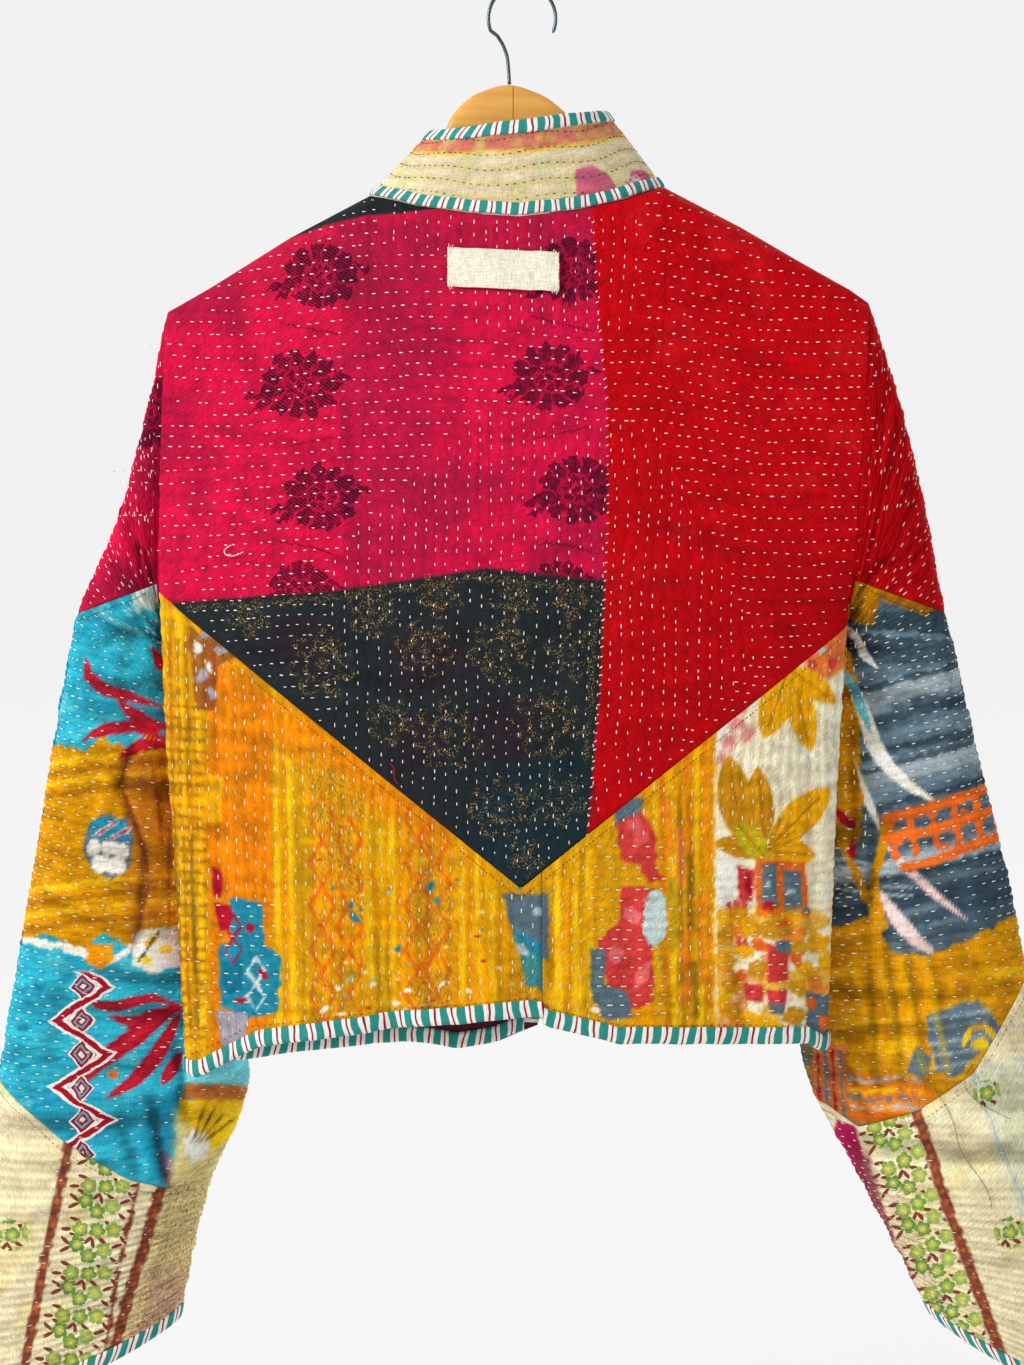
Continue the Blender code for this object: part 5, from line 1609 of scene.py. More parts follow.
def make_hook(material):
    turn = np.radians(np.linspace(*HOOK_TURN, 90))
    middle = WIRE / 2 - HOOK_RADIUS
    bend = np.stack([HOOK_RADIUS * np.cos(turn), middle + HOOK_RADIUS * np.sin(turn)], axis=1)
    heights = np.linspace(HOOK_STEM["height"][0], HOOK_STEM["height"][-1], 20)
    stem = np.stack([smooth(heights, HOOK_STEM["height"], HOOK_STEM["x"]), heights], axis=1)
    route = np.concatenate([stem, bend])
    ahead = unit(np.gradient(route, axis=0))
    around = np.linspace(0, 2 * np.pi, 20, endpoint=False)
    # The cut end of the wire is rounded
    radius = np.full((len(route), 1), WIRE / 2)
    radius[-3:, 0] *= 0.9, 0.6, 0.1
    x = route[:, :1] + ahead[:, 1:] * radius * np.cos(around)
    z = route[:, 1:] - ahead[:, :1] * radius * np.cos(around)
    sections = np.stack([x, radius * np.sin(around), z], axis=-1)
    rod("hook_wire", sections, material, "hanger_hook")


# Stage and camera


def make_stage():
    world = bpy.data.worlds.new("studio")
    world.use_nodes = True
    sky = world.node_tree.nodes["Background"]
    sky.inputs["Color"].default_value = (*linear(WALL_COLOUR), 1)
    sky.inputs["Strength"].default_value = WORLD_STRENGTH
    bpy.context.scene.world = world
    for name, place, aim, size, power, colour in LIGHTS:
        light = bpy.data.lights.new(name, "AREA")
        light.shape = "RECTANGLE"
        light.size, light.size_y = size
        light.energy = power
        light.color = colour
        lamp = bpy.data.objects.new(name, light)
        bpy.context.collection.objects.link(lamp)
        lamp.location = place
        way = np.array(aim) - np.array(place)
        turn = math.atan2(way[1], way[0]) - math.pi / 2
        tilt = math.atan2(way[2], math.hypot(way[0], way[1]))
        lamp.rotation_euler = (math.pi / 2 + tilt, 0, turn)


def make_backdrop():
    """A pale floor that curves up into a wall, far behind the jacket's front."""
    bend = np.linspace(0, np.pi / 2, 13)
    start = WALL_PLACE + WALL_BEND
    y = np.concatenate([[BACKDROP_REACH], start - WALL_BEND * np.sin(bend), [WALL_PLACE]])
    z = np.concatenate([[0.0], WALL_BEND * (1 - np.cos(bend)), [BACKDROP_REACH]]) + FLOOR
    ends = -BACKDROP_REACH, BACKDROP_REACH
    sections = np.stack([np.stack([x + 0 * y, y, z], axis=-1) for x in ends])
    paper = Nodes("backdrop_paper", 0.9)
    for key, value in (
        ("Base Color", (*linear(PAPER_COLOUR), 1)),
        ("Emission Color", (*linear(WALL_COLOUR), 1)),
        ("Emission Strength", WALL_GLOW),
    ):
        paper.shader.inputs[key].default_value = value
    quads = quads_of(numbered(2, len(y), False))
    made = make_mesh("studio_backdrop", sections.reshape(-1, 3), [quads], [0], [paper.material])


def make_camera():
    lens = bpy.data.cameras.new("photo_camera")
    lens.lens, lens.sensor_width, lens.sensor_fit = LENS, SENSOR, "AUTO"
    camera = bpy.data.objects.new("photo_camera", lens)
    bpy.context.collection.objects.link(camera)
    camera.location = [c * MM for c in CAMERA_PLACE]
    camera.rotation_euler = (math.pi / 2 - CAMERA_TILT, 0, math.pi)
    bpy.context.scene.camera = camera
    bpy.context.scene.view_settings.view_transform = "Standard"


def declare(made, node):
    """Puts a sheet of cloth on the frame in its CAD node's place."""
    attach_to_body(made, "root")
    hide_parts(node)


# Dyes, painted shade and highlights

# The marks that the cloth's material draws finely inside their areas
MARKS = ("speckle", "gold", "dashes")


class Paint:
    """Dyes, painted shade and highlights, laid on a cloth's points by where they show in the photo's
    frame.
    """

    def __init__(self, px, py, colour):
        self.shape = px.shape
        self.px, self.py = px.ravel(), py.ravel()
        self.colour = np.tile(np.array(colour, float), (self.px.size, 1))
        self.marks = np.zeros((self.px.size, len(MARKS)))
        self.chart = np.zeros((self.px.size, 3))

    def near(self, points, margin):
        points = np.asarray(points, float)
        low, high = points.min(axis=0) - margin, points.max(axis=0) + margin
        inside = (self.px > low[0]) & (self.px < high[0]) & (self.py > low[1]) & (self.py < high[1])
        return np.flatnonzero(inside)

    def blend(self, where, share, colour):
        """Lays a colour, or one of the marks if its name is given. A colour covers the marks."""
        if colour in MARKS:
            column = self.marks[where, MARKS.index(colour)]
            self.marks[where, MARKS.index(colour)] = np.maximum(column, share)
            return
        share = share[:, None]
        self.colour[where] = self.colour[where] * (1 - share) + np.array(DYES[colour], float) * share
        uncovered = 1 - step(share, 0.55, 0.95)
        self.marks[where] *= uncovered
        self.chart[where, 2:] *= uncovered

    def everywhere(self, share, colour):
        self.blend(slice(None), np.clip(np.asarray(share).ravel(), 0, 1), colour)

    def mottle(self, strength, colour, size, seed, span, within=1.0):
        """Soft blotches of dye, by clouds of that size across and down that pass a span."""
        cloud = clouds(self.px / size[0], self.py / size[1], seed)
        self.everywhere(strength * step(cloud, *span) * np.ravel(within), colour)

    def area(self, corners, colour, soft=1.5, rough=3.0, strength=1.0):
        """Dye inside an outline, with ragged edges that are rough pixels in or out."""
        where = self.near(corners, soft + rough)
        px, py = self.px[where], self.py[where]
        ragged = (clouds(px / 8, py / 8, 71) - 0.5) * 2 * rough
        inward = edge_distance(px, py, corners) + ragged
        self.blend(where, step(inward, -soft, soft) * strength, colour)

    def stroke(self, points, width, colour, soft=1.0, rough=1.0, strength=1.0, brush=False, seed=0):
        """Dye along a line. A brush's stroke is widest at its middle and comes to a point."""
        where = self.near(points, width + soft + rough)
        px, py = self.px[where], self.py[where]
        share = np.zeros(len(where))
        count = len(points) - 1
        for k, ((ax, ay), (bx, by)) in enumerate(zip(points, points[1:])):
            dx, dy = bx - ax, by - ay
            part = ((px - ax) * dx + (py - ay) * dy) / (dx**2 + dy**2 + 1e-9)
            along = (k + np.clip(part, 0, 1)) / count
            half = width / 2 * (np.sin(np.pi * np.clip(along, 0.02, 0.98)) ** 0.7 if brush else 1.0)
            away = line_distance(px, py, ax, ay, bx, by)
            away = away + (noise(px / 5, py / 5, seed + 72) - 0.5) * 2 * rough
            share = np.maximum(share, step(half - away, -soft, soft))
        self.blend(where, share * strength, colour)

    def spot(self, centre, radii, colour, turn=0.0, soft=1.0, rough=0.6, strength=1.0, seed=0):
        """A round or oval spot of dye. turn is in degrees."""
        where = self.near([centre], max(radii) + soft + rough + 1)
        dx, dy = self.px[where] - centre[0], self.py[where] - centre[1]
        c, s = math.cos(math.radians(turn)), math.sin(math.radians(turn))
        u, v = (dx * c + dy * s) / radii[0], (dy * c - dx * s) / radii[1]
        inward = (1 - np.hypot(u, v)) * min(radii)
        inward = inward + (noise(self.px[where] / 4, self.py[where] / 4, seed + 73) - 0.5) * 2 * rough
        self.blend(where, step(inward, -soft, soft) * strength, colour)

    def leaf(self, foot, tip, half_width, colour, seed, vein=None):
        """A pointed leaf or petal from its foot to its tip."""
        where = self.near([foot, tip], half_width + 3)
        dx, dy = tip[0] - foot[0], tip[1] - foot[1]
        length = math.hypot(dx, dy)
        px, py = self.px[where] - foot[0], self.py[where] - foot[1]
        along = (px * dx + py * dy) / length**2
        away = abs(px * dy - py * dx) / length
        wide = half_width * np.sin(np.pi * np.clip(along, 0, 1)) ** 0.7
        inward = wide - away + (noise(px / 4, py / 4, seed + 74) - 0.5)
        inside = (along > 0) & (along < 1)
        self.blend(where, step(inward, -0.8, 0.8) * inside, colour)
        if vein:
            line = step(1.0 - away, -0.8, 0.8) * inside * (along < 0.85)
            self.blend(where, line * 0.7, vein)

    def printed(self, corners, foot, head):
        """Sets the place on a printed border inside an outline. The border runs from foot to head."""
        along = np.array(head, float) - foot
        along = along / math.hypot(*along)
        dx, dy = self.px - foot[0], self.py - foot[1]
        self.chart[:, 0] = dx * along[1] - dy * along[0]
        self.chart[:, 1] = dx * along[0] + dy * along[1]
        self.chart[:, 2] = step(edge_distance(self.px, self.py, corners), -1.5, 1.5)

    def flowers(self, places):
        """Sets the place on the nearest woven flower, from (px, py, size) of each."""
        nearest = np.full(self.px.size, np.inf)
        for x, y, size in places:
            u, v = (self.px - x) / size, (self.py - y) / size
            away = np.hypot(u, v)
            here = away < nearest
            self.chart[here] = np.stack([u, v, step(66 - away, 0, 4)], axis=1)[here]
            nearest = np.minimum(nearest, away)

    def sprig(self, middle, reach):
        """A single flower of the printed border, away from it."""
        flower_u, flower_v = FLOWER_MIDDLES[0]
        u, v = self.px - middle[0], self.py - middle[1]
        inside = np.hypot(u, v) < reach
        self.chart[inside] = np.stack([u + flower_u, v + flower_v, 0 * u + 1], axis=1)[inside]

    def done(self):
        """Each point's colour, marks and chart, side by side."""
        return np.concatenate([self.colour, self.marks, self.chart], axis=1).reshape(*self.shape, -1)


# Dyes by name, as a screen shows them, from 0 to 255. Some also give painted shade and highlights.
DYES = {
    "pink": (212, 16, 66), "pink top": (186, 24, 62), "pink shade": (148, 20, 56),
    "red": (196, 2, 14), "red low": (178, 3, 12), "red wash": (206, 22, 30), "black": (34, 40, 42),
    "black teal": (26, 44, 50), "black plum": (58, 22, 38), "mustard": (230, 152, 4),
    "mustard orange": (240, 146, 6), "orange gold": (234, 126, 4), "mustard yellow": (252, 196, 16),
    "mustard green": (208, 154, 12), "mustard brown": (158, 102, 12), "olive": (112, 96, 24),
    "olive light": (150, 142, 30), "leaf green": (196, 170, 20), "zigzag": (228, 104, 14),
    "cream": (244, 232, 196), "pale": (248, 243, 226), "leaf": (240, 168, 6),
    "leaf brown": (204, 140, 16), "coral": (208, 60, 58), "coral pink": (226, 104, 104),
    "crimson": (176, 18, 44), "rose pale": (236, 204, 200), "light blue": (196, 226, 222),
    "slate": (90, 112, 124), "slate dark": (44, 62, 76), "slate blue": (116, 142, 154),
    "slate grey": (176, 190, 194), "turquoise": (30, 134, 162), "turquoise bright": (44, 172, 196),
    "turquoise pale": (112, 204, 214), "turquoise deep": (18, 112, 142),
    "lavender": (168, 160, 172), "orange": (232, 104, 30), "white": (236, 234, 228),
    "brown": (132, 66, 48), "brown orange": (196, 112, 52), "green pale": (196, 206, 120),
    "maroon": (124, 44, 60), "rose": (196, 132, 138), "magenta": (176, 26, 84),
    "sleeve cream": (232, 218, 176), "sleeve yellow": (224, 206, 136),
    "sleeve mustard": (208, 142, 2), "collar": (218, 202, 168), "collar yellow": (232, 208, 132),
    "collar rose": (206, 112, 98), "petal pink": (198, 96, 122),
}

# Woven flowers of the pink cloth: px, py and size
WOVEN_FLOWERS = [
    (320, 276, 0.96), (300, 384, 1.0), (322, 497, 0.96), (300, 590, 0.82), (574, 272, 0.96),
    (550, 377, 0.98), (576, 490, 1.0), (560, 584, 0.7),
]
# Woven flowers of the fronts, which the photo doesn't show
FRONT_FLOWERS = [
    (240, 330, 1.0), (330, 440, 1.0), (230, 560, 1.0), (330, 690, 1.0), (420, 560, 1.0),
    (240, 800, 1.0), (430, 800, 1.0), (330, 920, 1.0),
]
# Plum clouds on the black: middle and radii
PLUM_CLOUDS = [(300, 640, 34, 22), (430, 660, 40, 30), (505, 735, 30, 40), (420, 745, 26, 30)]
# Outlines of gold dots on the black: middle, radius and how many petals lie around it
GOLD_FLOWERS = [
    (250, 616, 14, 5), (322, 664, 23, 7), (372, 612, 17, 6), (440, 596, 15, 5), (424, 648, 20, 6),
    (390, 720, 16, 6), (447, 735, 24, 7), (502, 652, 22, 7), (512, 598, 15, 5), (546, 722, 25, 7),
    (572, 652, 18, 6), (574, 600, 13, 5), (502, 806, 22, 7), (560, 798, 18, 6), (524, 858, 13, 5),
]

RED_EDGE = [
    (590, 180), (593, 218), (597, 300), (607, 400), (608, 520), (605, 580), (600, 690), (592, 780),
    (586, 850),
]
PINK_LOW_EDGE = [(150, 604), (185, 602), (340, 590), (487, 568), (605, 580)]
WEDGE = [
    (291, 238), (330, 224), (367, 215.5), (400, 213.5), (436, 208), (436, 150), (270, 150),
    (270, 250),
]


def gold_flower(paint, x, y, radius, petals):
    """Rings and petals drawn with a fine dotted line."""
    turns = np.linspace(0, 2 * np.pi, 17)
    paint.spot((x, y), (radius * 0.3, radius * 0.3), "gold", soft=2, rough=2, strength=0.55)
    wave = 1 + 0.12 * np.cos(petals * turns)
    reach = radius * 0.72 * wave
    ring = list(zip(x + reach * np.cos(turns), y + reach * np.sin(turns)))
    paint.stroke(ring[2:], 4.2, "gold", rough=2.4, strength=0.85)
    for k in range(petals):
        turn = 2 * np.pi * (k + 0.3) / petals
        middle = x + radius * 1.12 * math.cos(turn), y + radius * 1.12 * math.sin(turn)
        loop_x = middle[0] + radius * 0.34 * np.cos(turns)
        loop = list(zip(loop_x, middle[1] + radius * 0.3 * np.sin(turns)))
        paint.stroke(loop[k % 5 : 13 : 2], 3.6, "gold", rough=2.4, strength=0.8, seed=k)


def paint_yoke(px, py):
    paint = Paint(px, py, DYES["pink"])
    paint.everywhere(0.75 * (1 - step(py, 235, 350)), "pink top")
    paint.area([(342, 226), (436, 222), (434, 600), (344, 600)], "pink shade", soft=4, strength=0.4)
    paint.area([(434, 222), (470, 222), (462, 590), (434, 600)], "pink shade", soft=10, strength=0.2)
    threads = step(noise(px / 2.6, py / 60, 160), 0.5, 0.8)
    threads = threads * step(noise(px / 70, py / 80, 161), 0.45, 0.6)
    paint.everywhere(0.35 * threads, "pink shade")
    paint.area([(160, 250), (240, 240), (250, 330), (165, 330)], "pink shade", soft=14, strength=0.35)
    paint.mottle(0.5, "pink shade", (60, 70), 81, (0.52, 0.75))
    paint.mottle(0.3, "pink shade", (13, 10), 163, (0.52, 0.74))
    paint.flowers(WOVEN_FLOWERS)
    paint_yoke_red(paint, px, py)
    paint_yoke_black(paint)
    low_red = RED_EDGE[4:] + [(920, 850), (920, 560), (608, 560)]
    paint.area(low_red, "red low", soft=1.0, rough=0.8, strength=0.5)
    paint.area(WEDGE, "black", soft=1.0, rough=0.8)
    return paint.done()


def paint_yoke_red(paint, px, py):
    """The red side of the yoke, worn in places."""
    paint.area(RED_EDGE + [(920, 850), (920, 150), (590, 150)], "red", soft=1.0, rough=0.8)
    red = step(px, 596, 612) * (1 - step(clouds(px / 80, py / 90, 82), 0.4, 0.62))
    paint.everywhere(red * 0.7 * step(py, 330, 700), "red low")
    worn = step(clouds(px / 14, py / 11, 162), 0.5, 0.72) * step(px, 596, 612)
    paint.everywhere(0.3 * worn, "red low")
    paint.mottle(0.5, "red wash", (40, 44), 83, (0.58, 0.75), step(px, 600, 620))


def paint_yoke_black(paint):
    """The black foot of the yoke with its flowers of gold dots."""
    black = PINK_LOW_EDGE + RED_EDGE[6:] + [(520, 920), (140, 640)]
    paint.area(black, "black", soft=1.0, rough=0.8)
    paint.area(
        [(480, 770), (590, 740), (588, 850), (520, 900), (470, 850)],
        "black teal", soft=14, rough=6,
    )
    for x, y, rx, ry in PLUM_CLOUDS:
        paint.spot((x, y), (rx, ry), "black plum", soft=14, rough=10, strength=0.32)
    for flower in GOLD_FLOWERS:
        gold_flower(paint, *flower)
    for line in (
        [(190, 607), (260, 604), (340, 597)],
        [(345, 596), (420, 586), (484, 576)],
        [(490, 578), (548, 586), (600, 588)],
        [(596, 600), (592, 680), (586, 760)],
    ):
        paint.stroke(line, 6, "gold", rough=3, strength=0.6)


# The striped print of the lower back: where each stripe runs, its width, its dye and its strength
STRIPES = [
    (166, 5, "mustard yellow", 0.8), (175, 3, "mustard brown", 0.6),
    (183, 6, "mustard yellow", 0.7), (192, 3, "mustard brown", 0.6),
    (200, 5, "mustard yellow", 0.8), (276, 6, "mustard yellow", 0.9),
    (284, 3, "mustard orange", 0.7), (291, 6, "mustard yellow", 0.9),
    (304, 5, "mustard yellow", 0.8), (368, 5, "mustard yellow", 0.9),
    (374, 3, "mustard brown", 0.4), (380, 6, "mustard yellow", 0.9),
    (391, 6, "mustard yellow", 0.9), (400, 3, "mustard orange", 0.7),
    (460, 7, "mustard yellow", 0.9), (470, 3, "mustard orange", 0.7),
    (477, 6, "mustard yellow", 0.9), (489, 7, "mustard yellow", 0.8),
    (556, 6, "mustard yellow", 0.9), (566, 3, "mustard orange", 0.7),
    (574, 7, "mustard yellow", 0.9), (588, 6, "mustard yellow", 0.8),
    (655, 5, "mustard yellow", 0.7), (663, 4, "orange", 0.6), (671, 6, "mustard yellow", 0.8),
    (680, 4, "olive", 0.5), (688, 5, "orange", 0.6), (697, 6, "mustard yellow", 0.8),
    (707, 4, "orange", 0.5),
]


def paint_stripes(paint, px, py):
    paint.mottle(0.75, "mustard green", (34, 90), 84, (0.42, 0.6))
    lean = (py - 840) * 0.02
    for k, (x, width, dye, strength) in enumerate(STRIPES):
        away = abs(px - x - lean) + (noise(py / 14, 0 * py + k, 85) - 0.5) * 2
        worn = strength * (0.45 + 0.55 * step(noise(px / 9, py / 22, 86 + k), 0.25, 0.6))
        paint.everywhere(step(width / 2 - away, -1.2, 1.2) * worn, dye)


def diamonds(paint, x, start, stop, pitch, half, dye, width, strength):
    """A chain of outlined diamonds down the cloth."""
    y = start
    while y < stop:
        middle = y + pitch / 2
        outline = [(x, y), (x + half, middle), (x, y + pitch), (x - half, middle), (x, y)]
        paint.stroke(outline, width, dye, rough=1.2, strength=strength)
        y += pitch


def flecks(paint, spots, dye, seed=0):
    for k, (x, y, rx, ry) in enumerate(spots):
        paint.spot((x, y), (rx, ry), dye, turn=37 * k % 90 - 45, rough=1.4, seed=seed + k)


# The printed columns of the lower back, with their figures of speckles and diamonds
PRINTED_COLUMNS = [
    [(308, 745), (364, 790), (364, 1030), (310, 1035)],
    [(401, 820), (453, 862), (453, 1020), (404, 1025)],
    [(500, 960), (548, 965), (548, 1010), (500, 1010)],
]


def paint_lower_left(px, py):
    paint = Paint(px, py, DYES["mustard"])
    paint_stripes(paint, px, py)
    paint.area(
        [(208, 650), (272, 700), (272, 905), (264, 1060), (212, 1065), (208, 800)],
        "orange gold", soft=3, strength=0.92,
    )
    paint.area(
        [(240, 676), (310, 720), (440, 820), (440, 850), (310, 770), (240, 720)],
        "orange gold", soft=12, rough=6, strength=0.7,
    )
    orange = step(px, 206, 214) * (1 - step(px, 268, 278))
    paint.mottle(0.35, "mustard brown", (16, 22), 172, (0.46, 0.66), orange)
    paint_printed_columns(paint, px, py)
    paint_seam_side(paint)
    paint_left_patches(paint)
    paint_left_scraps(paint)
    return paint.done()


def paint_printed_columns(paint, px, py):
    """Columns of speckles with diamonds down them, and small bright scraps over all."""
    for corners in PRINTED_COLUMNS:
        paint.area(corners, "mustard", soft=5, strength=0.75)
    for x in (322, 349, 418, 437):
        diamonds(paint, x, 796 + (x % 2) * 22, 1025, 44, 13, "zigzag", 3.8, 0.85)
    for corners in PRINTED_COLUMNS:
        panel = step(edge_distance(px, py, corners), -6, 6)
        paint.mottle(0.85, "speckle", (20, 30), 170, (0.3, 0.6), panel)
    number = np.arange(46)
    scrap_x = 318 + 230 * lattice(number, number, 165)
    scrap_y = 860 + 150 * lattice(number, 3 * number, 166)
    for k, spot in enumerate(zip(scrap_x, scrap_y)):
        dye = ("turquoise", "crimson", "pale", "turquoise pale")[k % 4]
        paint.spot(spot, (2.4, 1.3), dye, rough=0.5, strength=0.75)


def paint_seam_side(paint):
    """Brown bars and lines beside the side seam, and the worn patch that shows the layers below."""
    for y in np.arange(705, 1040, 11.0):
        paint.stroke(
            [(162, y), (205, y + 3)],
            3.0, "mustard brown", rough=1.5, strength=0.7, seed=int(y),
        )
    # Upright dark lines: olive and brown stripes of the cloth, with painted shade between the pleats
    # beside the seam
    for k, x in enumerate((165, 171, 178, 186, 194)):
        dye = ("olive", "mustard brown")[k % 2]
        paint.stroke([(x - 2, 835), (x, 930), (x + 5, 1030)], 3.2, dye, rough=1.8, strength=0.7, seed=k)
        paint.stroke(
            [(x - 8, 640), (x - 7, 700), (x - 5, 790)],
            3.2, "mustard brown", rough=1.8, strength=0.7, seed=k,
        )
    paint.area(
        [(188, 624), (212, 640), (238, 655), (218, 668), (214, 708), (196, 712), (192, 668)],
        "brown", strength=0.7,
    )
    flecks(paint, [(206, 634, 8, 4), (222, 650, 9, 4), (202, 676, 5, 8), (212, 694, 4, 6)], "lavender")
    flecks(paint, [(198, 648, 5, 5), (209, 668, 3, 5), (228, 645, 5, 3)], "white")


def paint_left_patches(paint):
    """Crimson and turquoise patches with diamonds."""
    paint.area(
        [(206, 772), (224, 778), (221, 822), (212, 828), (205, 806)],
        "mustard yellow", rough=2, strength=0.6,
    )
    paint.area([(213, 866), (224, 872), (222, 898), (213, 896)], "crimson", rough=2)
    paint.area([(214, 902), (243, 906), (238, 926), (220, 930)], "crimson", rough=2)
    paint.area([
        (231, 898), (262, 902), (266, 946), (282, 958), (278, 1012), (246, 1018), (220, 1004),
        (219, 944), (233, 940),
    ], "turquoise")
    paint.area([(222, 960), (242, 956), (244, 990), (226, 996)], "turquoise deep", rough=2)
    diamonds(paint, 256, 958, 1010, 26, 9, "white", 2.6, 0.85)
    diamonds(paint, 234, 914, 940, 24, 8, "crimson", 3.0, 0.8)
    flecks(paint, [(264, 975, 3, 7), (240, 1000, 6, 3), (250, 928, 4, 4)], "crimson", 3)
    paint.area([(216, 1010), (246, 1014), (248, 1046), (222, 1050)], "lavender")


def paint_left_scraps(paint):
    """Small bright scraps, and the slate patch near the back's middle."""
    flecks(paint, [
        (355, 918, 3, 6), (351, 905, 2.5, 4), (430, 888, 3, 6), (437, 902, 2.5, 4),
        (398, 950, 3, 3),
    ], "turquoise", 5)
    scraps = [
        (324, 1010, 6, 2), (340, 1014, 5, 2), (338, 988, 3, 2), (372, 984, 4, 1.6),
        (408, 990, 4, 1.8),
    ]
    flecks(paint, scraps + [(440, 986, 5, 1.8), (396, 1003, 5, 1.8), (470, 992, 4, 1.6)], "pale", 7)
    paint.area([(505, 895), (547, 893), (549, 960), (530, 950), (512, 935)], "slate")
    paint.area([(512, 930), (546, 945), (546, 992), (526, 984)], "turquoise", strength=0.85)
    flecks(paint, [(523, 950, 4, 7), (538, 912, 5, 5)], "slate grey", 9)


# The big printed petals of the cream edge: foot, tip, half width and dye
BACK_PETALS = [
    ((789, 668), (764, 738), 17, "leaf"), ((792, 672), (811, 752), 14, "leaf"),
    ((786, 666), (836, 703), 13, "leaf"), ((744, 846), (728, 756), 18, "leaf brown"),
    ((764, 842), (757, 766), 13, "leaf brown"), ((766, 852), (714, 842), 11, "leaf brown"),
    ((768, 848), (830, 788), 17, "leaf"), ((764, 850), (816, 856), 15, "leaf"),
    ((736, 822), (768, 862), 13, "leaf green"),
]

# Coral dabs on the cream
CORAL_DABS = [(724, 712), (736, 724), (730, 742), (742, 706), (722, 758), (748, 734)]
# Soft upright streaks beside the cream: px, first and last py, and dye
SOFT_STREAKS = [
    (668, 800, 850, "orange"), (680, 832, 880, "coral pink"), (672, 880, 950, "olive light"),
    (690, 860, 925, "olive"), (700, 900, 980, "orange"), (684, 930, 1000, "orange"),
    (694, 965, 1015, "olive"), (668, 990, 1030, "mustard brown"),
]
# The rounded leaves under the window figure: middle, radii, turn and dye
LOW_LEAVES = [
    ((724, 918), (11, 8), 30, "leaf"), ((738, 914), (9, 7), -20, "leaf brown"),
    ((722, 938), (10, 7), -30, "leaf brown"), ((748, 926), (8, 11), 10, "leaf"),
    ((773, 928), (20, 11), -12, "leaf brown"), ((790, 918), (10, 8), 20, "leaf"),
    ((726, 960), (11, 9), 15, "leaf"), ((744, 952), (9, 7), -25, "leaf"),
    ((757, 968), (8, 11), 30, "leaf brown"), ((798, 950), (12, 8), -35, "leaf brown"),
    ((818, 944), (12, 9), -30, "leaf"), ((828, 962), (8, 12), 5, "leaf"),
    ((806, 968), (13, 7), 25, "leaf"), ((734, 984), (12, 8), -15, "leaf brown"),
    ((720, 998), (9, 9), 0, "leaf"), ((798, 988), (11, 8), 20, "leaf brown"),
    ((714, 1016), (9, 8), 0, "leaf"), ((732, 1012), (10, 9), 20, "leaf brown"),
    ((748, 1018), (9, 8), -20, "leaf"), ((764, 1024), (10, 7), 10, "leaf"),
    ((794, 1016), (12, 9), -10, "leaf brown"), ((782, 1032), (11, 7), 0, "leaf"),
]


def paint_lower_right(px, py):
    paint = Paint(px, py, DYES["mustard"])
    paint_stripes(paint, px, py)
    paint_coral_patches(paint)
    paint_cream_side(paint, px)
    paint_back_petals(paint)
    paint_window_figure(paint)
    paint_low_leaves(paint, px, py)
    paint.stroke([(715, 700), (715, 860), (717, 1060)], 2.4, "pale", rough=2, strength=0.6)
    return paint.done()


def paint_coral_patches(paint):
    """Coral and slate patches beside the back's middle, and soft streaks next to the cream."""
    paint.area([(540, 893), (549, 893), (549, 962), (540, 955)], "slate", rough=2)
    paint.area([(610, 800), (642, 798), (640, 826), (616, 828)], "slate")
    paint.area([
        (615, 824), (642, 812), (657, 838), (655, 868), (663, 878), (648, 884), (640, 866),
        (622, 860),
    ], "coral")
    paint.area([(627, 822), (640, 816), (648, 840), (636, 848)], "coral pink", strength=0.7)
    paint.area([
        (622, 886), (655, 888), (652, 950), (652, 1004), (628, 1010), (606, 985), (598, 940),
        (618, 925),
    ], "coral", rough=4)
    flecks(paint, [(632, 915, 7, 11), (616, 955, 7, 9), (642, 975, 6, 14)], "coral pink", 11)
    paint.spot((655, 918), (12, 27), "light blue", rough=2)
    flecks(paint, [(651, 905, 2.5, 9), (659, 925, 2.5, 10)], "white", 12)
    paint.area(
        [(589, 948), (606, 950), (604, 984), (626, 990), (634, 1018), (604, 1020), (590, 990)],
        "slate",
    )
    paint.spot((595, 1010), (4, 3), "white")
    for k, (x, start, stop, dye) in enumerate(SOFT_STREAKS):
        paint.stroke([(x, start), (x + 2, stop)], 7, dye, soft=3.0, rough=3.0, strength=0.55, seed=k)


def paint_cream_side(paint, px):
    """The cream edge with its faint grey lines and coral dabs."""
    paint.area(
        [(716, 690), (740, 640), (870, 560), (870, 1080), (716, 1080)],
        "cream", soft=1.0, rough=2.0,
    )
    paint.mottle(0.7, "pale", (26, 60), 87, (0.5, 0.66), step(px, 716, 720))
    for k in range(7):
        y = 716 + 16 * k
        paint.stroke(
            [(776 + 6 * k, y - 34), (836, y + 12)],
            3.0, "slate grey", rough=2, strength=0.4, seed=k,
        )
    for k, spot in enumerate(CORAL_DABS):
        paint.spot(spot, (6, 8), "coral pink", turn=30, soft=3, rough=3, strength=0.7, seed=k)
    paint.area(
        [(800, 640), (846, 604), (850, 668), (812, 682)],
        "orange", soft=4, rough=5, strength=0.85,
    )
    flecks(paint, [(840, 622, 6, 5), (822, 650, 5, 4)], "slate grey", 15)
    flecks(paint, [(812, 664, 5, 6), (832, 664, 4, 6)], "coral", 16)


def paint_back_petals(paint):
    paint.stroke([(784, 654), (787, 674)], 7, "leaf")
    for k, (foot, tip, half, dye) in enumerate(BACK_PETALS):
        paint.leaf(foot, tip, half, dye, vein="mustard brown", seed=k)
    for k in range(5):
        paint.stroke(
            [(768, 850), (774 + 7 * k, 812 + 6 * k)],
            1.6, "mustard brown", rough=0.8, strength=0.5, seed=k,
        )


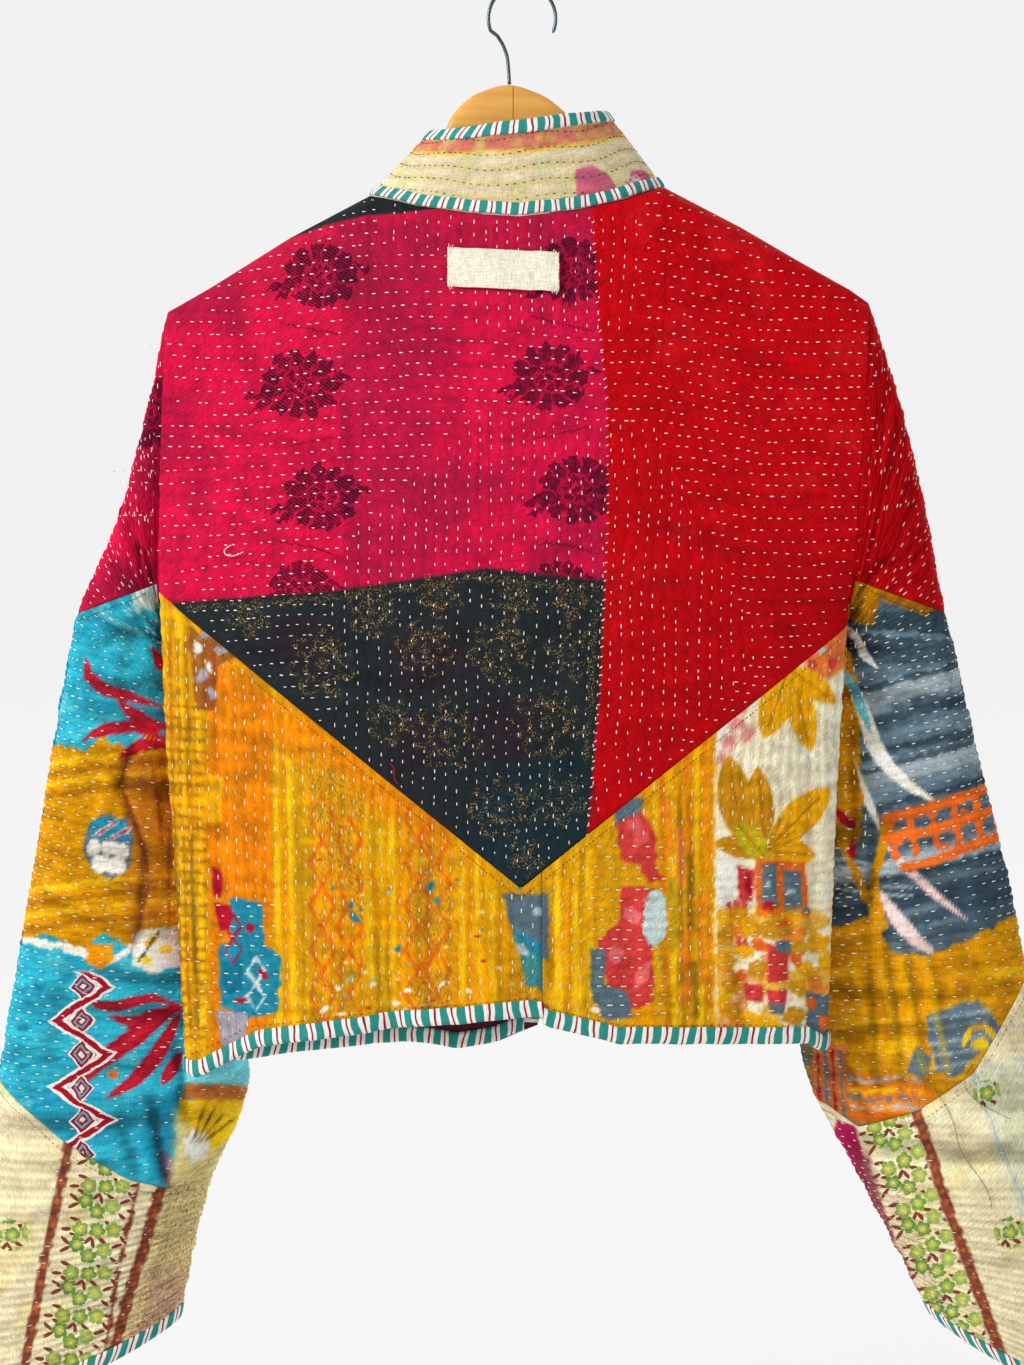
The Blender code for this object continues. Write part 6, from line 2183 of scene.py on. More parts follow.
def paint_window_figure(paint):
    """The figure like a window with two panes, and its coral bars."""
    paint.area([(716, 858), (738, 860), (737, 906), (716, 904)], "pale", rough=2)
    paint.area([(754, 858), (806, 862), (810, 920), (756, 914)], "orange", rough=2)
    paint.area([(761, 864), (776, 863), (777, 908), (761, 904)], "slate", rough=1.5)
    paint.area([(782, 869), (801, 871), (803, 909), (784, 912)], "slate", rough=1.5)
    flecks(paint, [(768, 884, 3, 4), (790, 892, 4, 2)], "slate grey", 30)
    paint.area([(737, 866), (754, 870), (752, 901), (739, 900)], "coral", rough=2)
    flecks(paint, [(768, 906, 6, 6), (748, 884, 3, 9)], "crimson", 17)
    paint.spot((807, 912), (5, 5), "slate")
    for k, x in enumerate((730, 737, 744)):
        paint.stroke([(x, 903), (x + 2, 940 + 8 * k)], 6, "coral", rough=2, strength=0.9, seed=k)


def paint_low_leaves(paint, px, py):
    """Rounded leaves and small patches below the window figure."""
    low = step(py, 900, 920) * step(px, 714, 718) * (1 - step(py, 1030, 1044))
    paint.mottle(0.7, "mustard", (22, 20), 166, (0.44, 0.52), low)
    paint.mottle(0.6, "orange", (24, 26), 168, (0.56, 0.64), low)
    for k, (middle, radii, turn, dye) in enumerate(LOW_LEAVES):
        paint.spot(middle, radii, dye, turn=turn, rough=2.5, strength=0.92, seed=k)
    flecks(paint, [
        (760, 945, 6, 9), (784, 922, 6, 5), (742, 975, 5, 7), (796, 960, 5, 8),
    ], "orange", 19)
    paint.area([(766, 944), (789, 946), (788, 980), (768, 982)], "coral", rough=2)
    paint.area([(774, 940), (791, 941), (790, 952), (776, 952)], "slate", rough=1.5)
    paint.area([(744, 984), (763, 985), (762, 1001), (746, 1001)], "coral", rough=2)
    paint.area([(767, 990), (786, 990), (784, 1010), (770, 1010)], "coral", rough=2)
    paint.area([(769, 1003), (784, 1003), (783, 1014), (771, 1014)], "slate", rough=1.5)
    paint.area([(806, 992), (834, 994), (833, 1036), (808, 1034)], "slate")
    flecks(paint, [(812, 1004, 5, 7), (824, 1022, 5, 7)], "orange", 20)


# The fronts, which aren't seen in the photo, are of the same cloths as the yoke


def paint_front_left(px, py):
    paint = Paint(px, py, DYES["pink"])
    paint.mottle(0.45, "pink shade", (60, 70), 88, (0.48, 0.7))
    paint.flowers(FRONT_FLOWERS)
    return paint.done()


def paint_front_right(px, py):
    paint = Paint(px, py, DYES["red"])
    paint.mottle(0.5, "red low", (80, 90), 89, (0.45, 0.65))
    paint.area([(460, 760), (900, 700), (900, 1100), (460, 1100)], "mustard", soft=1.0, rough=1.0)
    low = step(py, 770, 790)
    for k, x in enumerate(range(500, 850, 17)):
        away = abs(px - x) + (noise(py / 14, 0 * py + k, 90) - 0.5) * 2
        paint.everywhere(step(3 - away, -1.2, 1.2) * low * 0.8, "mustard yellow")
    return paint.done()


# Yellow stripes round the collar: share of its height, half width and strength
COLLAR_STRIPES = [
    (0.84, 0.07, 0.5), (0.66, 0.05, 0.5), (0.5, 0.05, 0.4), (0.34, 0.05, 0.5), (0.18, 0.05, 0.4),
]


def paint_collar(px, py, angle, share):
    paint = Paint(px, py, DYES["collar"])
    for level, width, strength in COLLAR_STRIPES:
        away = abs(share - level + 0.02 * (noise(angle * 8, share * 3, 91) - 0.5))
        band = step(width - away, 0, 0.03)
        paint.everywhere(band * strength, "collar yellow")
    drift = 0.03 * (noise(angle * 9, 0 * angle, 94) - 0.5)
    blotch = step(share + drift, 0.66, 0.72) * (1 - step(share, 0.84, 0.9))
    blots = step(clouds(angle * 13, share * 9, 92), 0.34, 0.56)
    paint.everywhere(blotch * 0.6, "brown orange")
    paint.everywhere(blotch * blots * 0.9, "collar rose")
    edge = step(0.02 - abs(share + drift - 0.68), 0, 0.012)
    paint.everywhere(edge * 0.55, "mustard yellow")
    paint.everywhere(0.35 * step(clouds(angle * 5, share * 4, 93), 0.6, 0.75), "green pale")
    petal = [(576, 170), (592, 166), (608, 174), (616, 186), (621, 200), (600, 206), (577, 207)]
    paint.area(petal, "petal pink", rough=1.5)
    paint.area(
        [(625, 187), (632, 170), (645, 171), (656, 186), (648, 196), (630, 196)],
        "petal pink", rough=1.5,
    )
    paint.stroke([(578, 190), (600, 186), (618, 196)], 3, "coral pink", rough=1.5, strength=0.6)
    paint.spot((634, 180), (6, 5), "pale", strength=0.5)
    return paint.done()


def paint_left_upper(px, py):
    paint = Paint(px, py, DYES["pink"])
    paint.mottle(0.5, "pink shade", (40, 50), 94, (0.42, 0.66))
    paint.flowers([(150, 412, 1.05)])
    paint.area([(60, 560), (165, 560), (165, 600), (60, 620)], "pink shade", soft=8, strength=0.4)
    return paint.done()


# Long crimson brush strokes of the left sleeve: their line and width
LEFT_STREAKS = [
    ([(86, 658), (89, 676), (105, 691), (133, 698), (168, 708)], 12),
    ([(118, 700), (133, 714), (150, 724), (170, 728)], 14),
    ([(84, 740), (104, 729), (132, 726), (170, 740)], 12),
    ([(120, 757), (141, 744), (172, 744)], 13), ([(153, 648), (160, 664), (168, 672)], 10),
    ([(84, 992), (97, 1006), (118, 1007), (134, 1002), (153, 998), (182, 1006)], 12),
    ([(110, 1017), (137, 1024), (161, 1014), (184, 1006)], 14),
    ([(78, 1088), (99, 1062), (129, 1041), (153, 1023), (182, 1008)], 19),
    ([(106, 1098), (133, 1080), (155, 1058), (167, 1038), (182, 1012)], 16),
    ([(160, 1084), (172, 1068), (184, 1052)], 13), ([(162, 1150), (168, 1166), (172, 1190)], 14),
]
# Brown blots on its mustard band
MUSTARD_BLOTS = [(50, 818), (40, 862), (150, 780), (156, 880), (100, 905), (62, 850), (140, 830)]
# Pale dots in the slate hole: middle and radii
HOLE_DOTS = [(94, 848, 8, 8), (108, 848, 8, 7), (121, 852, 8, 9), (100, 864, 9, 9), (116, 867, 10, 8)]
# Painted shade along the deep folds of the left sleeve: lines and their widths
LEFT_FOLD_SHADE = [
    ([(129, 750), (121, 786), (136, 826), (146, 856), (149, 884), (132, 950)], 4.5),
    ([(150, 757), (158, 800), (162, 850)], 4), ([(168, 760), (170, 840), (168, 920)], 5),
    ([(158, 1110), (160, 1150), (164, 1186)], 5),
]


def paint_left_middle(px, py):
    paint = Paint(px, py, DYES["turquoise bright"])
    paint.mottle(0.6, "turquoise", (40, 24), 95, (0.45, 0.68))
    paint.mottle(0.4, "turquoise pale", (26, 12), 96, (0.6, 0.75))
    paint.area([(126, 582), (166, 576), (166, 604), (138, 612)], "pale", rough=5, soft=4, strength=0.8)
    paint.stroke([(100, 612), (142, 636)], 5, "turquoise pale", rough=2, strength=0.7)
    paint_left_mustard(paint)
    paint_dotted_hole(paint)
    paint_left_edge(paint)
    paint_left_strokes(paint)
    paint.printed([(30, 972), (124, 972), (124, 1190), (30, 1190)], (82, 987), (82, 1100))
    paint_left_underarm(paint)
    return paint.done()


def paint_left_mustard(paint):
    """The mustard band with its yellow and brown lines, and painted shade over its folds."""
    mustard = [
        (36, 770), (58, 742), (84, 752), (100, 736), (124, 746), (148, 734), (176, 744), (182, 940),
        (160, 930),
    ]
    mustard += [(132, 946), (104, 932), (80, 948), (46, 934), (10, 944), (10, 850)]
    paint.area(mustard, "sleeve mustard", rough=4)
    for k, y in enumerate((756, 766, 776, 788, 880, 893, 905, 918)):
        route = [(22, y + 12), (90, y + 2), (130, y - 2), (176, y - 5)]
        paint.stroke(
            route,
            6, ("mustard yellow", "mustard brown")[k % 2], rough=1.6, strength=0.7, seed=k,
        )
    for k, spot in enumerate(MUSTARD_BLOTS):
        paint.spot(spot, (12, 4), "mustard brown", rough=3, strength=0.45, seed=k)
    # Painted shade: a soft maroon band over the sleeve's folds
    paint.area(
        [(118, 752), (150, 745), (162, 830), (158, 935), (126, 930), (132, 830)],
        "maroon", soft=12, rough=8, strength=0.3,
    )


def paint_dotted_hole(paint):
    """The slate hole in the band, with crimson lines and pale dots in it."""
    hole = [(88, 822), (104, 814), (126, 818), (134, 838), (130, 866), (112, 878), (92, 873), (82, 850)]
    paint.area(hole, "slate", soft=1.0)
    paint.area(
        [(88, 822), (104, 817), (126, 821), (130, 842), (108, 838), (92, 836)],
        "turquoise", rough=2,
    )
    for start, stop in (((98, 834), (116, 822)), ((112, 838), (130, 828))):
        paint.stroke([start, stop], 4.5, "white", rough=0.8)
        paint.stroke([start, stop], 2.4, "crimson", rough=0.8)
    for x, y, rx, ry in HOLE_DOTS:
        paint.spot((x, y), (rx, ry), "pale", soft=1.5, rough=1.5)


def paint_left_edge(paint):
    """The pale ragged edge below the band."""
    ragged = [(10, 936), (44, 944), (80, 950), (96, 962), (110, 962), (132, 948), (176, 944)]
    paint.stroke(ragged, 7, "pale", rough=2.5)
    paint.area([(86, 944), (112, 944), (116, 960), (100, 970), (88, 962)], "mustard orange")
    paint.area([(134, 934), (178, 926), (180, 966), (150, 974), (132, 966)], "pale", rough=4)
    flecks(paint, [(152, 940, 8, 4), (166, 950, 7, 5), (146, 960, 6, 4)], "mustard yellow", 23)
    paint.stroke([(138, 962), (158, 932)], 2.4, "slate dark")


def paint_left_strokes(paint):
    """Crimson strokes, and painted shade along the deep folds."""
    for k, (points, width) in enumerate(LEFT_STREAKS):
        paint.stroke(points, width, "crimson", soft=1.2, rough=0.8, brush=True, seed=k)
        paint.stroke(points, width * 0.4, "coral", soft=2.0, strength=0.35, brush=True, seed=k)
    # Painted shade in maroon along the deep folds
    for k, (points, width) in enumerate(LEFT_FOLD_SHADE):
        paint.stroke(points, width, "maroon", soft=1.6, rough=1.2, strength=0.5, brush=True, seed=k)
    paint.spot((113, 1074), (5, 4), "orange")
    for k, y in enumerate((970, 1008, 1046, 1090, 1130)):
        paint.stroke([(20, y + 20), (70, y + 8)], 5, "turquoise deep", rough=3, strength=0.5, seed=k)
    paint.area(
        [(150, 1100), (182, 1090), (182, 1185), (150, 1180)],
        "turquoise deep", soft=10, rough=6, strength=0.6,
    )


def paint_left_underarm(paint):
    """Three more cloths on the underarm side, one with a pale flower."""
    paint.area([(184, 1045), (260, 1045), (260, 1088), (184, 1082)], "turquoise pale", rough=2)
    paint.area([(184, 1082), (260, 1086), (260, 1104), (184, 1100)], "brown orange", rough=2)
    paint.area([(180, 1100), (260, 1100), (260, 1180), (176, 1190)], "mustard yellow", rough=2)
    paint.area([(176, 1110), (214, 1150), (200, 1190), (170, 1190)], "sleeve yellow", soft=6, rough=4)
    for k in range(7):
        turn = 2 * math.pi * k / 7
        tip = 196 + 15 * math.cos(turn), 1146 + 17 * math.sin(turn)
        paint.leaf((196, 1146), tip, 4.5, "pale", seed=k)
    for k in range(4):
        paint.stroke([(194 + 4 * k, 1140), (206 + 9 * k, 1104 + 5 * k)], 1.8, "olive", seed=k)


def paint_left_lower(px, py):
    paint = Paint(px, py, DYES["sleeve cream"])
    paint.mottle(0.5, "sleeve yellow", (26, 40), 97, (0.5, 0.7))
    paint.area(
        [(166, 1180), (260, 1120), (250, 1365), (110, 1400)],
        "sleeve yellow", soft=6, strength=0.9,
    )
    paint.area(
        [(168, 1185), (228, 1180), (202, 1330), (112, 1400)],
        "dashes", soft=6, rough=5, strength=0.85,
    )
    paint.area(
        [(150, 1270), (200, 1270), (180, 1350), (120, 1400)],
        "rose", soft=16, rough=6, strength=0.4,
    )
    for points, width in (
        ([(70, 1140), (47, 1250), (25, 1365), (18, 1400)], 9),
        ([(140, 1178), (118, 1270), (98, 1400)], 4),
        ([(163, 1184), (136, 1270), (108, 1370), (100, 1400)], 11),
    ):
        paint.stroke(points, width, "brown", rough=1.6)
    for start, stop in (((66, 1160), (20, 1390)), ((160, 1196), (104, 1390))):
        for t in np.linspace(0, 1, 12):
            middle = start[0] + (stop[0] - start[0]) * t, start[1] + (stop[1] - start[1]) * t
            paint.spot(middle, (2.2, 4.5), "brown orange", rough=1, strength=0.7)
    border = [(71, 1150), (138, 1160), (142, 1182), (90, 1420), (18, 1420), (50, 1260)]
    paint.printed(border, (106, 1176), (58, 1414))
    paint.sprig((12, 1235), 17)
    paint.area([(184, 1080), (260, 1086), (260, 1104), (184, 1100)], "brown orange", rough=2)
    return paint.done()


def paint_right_upper(px, py):
    paint = Paint(px, py, DYES["red"])
    paint.mottle(0.5, "red low", (50, 60), 98, (0.45, 0.65))
    return paint.done()


# Printed brush strokes of the right sleeve: their line, width and dye
RIGHT_STREAKS = [
    ([(843, 618), (854, 636), (863, 654), (877, 668)], 9, "pale"),
    ([(838, 660), (850, 684), (864, 714), (874, 744), (890, 768), (912, 788), (937, 803)], 15, "pale"),
    ([(838, 660), (850, 684), (862, 710), (870, 732)], 11, "turquoise pale"),
    ([(845, 742), (858, 778), (870, 806), (880, 832)], 9, "pale"),
    ([(884, 842), (904, 866), (930, 890), (966, 919)], 9, "rose pale"),
    ([(878, 890), (896, 916), (914, 938), (938, 956)], 15, "rose pale"),
]
# Straps of mustard, with their widths
RIGHT_STRAPS = [
    ([(834, 815), (850, 862), (874, 914), (880, 940)], 8),
    ([(884, 822), (882, 850), (872, 884), (884, 926)], 9),
    ([(838, 735), (848, 770), (856, 800)], 17),
]
# Lines of the lattice that cross its upright bars
ORANGE_LATTICE = [
    [(884, 820), (920, 812), (955, 800), (996, 786)],
    [(888, 838), (925, 833), (960, 822), (1000, 808)],
    [(905, 868), (930, 862), (962, 850), (1002, 834)],
]
# Level bands of the slate cloth: py at its left and right, width and dye
SLATE_BANDS = [
    (640, 618, 40, "slate dark"), (632, 640, 6, "slate blue"), (702, 674, 24, "slate grey"),
    (690, 664, 6, "slate dark"), (724, 700, 9, "slate dark"), (742, 716, 12, "slate blue"),
    (756, 734, 8, "slate dark"), (780, 756, 24, "slate grey"), (772, 744, 6, "slate dark"),
    (798, 772, 12, "slate blue"), (812, 786, 7, "slate dark"), (874, 848, 18, "slate grey"),
    (886, 862, 7, "slate dark"), (912, 886, 16, "slate dark"), (938, 905, 12, "slate dark"),
]


def paint_right_middle(px, py):
    paint = Paint(px, py, DYES["slate"])
    bands = noise(py / 9 + px / 160, px / 90, 99)
    paint.everywhere(0.5 * step(bands, 0.42, 0.62), "slate dark")
    paint.everywhere(0.35 * step(noise(py / 7 + px / 150, px / 60, 100), 0.62, 0.8), "slate blue")
    paint_slate_bands(paint)
    paint_right_top(paint)
    paint_right_prints(paint)
    paint_right_mustard(paint, px, py)
    paint_mended_patch(paint)
    paint_right_foot(paint)
    return paint.done()


def paint_slate_bands(paint):
    for k, (left, right, width, dye) in enumerate(SLATE_BANDS):
        route = [
            (832, left + 5), (868, left), (915, (left + right) / 2 - 1), (965, right),
            (1010, right - 12),
        ]
        paint.stroke(route, width, dye, soft=width * 0.22, rough=2.5, strength=0.75, seed=k)


def paint_right_top(paint):
    """The mustard shapes at the sleeve's top and along its inner side."""
    paint.area(
        [(840, 566), (905, 566), (945, 604), (925, 616), (880, 598), (872, 628), (840, 614)],
        "mustard brown", rough=2,
    )
    paint.area(
        [(848, 574), (900, 572), (922, 604), (880, 592), (866, 612), (848, 606)],
        "sleeve mustard", strength=0.85,
    )
    paint.area(
        [(836, 640), (852, 660), (858, 700), (862, 790), (858, 840), (836, 850)],
        "sleeve mustard", rough=5,
    )
    for k, y in enumerate((858, 866, 880, 888)):
        paint.stroke(
            [(832, y), (870, y + 6), (912, y + 8)],
            2.8, "slate grey", rough=0.8, strength=0.8, seed=k,
        )


def paint_right_prints(paint):
    """Pale brush strokes, mustard straps and an orange lattice."""
    for k, (points, width, dye) in enumerate(RIGHT_STREAKS):
        paint.stroke(points, width, dye, soft=1.3, rough=0.6, brush=True, seed=k)
    for points, width in RIGHT_STRAPS:
        paint.stroke(points, width, "sleeve mustard", rough=1.6)
    flecks(paint, [(844, 820, 5, 12), (852, 850, 4, 9)], "crimson", 27)
    for points in ORANGE_LATTICE:
        paint.stroke(points, 10, "orange", rough=1.8)
    for k, x in enumerate((888, 908, 930, 952, 974, 992)):
        paint.stroke(
            [(x, 816 - (x - 884) * 0.28), (x + 8, 858 - (x - 884) * 0.2)],
            7, "orange", rough=2.0, seed=k,
        )
    flecks(paint, [(900, 842, 5, 3), (945, 846, 5, 3), (965, 812, 5, 3)], "orange", 25)


def paint_right_mustard(paint, px, py):
    """The mustard cloth of the sleeve's lower half, with painted shade between its puffs and painted
    highlights on them.
    """
    low = [
        (828, 930), (870, 915), (890, 950), (930, 958), (975, 935), (1030, 905), (1030, 1100),
        (820, 1150),
    ]
    paint.area(low, "sleeve mustard", rough=5)
    # Painted shade between the quilted puffs
    puff_shade = noise(px / 8, py / 9, 171) * step(py, 945, 965)
    paint.everywhere(0.55 * step(puff_shade, 0.46, 0.7), "mustard brown")
    # Painted shade in streaks between the puckers
    pucker_shade_and_glint = step(noise(py / 8 + px / 90, px / 70, 101), 0.55, 0.75)
    paint.everywhere(0.7 * step(py, 940, 960) * pucker_shade_and_glint, "leaf brown")
    # Painted highlights on the puckers
    pucker_shade_and_glint = step(noise(py / 7 + px / 80, px / 60, 102), 0.62, 0.8)
    paint.everywhere(0.5 * step(py, 950, 970) * pucker_shade_and_glint, "mustard yellow")


def paint_mended_patch(paint):
    """The slate patch with grey lines and a yellow figure."""
    slate_patch = [
        (925, 1016), (952, 1006), (978, 1000), (1000, 1026), (996, 1040), (978, 1054), (953, 1080),
        (936, 1070),
    ]
    paint.area(slate_patch, "slate")
    for k, y in enumerate((1016, 1026, 1040, 1052, 1064)):
        paint.stroke([(930, y + 4), (960, y), (990, y - 6)], 2.6, "slate grey", strength=0.7, seed=k)
    paint.stroke([(964, 1044), (970, 1030), (984, 1026), (994, 1036)], 5, "mustard yellow")
    paint.spot((980, 1044), (8, 6), "mustard yellow", rough=1.5)
    paint.area([(916, 1046), (932, 1058), (925, 1078), (906, 1072)], "slate", rough=2)


def paint_right_foot(paint):
    """Orange and striped scraps at the foot."""
    paint.area([
        (840, 1070), (880, 1074), (925, 1084), (936, 1098), (900, 1118), (860, 1134), (842, 1120),
    ], "orange", soft=4, rough=4, strength=0.6)
    for k in range(6):
        y = 1076 + 9 * k
        dye = ("slate grey", "mustard yellow", "slate", "slate grey", "orange", "slate")[k]
        paint.stroke(
            [(842, y), (866, y + 6), (900, y + 2), (924, y + 6)],
            4, dye, rough=2.4, strength=0.8, seed=k,
        )
    for k, x in enumerate((868, 894, 915, 940)):
        paint.stroke(
            [(x - 14, 960), (x - 4, 1010), (x + 8, 1070)],
            7, "mustard yellow", soft=3, rough=2, strength=0.35, seed=k,
        )
    paint.area([(812, 1040), (846, 1046), (850, 1126), (812, 1120)], "brown orange")
    for k in range(4):
        dye = ("crimson", "slate")[k % 2]
        paint.stroke([(818 + 7 * k, 1050), (822 + 8 * k, 1124)], 2.6, dye, rough=1.5, seed=k)


def paint_right_lower(px, py):
    paint = Paint(px, py, DYES["sleeve cream"])
    paint.mottle(0.5, "sleeve yellow", (26, 40), 103, (0.5, 0.7))
    paint.area(
        [(968, 1066), (1040, 1050), (1100, 1365), (1030, 1250)],
        "light blue", soft=5, strength=0.35,
    )
    paint.stroke(
        [(968, 1066), (998, 1140), (1022, 1197), (1050, 1260)],
        2.6, "slate grey", strength=0.8,
    )
    border = [(915, 1105), (938, 1180), (968, 1262), (1005, 1365), (1018, 1400)]
    paint.stroke(border, 11, "brown", rough=1.6)
    for (ax, ay), (bx, by) in zip(border, border[1:]):
        for t in np.linspace(0, 1, 7, endpoint=False):
            middle = ax + (bx - ax) * t, ay + (by - ay) * t
            paint.spot(middle, (2.4, 2.8), "brown orange", rough=0.8, strength=0.7)
    edge = [(836, 1118), (854, 1128), (872, 1200), (892, 1262), (916, 1320), (880, 1340), (830, 1160)]
    paint.area(edge, "magenta")
    paint.area(
        [(850, 1150), (868, 1160), (896, 1240), (936, 1330), (900, 1330), (864, 1220)],
        "maroon", soft=4, rough=4, strength=0.85,
    )
    paint.area(
        [(884, 1150), (900, 1180), (930, 1260), (964, 1340), (944, 1340), (900, 1230)],
        "dashes", soft=5, strength=0.7,
    )
    border = [
        (838, 1108), (908, 1096), (932, 1180), (962, 1262), (1010, 1400), (960, 1400), (905, 1300),
        (868, 1210),
    ]
    paint.printed(border, (884, 1110), (974, 1370))
    paint.sprig((987, 1093), 15)
    paint.sprig((1010, 1232), 17)
    return paint.done()


SLEEVE_PAINTS = {
    "sleeve_left_upper": paint_left_upper,
    "sleeve_left_middle": paint_left_middle,
    "sleeve_left_lower": paint_left_lower,
    "sleeve_right_upper": paint_right_upper,
    "sleeve_right_middle": paint_right_middle,
    "sleeve_right_lower": paint_right_lower,
}


# Stitches


def body_stitches(name, face, x, height, ahead, relief, sizes, material):
    """Stitches at places of the body that point ahead, by steps in x and height.

    sizes are their lengths and widths.
    """

    def place(a, b):
        across = across_at(a, b)
        normals = body_normal(face, across, b)
        return body_point(face, across, b) + normals * relief(a, b)[:, None], normals

    centre, normals = place(x, height)
    further, _ = place(x + ahead[:, 0], height + ahead[:, 1])
    stitches(name, centre, unit(further - centre), normals, *sizes, material)


def varied(count, middle, spread, seed):
    """Sizes that differ from stitch to stitch."""
    k = np.arange(count)
    return middle + spread * (lattice(k, 7 * k + 1, seed) - 0.5) * 2


def stitch_sizes(count, length, width, seed):
    return varied(count, length, length * 0.34, seed), varied(count, width, width * 0.14, seed + 1)


def pairs(rows, columns):
    """Each row's number with each column's."""
    return [numbers.ravel() for numbers in np.meshgrid(rows, columns, indexing="ij")]


def row_places(low, high, pitch, start, stop, gap, seed):
    """Row numbers and places along them, a little uneven. Each row starts elsewhere."""
    rows = np.arange(math.ceil(low / pitch), math.floor(high / pitch) + 1)
    columns = np.arange(math.floor((stop - start) / gap))
    row, column = pairs(rows, columns)
    shift = lattice(row, 3 * row, seed) + 0.5 * (lattice(row, column, seed + 1) - 0.5)
    stretch = 1 + 0.16 * (lattice(row, 5 * row, seed + 2) - 0.5)
    return row.astype(float), start + (column + shift) * gap * stretch


def unworn(row, place, seed):
    """A few stitches are missing, where the thread has worn through."""
    return lattice(np.asarray(row, int), np.asarray(place * 3, int), seed) < 0.94


def settle(phase, row, pitch):
    """The places where a phase comes to each row's number."""
    place = row * pitch
    for _ in range(6):
        place = place + (row - phase(place)) * pitch
    return place


def level_and_upright(phases, spans, pitch, gaps, seed):
    """Places on level rows and on upright rows, as (x, height) pairs of arrays.

    phases gives the level and the upright phase. spans are the ends in x and in height.
    """
    row, x = row_places(*spans[1], pitch, *spans[0], gaps[0], seed)
    height = settle(lambda h: phases(x, h)[0], row, pitch)
    up_row, up_height = row_places(*spans[0], pitch, *spans[1], gaps[1], seed + 10)
    up_x = settle(lambda a: phases(a, up_height)[1], up_row, pitch)
    return (x, height, row), (up_x, up_height, up_row)


def two_way_stitches(name, places, level_share, edge, relief, sizes, seed, material):
    """Level stitches where level_share is 1 and upright ones where it is 0.

    edge gives how far a place lies inside the cloth, and sizes a stitch's length and width.
    """
    (x, height, row), (up_x, up_height, up_row) = places
    keep = (edge(x, height) > 0) & (level_share(x, height) >= 0.5) & unworn(row, x, seed)
    up = (edge(up_x, up_height) > 0) & (level_share(up_x, up_height) < 0.5)
    up &= unworn(up_row, up_height, seed)
    x, height = np.concatenate([x[keep], up_x[up]]), np.concatenate([height[keep], up_height[up]])
    number = np.arange(len(x))
    tilt = 0.1 * (lattice(number, number, seed + 1) - 0.5)
    ahead = np.stack([np.ones(len(x)), tilt], axis=1)
    ahead[keep.sum() :] = ahead[keep.sum() :, ::-1]
    sizes = stitch_sizes(len(x), *sizes, seed + 2)
    body_stitches(name, BACK, x, height, ahead, relief, sizes, material)


def make_yoke_stitches(material):
    def level_share(x, height):
        return 1 - areas_share(UPRIGHT_ROWS, *flat_photo_place(x, height), 2)

    def edge(x, height):
        return yoke_edge(x, height) - 3

    spans = (-240, 250), (-640, -120)
    places = level_and_upright(yoke_phases, spans, YOKE_PITCH, (7.9, 8.8), 111)
    ways = level_share, edge, yoke_relief
    two_way_stitches("yoke_stitches", places, *ways, (2.5, 0.64), 115, material)


def make_lower_stitches(side, name, material):

    def level_share(x, height):
        return areas_share(LEVEL_ROWS, *flat_photo_place(x, height), 2)

    def phases(x, height):
        upright, level = lower_phases(x, height)
        return level, upright

    def edge(x, height):
        return lower_edge(side, x, height) - 3.5

    spans = (-20, 246) if side == LEFT else (-240, -20), (-745, -405)
    places = level_and_upright(phases, spans, BACK_PITCH, (9.5, 11.5), 121 + side)
    ways = level_share, edge, partial(lower_relief, side)
    two_way_stitches(f"lower_{name}_stitches", places, *ways, (3.8, 0.8), 125, material)


def make_front_stitches(material):
    row, x = row_places(-745, -130, YOKE_PITCH, -240, 250, 9.0, 131)
    height = settle(partial(front_phase, x), row, YOKE_PITCH)
    middle = opening_x(height)
    hems = [height_at(HEM_LINE[FRONT, side], x) for side in (LEFT, RIGHT)]
    top = height_at(TOP_LINE[FRONT], x)
    keep = (abs(across_at(x, height)) < 0.985) & (height < top - 9) & (abs(x - middle) > 15)
    keep &= height > np.where(x > middle, *hems) + 14
    x, height = x[keep], height[keep]
    ahead = np.tile([1.0, 0.0], (len(x), 1))
    sizes = stitch_sizes(len(x), 2.6, 0.64, 132)
    body_stitches("front_stitches", FRONT, x, height, ahead, front_relief, sizes, material)


def sleeve_surface(side, along, angle):
    place = side, along, angle
    return sleeve_point(*place) + sleeve_normal(*place) * sleeve_relief(*place)[:, None]


def stitches_on_sleeve(name, side, along, angle, ahead, sizes, material):
    """Stitches at places of a sleeve that point ahead, by steps along it and round it."""
    centre = sleeve_surface(side, along, angle)
    directions = unit(sleeve_surface(side, along + ahead[0], angle + ahead[1]) - centre)
    normals = sleeve_normal(side, along, angle)
    stitches(name, centre, directions, normals, *sizes, material)


def make_sleeve_stitches(side, name, material):
    rows = np.arange(2, int(SLEEVE_LENGTH / SLEEVE_PITCH) - 2)
    row, column = pairs(rows, np.arange(SLEEVE_STITCHES))
    shift = lattice(row, 5 * row, 141 + side) + 0.4 * (lattice(row, column, 142) - 0.5)
    angle = np.mod((column + shift) / SLEEVE_STITCHES * 2 * np.pi, 2 * np.pi)
    along = settle(lambda a: sleeve_phase(side, a, angle), row, SLEEVE_PITCH)
    clear = (along > 10) & (along < SLEEVE_LENGTH - 14)
    for seam in SLEEVE_SEAMS[side]:
        clear &= abs(along - seam_along(side, seam, angle)) > 4
    here = sleeve_point(side, along, angle)
    spacing = np.linalg.norm(sleeve_point(side, along + SLEEVE_PITCH, angle) - here, axis=1)
    share = np.clip((spacing - 1.5) / 4.2, 0, 0.94) * (0.5 + 0.5 * step(along, 150, 330))
    clear &= lattice(row, column, 143) < share
    along, angle = along[clear], angle[clear]
    sizes = stitch_sizes(len(along), 3.4, 0.7, 144)
    node = f"sleeve_{name}_stitches"
    stitches_on_sleeve(node, side, along, angle, (0.0, 0.01), sizes, material)


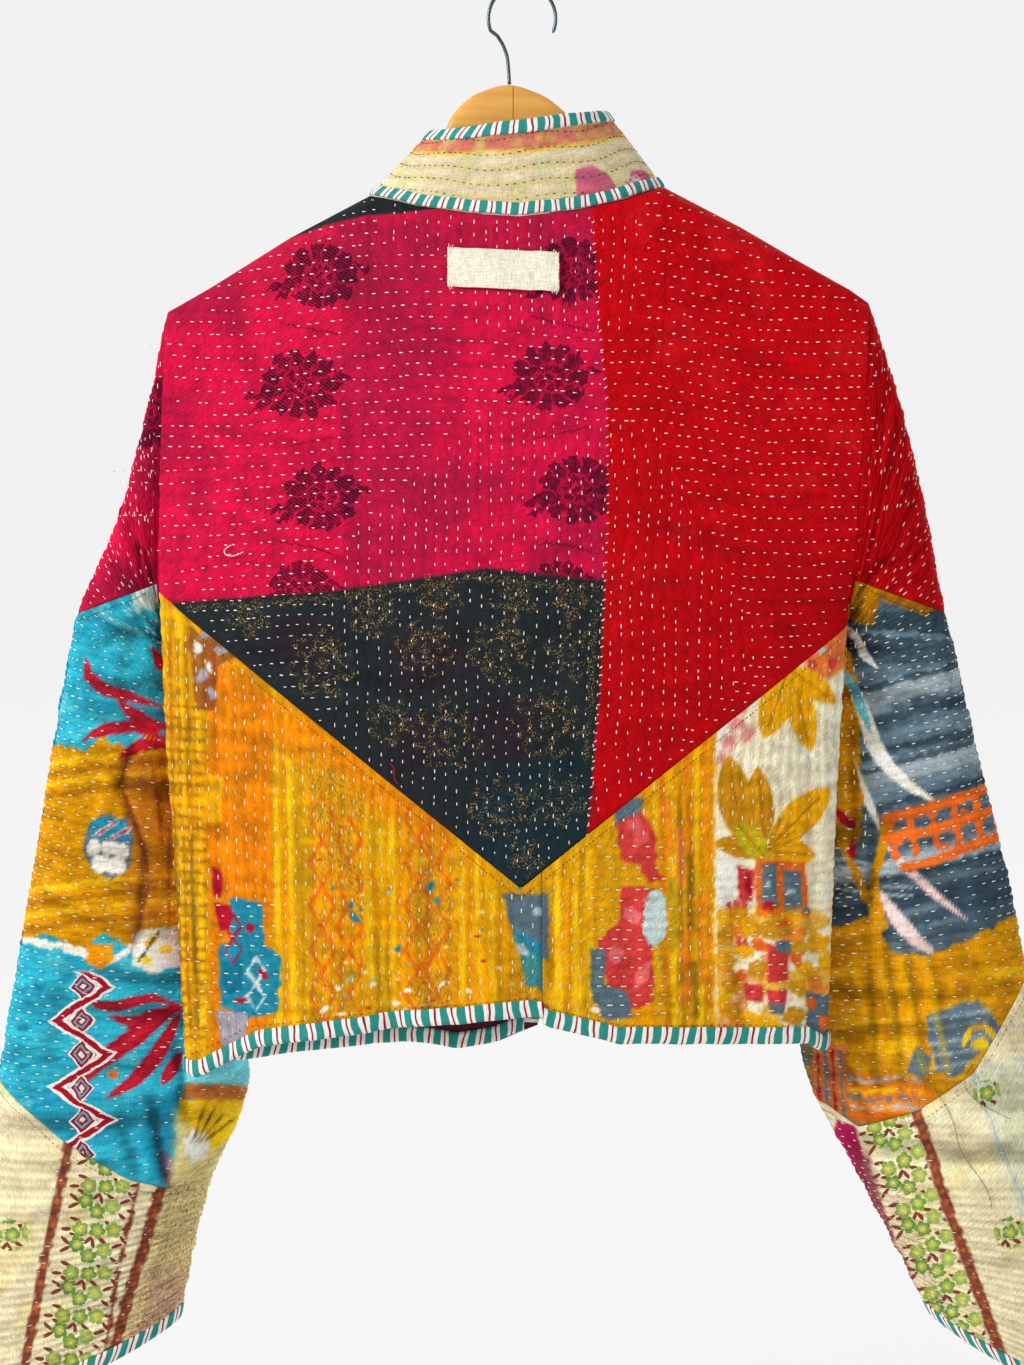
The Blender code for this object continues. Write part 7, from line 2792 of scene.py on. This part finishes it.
def make_sleeve_topstitches(side, name, material):
    """A fine dark line of machine stitches beside each seam of a sleeve."""
    angle = np.linspace(0, 2 * np.pi, 150, endpoint=False)
    for k, seam in enumerate(SLEEVE_SEAMS[side]):
        along = seam_along(side, seam, angle) + 6.5
        slope = (seam_along(side, seam, angle + 0.01) - along + 6.5, 0.01)
        sizes = np.full(len(angle), 2.3), np.full(len(angle), 0.42)
        node = f"sleeve_{name}_topstitches_{k + 1}"
        stitches_on_sleeve(node, side, along, angle, slope, sizes, material)


def make_collar_stitches(material):
    row, column = pairs(np.arange(1, COLLAR_ROWS), np.arange(COLLAR_STITCHES))
    shift = lattice(row, 2 * row, 151) + 0.3 * (lattice(row, column, 152) - 0.5)
    angle = (column + shift) / COLLAR_STITCHES * 2 * np.pi - np.pi
    share = (row - 0.15 * np.sin(angle * 7)) / COLLAR_ROWS
    keep = (abs(angle) < math.radians(174)) & (share > 0.16) & (share < 0.86)
    angle, share = angle[keep], share[keep]

    def place(a, b):
        return collar_point(a, b) + collar_normal(a, b) * collar_relief(a, b)[:, None]

    centre, normals = place(angle, share), collar_normal(angle, share)
    directions = unit(place(angle + 0.005, share) - centre)
    sizes = stitch_sizes(len(angle), 2.0, 0.6, 153)
    stitches("collar_stitches", centre, directions, normals, *sizes, material)


def stitch_line(name, route, relief, gap, size, turn, material):
    """Stitches along a route of x and height on the back, turned from it by some degrees."""
    route = np.array(route, float)
    way = lengths_along(route)
    spots = np.arange(gap / 2, way[-1] - gap / 4, gap)
    number = np.arange(len(spots))
    spots = spots + 0.3 * gap * (lattice(number, number, 160) - 0.5)
    x, height = (np.interp(spots, way, line) for line in route.T)
    dx, dy = (np.interp(spots + 1, way, line) - np.interp(spots, way, line) for line in route.T)
    turned = np.radians(turn + 24 * (lattice(number, 3 * number, 160) - 0.5) * (turn != 0))
    c, s = np.cos(turned), np.sin(turned)
    ahead = np.stack([dx * c - dy * s, dx * s + dy * c], axis=1)
    sizes = stitch_sizes(len(x), *size, 161)
    body_stitches(name, BACK, x, height, ahead, relief, sizes, material)


def body_place(px, py):
    """The x and height of the back that show at places of the photo's frame."""
    px, py = np.array(px, float), np.array(py, float)
    x, height = -0.69 * (px - 508), -0.69 * (py - 90)
    for _ in range(8):
        now_x, now_y = flat_photo_place(x, height)
        x = x + 0.66 * (now_x - px)
        height = height + 0.66 * (now_y - py)
    return x, height


def edge_route(start, stop, drop):
    """A route beside the yoke's seam, so far below it."""
    x = np.linspace(start, stop, 60)
    return np.stack([x, height_at(YOKE_LINE, x) - drop], axis=1)


def make_seam_stitches(white, dark):
    """Whip stitches on the red cloth's edge, and machine ones beside the V seam and the hems."""
    route = np.stack(body_place(*np.array(RED_EDGE[1:], float).T), axis=1)
    stitch_line("red_edge_stitches", route, yoke_relief, 6.4, (2.4, 0.7), 62, white)
    centre = float(x_at(CENTRE_BACK, MIDDLE_HEIGHT))
    for side, ends in ((LEFT, (centre + 2, 226)), (RIGHT, (centre - 2, -226))):
        relief, name = partial(lower_relief, side), dict(SIDES)[side]
        seam = edge_route(*ends, 7.0)
        stitch_line(f"seam_topstitches_{name}", seam, relief, 2.9, (2.2, 0.42), 0, dark)
        hem = HEM_LINE[BACK, side]
        x = np.linspace(hem["x"][0] * 0.99, hem["x"][-1] * 0.99, 60)
        low = np.stack([x, height_at(hem, x) + 12.2], axis=1)
        stitch_line(f"hem_stitches_{name}", low, relief, 4.6, (2.2, 0.45), 0, dark)


def make_label_stitches(material):
    """Small stitches that hold the label's corners."""
    places = []
    for u, v in ((-1, -1), (-1, 1), (1, -1), (1, 1)):
        for slip in (-3.0, 0.0, 3.0):
            x = LABEL["x"] + u * (LABEL["width"] / 2 - 2.5 + 0.4 * slip)
            height = LABEL["height"] + v * (LABEL["tall"] / 2 - 0.6) - 0.3 * slip
            places.append((x, height + u * LABEL["slope"] * 37, 0.25 * u, 1.0))
    x, height, *ahead = np.array(places).T

    def lift(a, b):
        return 3.0 + 0 * a

    sizes = stitch_sizes(len(x), 4.0, 0.6, 170)
    ahead = np.stack(ahead, axis=1)
    body_stitches("label_stitches", BACK, x, height, ahead, lift, sizes, material)


def loose_thread(name, points, thickness, material):
    """A thread end that lies loosely over the cloth."""
    curve = bpy.data.curves.new(name, "CURVE")
    curve.dimensions = "3D"
    curve.bevel_depth = thickness / 2 * MM
    curve.bevel_resolution = 1
    line = curve.splines.new("NURBS")
    line.points.add(len(points) - 1)
    for spot, point in zip(line.points, points):
        spot.co = (*[float(v) * MM for v in point], 1.0)
    line.use_endpoint_u = True
    line.order_u = 3
    line.resolution_u = 4
    curve.materials.append(material)
    made = bpy.data.objects.new(name, curve)
    bpy.context.scene.collection.objects.link(made)
    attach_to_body(made, "root")


# Loose threads on the right sleeve: along it and round it, in millimetres and radians
SLEEVE_THREADS = [
    [(548, 1.15), (560, 1.3), (578, 1.2), (588, 0.95)],
    [(560, 1.55), (585, 1.42), (612, 1.5), (640, 1.35), (652, 1.4)],
]
BACK_THREADS = {
    "red": [(391, 763), (396, 769), (393, 776), (398, 783)],
    "white": [(232, 545), (224, 549), (227, 556), (236, 556), (244, 552)],
}


def make_loose_threads(materials):
    for k, route in enumerate(SLEEVE_THREADS):
        along, angle = np.array(route, float).T
        points = sleeve_surface(RIGHT, along, angle) + sleeve_normal(RIGHT, along, angle) * 2.2
        loose_thread(f"loose_thread_{k + 1}", points, 0.4, materials["olive"])
    for name, route in BACK_THREADS.items():
        x, height = body_place(*np.array(route, float).T)
        across = across_at(x, height)
        points = body_point(BACK, across, height) + body_normal(BACK, across, height) * 2.2
        loose_thread(f"loose_thread_{name}", points, 0.7, materials[name])


THREAD_DYES = {
    "white": (240, 226, 220), "cream": (232, 218, 182), "pale": (232, 228, 216),
    "navy": (52, 56, 78), "dark": (84, 56, 24), "olive": (92, 82, 40), "red": (196, 20, 40),
}


def make_threads():
    threads = {name: thread_material(name + "_thread", dye) for name, dye in THREAD_DYES.items()}
    make_yoke_stitches(threads["white"])
    for side, name in SIDES:
        make_lower_stitches(side, name, threads["cream"])
    make_front_stitches(threads["white"])
    for side, name in SIDES:
        make_sleeve_stitches(side, name, threads["pale"])
        make_sleeve_topstitches(side, name, threads["dark"])
    make_collar_stitches(threads["navy"])
    make_seam_stitches(threads["white"], threads["dark"])
    make_label_stitches(threads["cream"])
    make_loose_threads(threads)


def main():
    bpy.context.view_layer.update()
    lining = lining_material("lining", (88, 26, 44))
    cloths = [cloth_material("quilted_cotton"), lining]
    woven = [cloth_material("figured_cotton", print_on=woven_print), lining]
    zigzags = [cloth_material("zigzag_cotton", print_on=zigzag_print), lining]
    flowers = [cloth_material("flowered_cotton", print_on=flower_print), lining]
    tape = binding_material("striped_tape", 12.5)
    make_camera()
    make_back(woven, cloths)
    make_fronts(woven)
    make_sleeve(LEFT, "left", {"upper": woven, "middle": zigzags, "lower": flowers})
    make_sleeve(RIGHT, "right", {"upper": cloths, "middle": cloths, "lower": flowers})
    make_collar(cloths)
    make_hem_bindings(tape)
    make_front_edge_bindings(tape)
    make_cuff_bindings(tape)
    make_collar_bindings(binding_material("narrow_striped_tape", 10.8))
    make_label(cloths[0])
    make_threads()
    make_hanger(wood_material("varnished_wood"))
    make_hook(steel_material("drawn_steel"))
    make_backdrop()
    make_stage()


main()
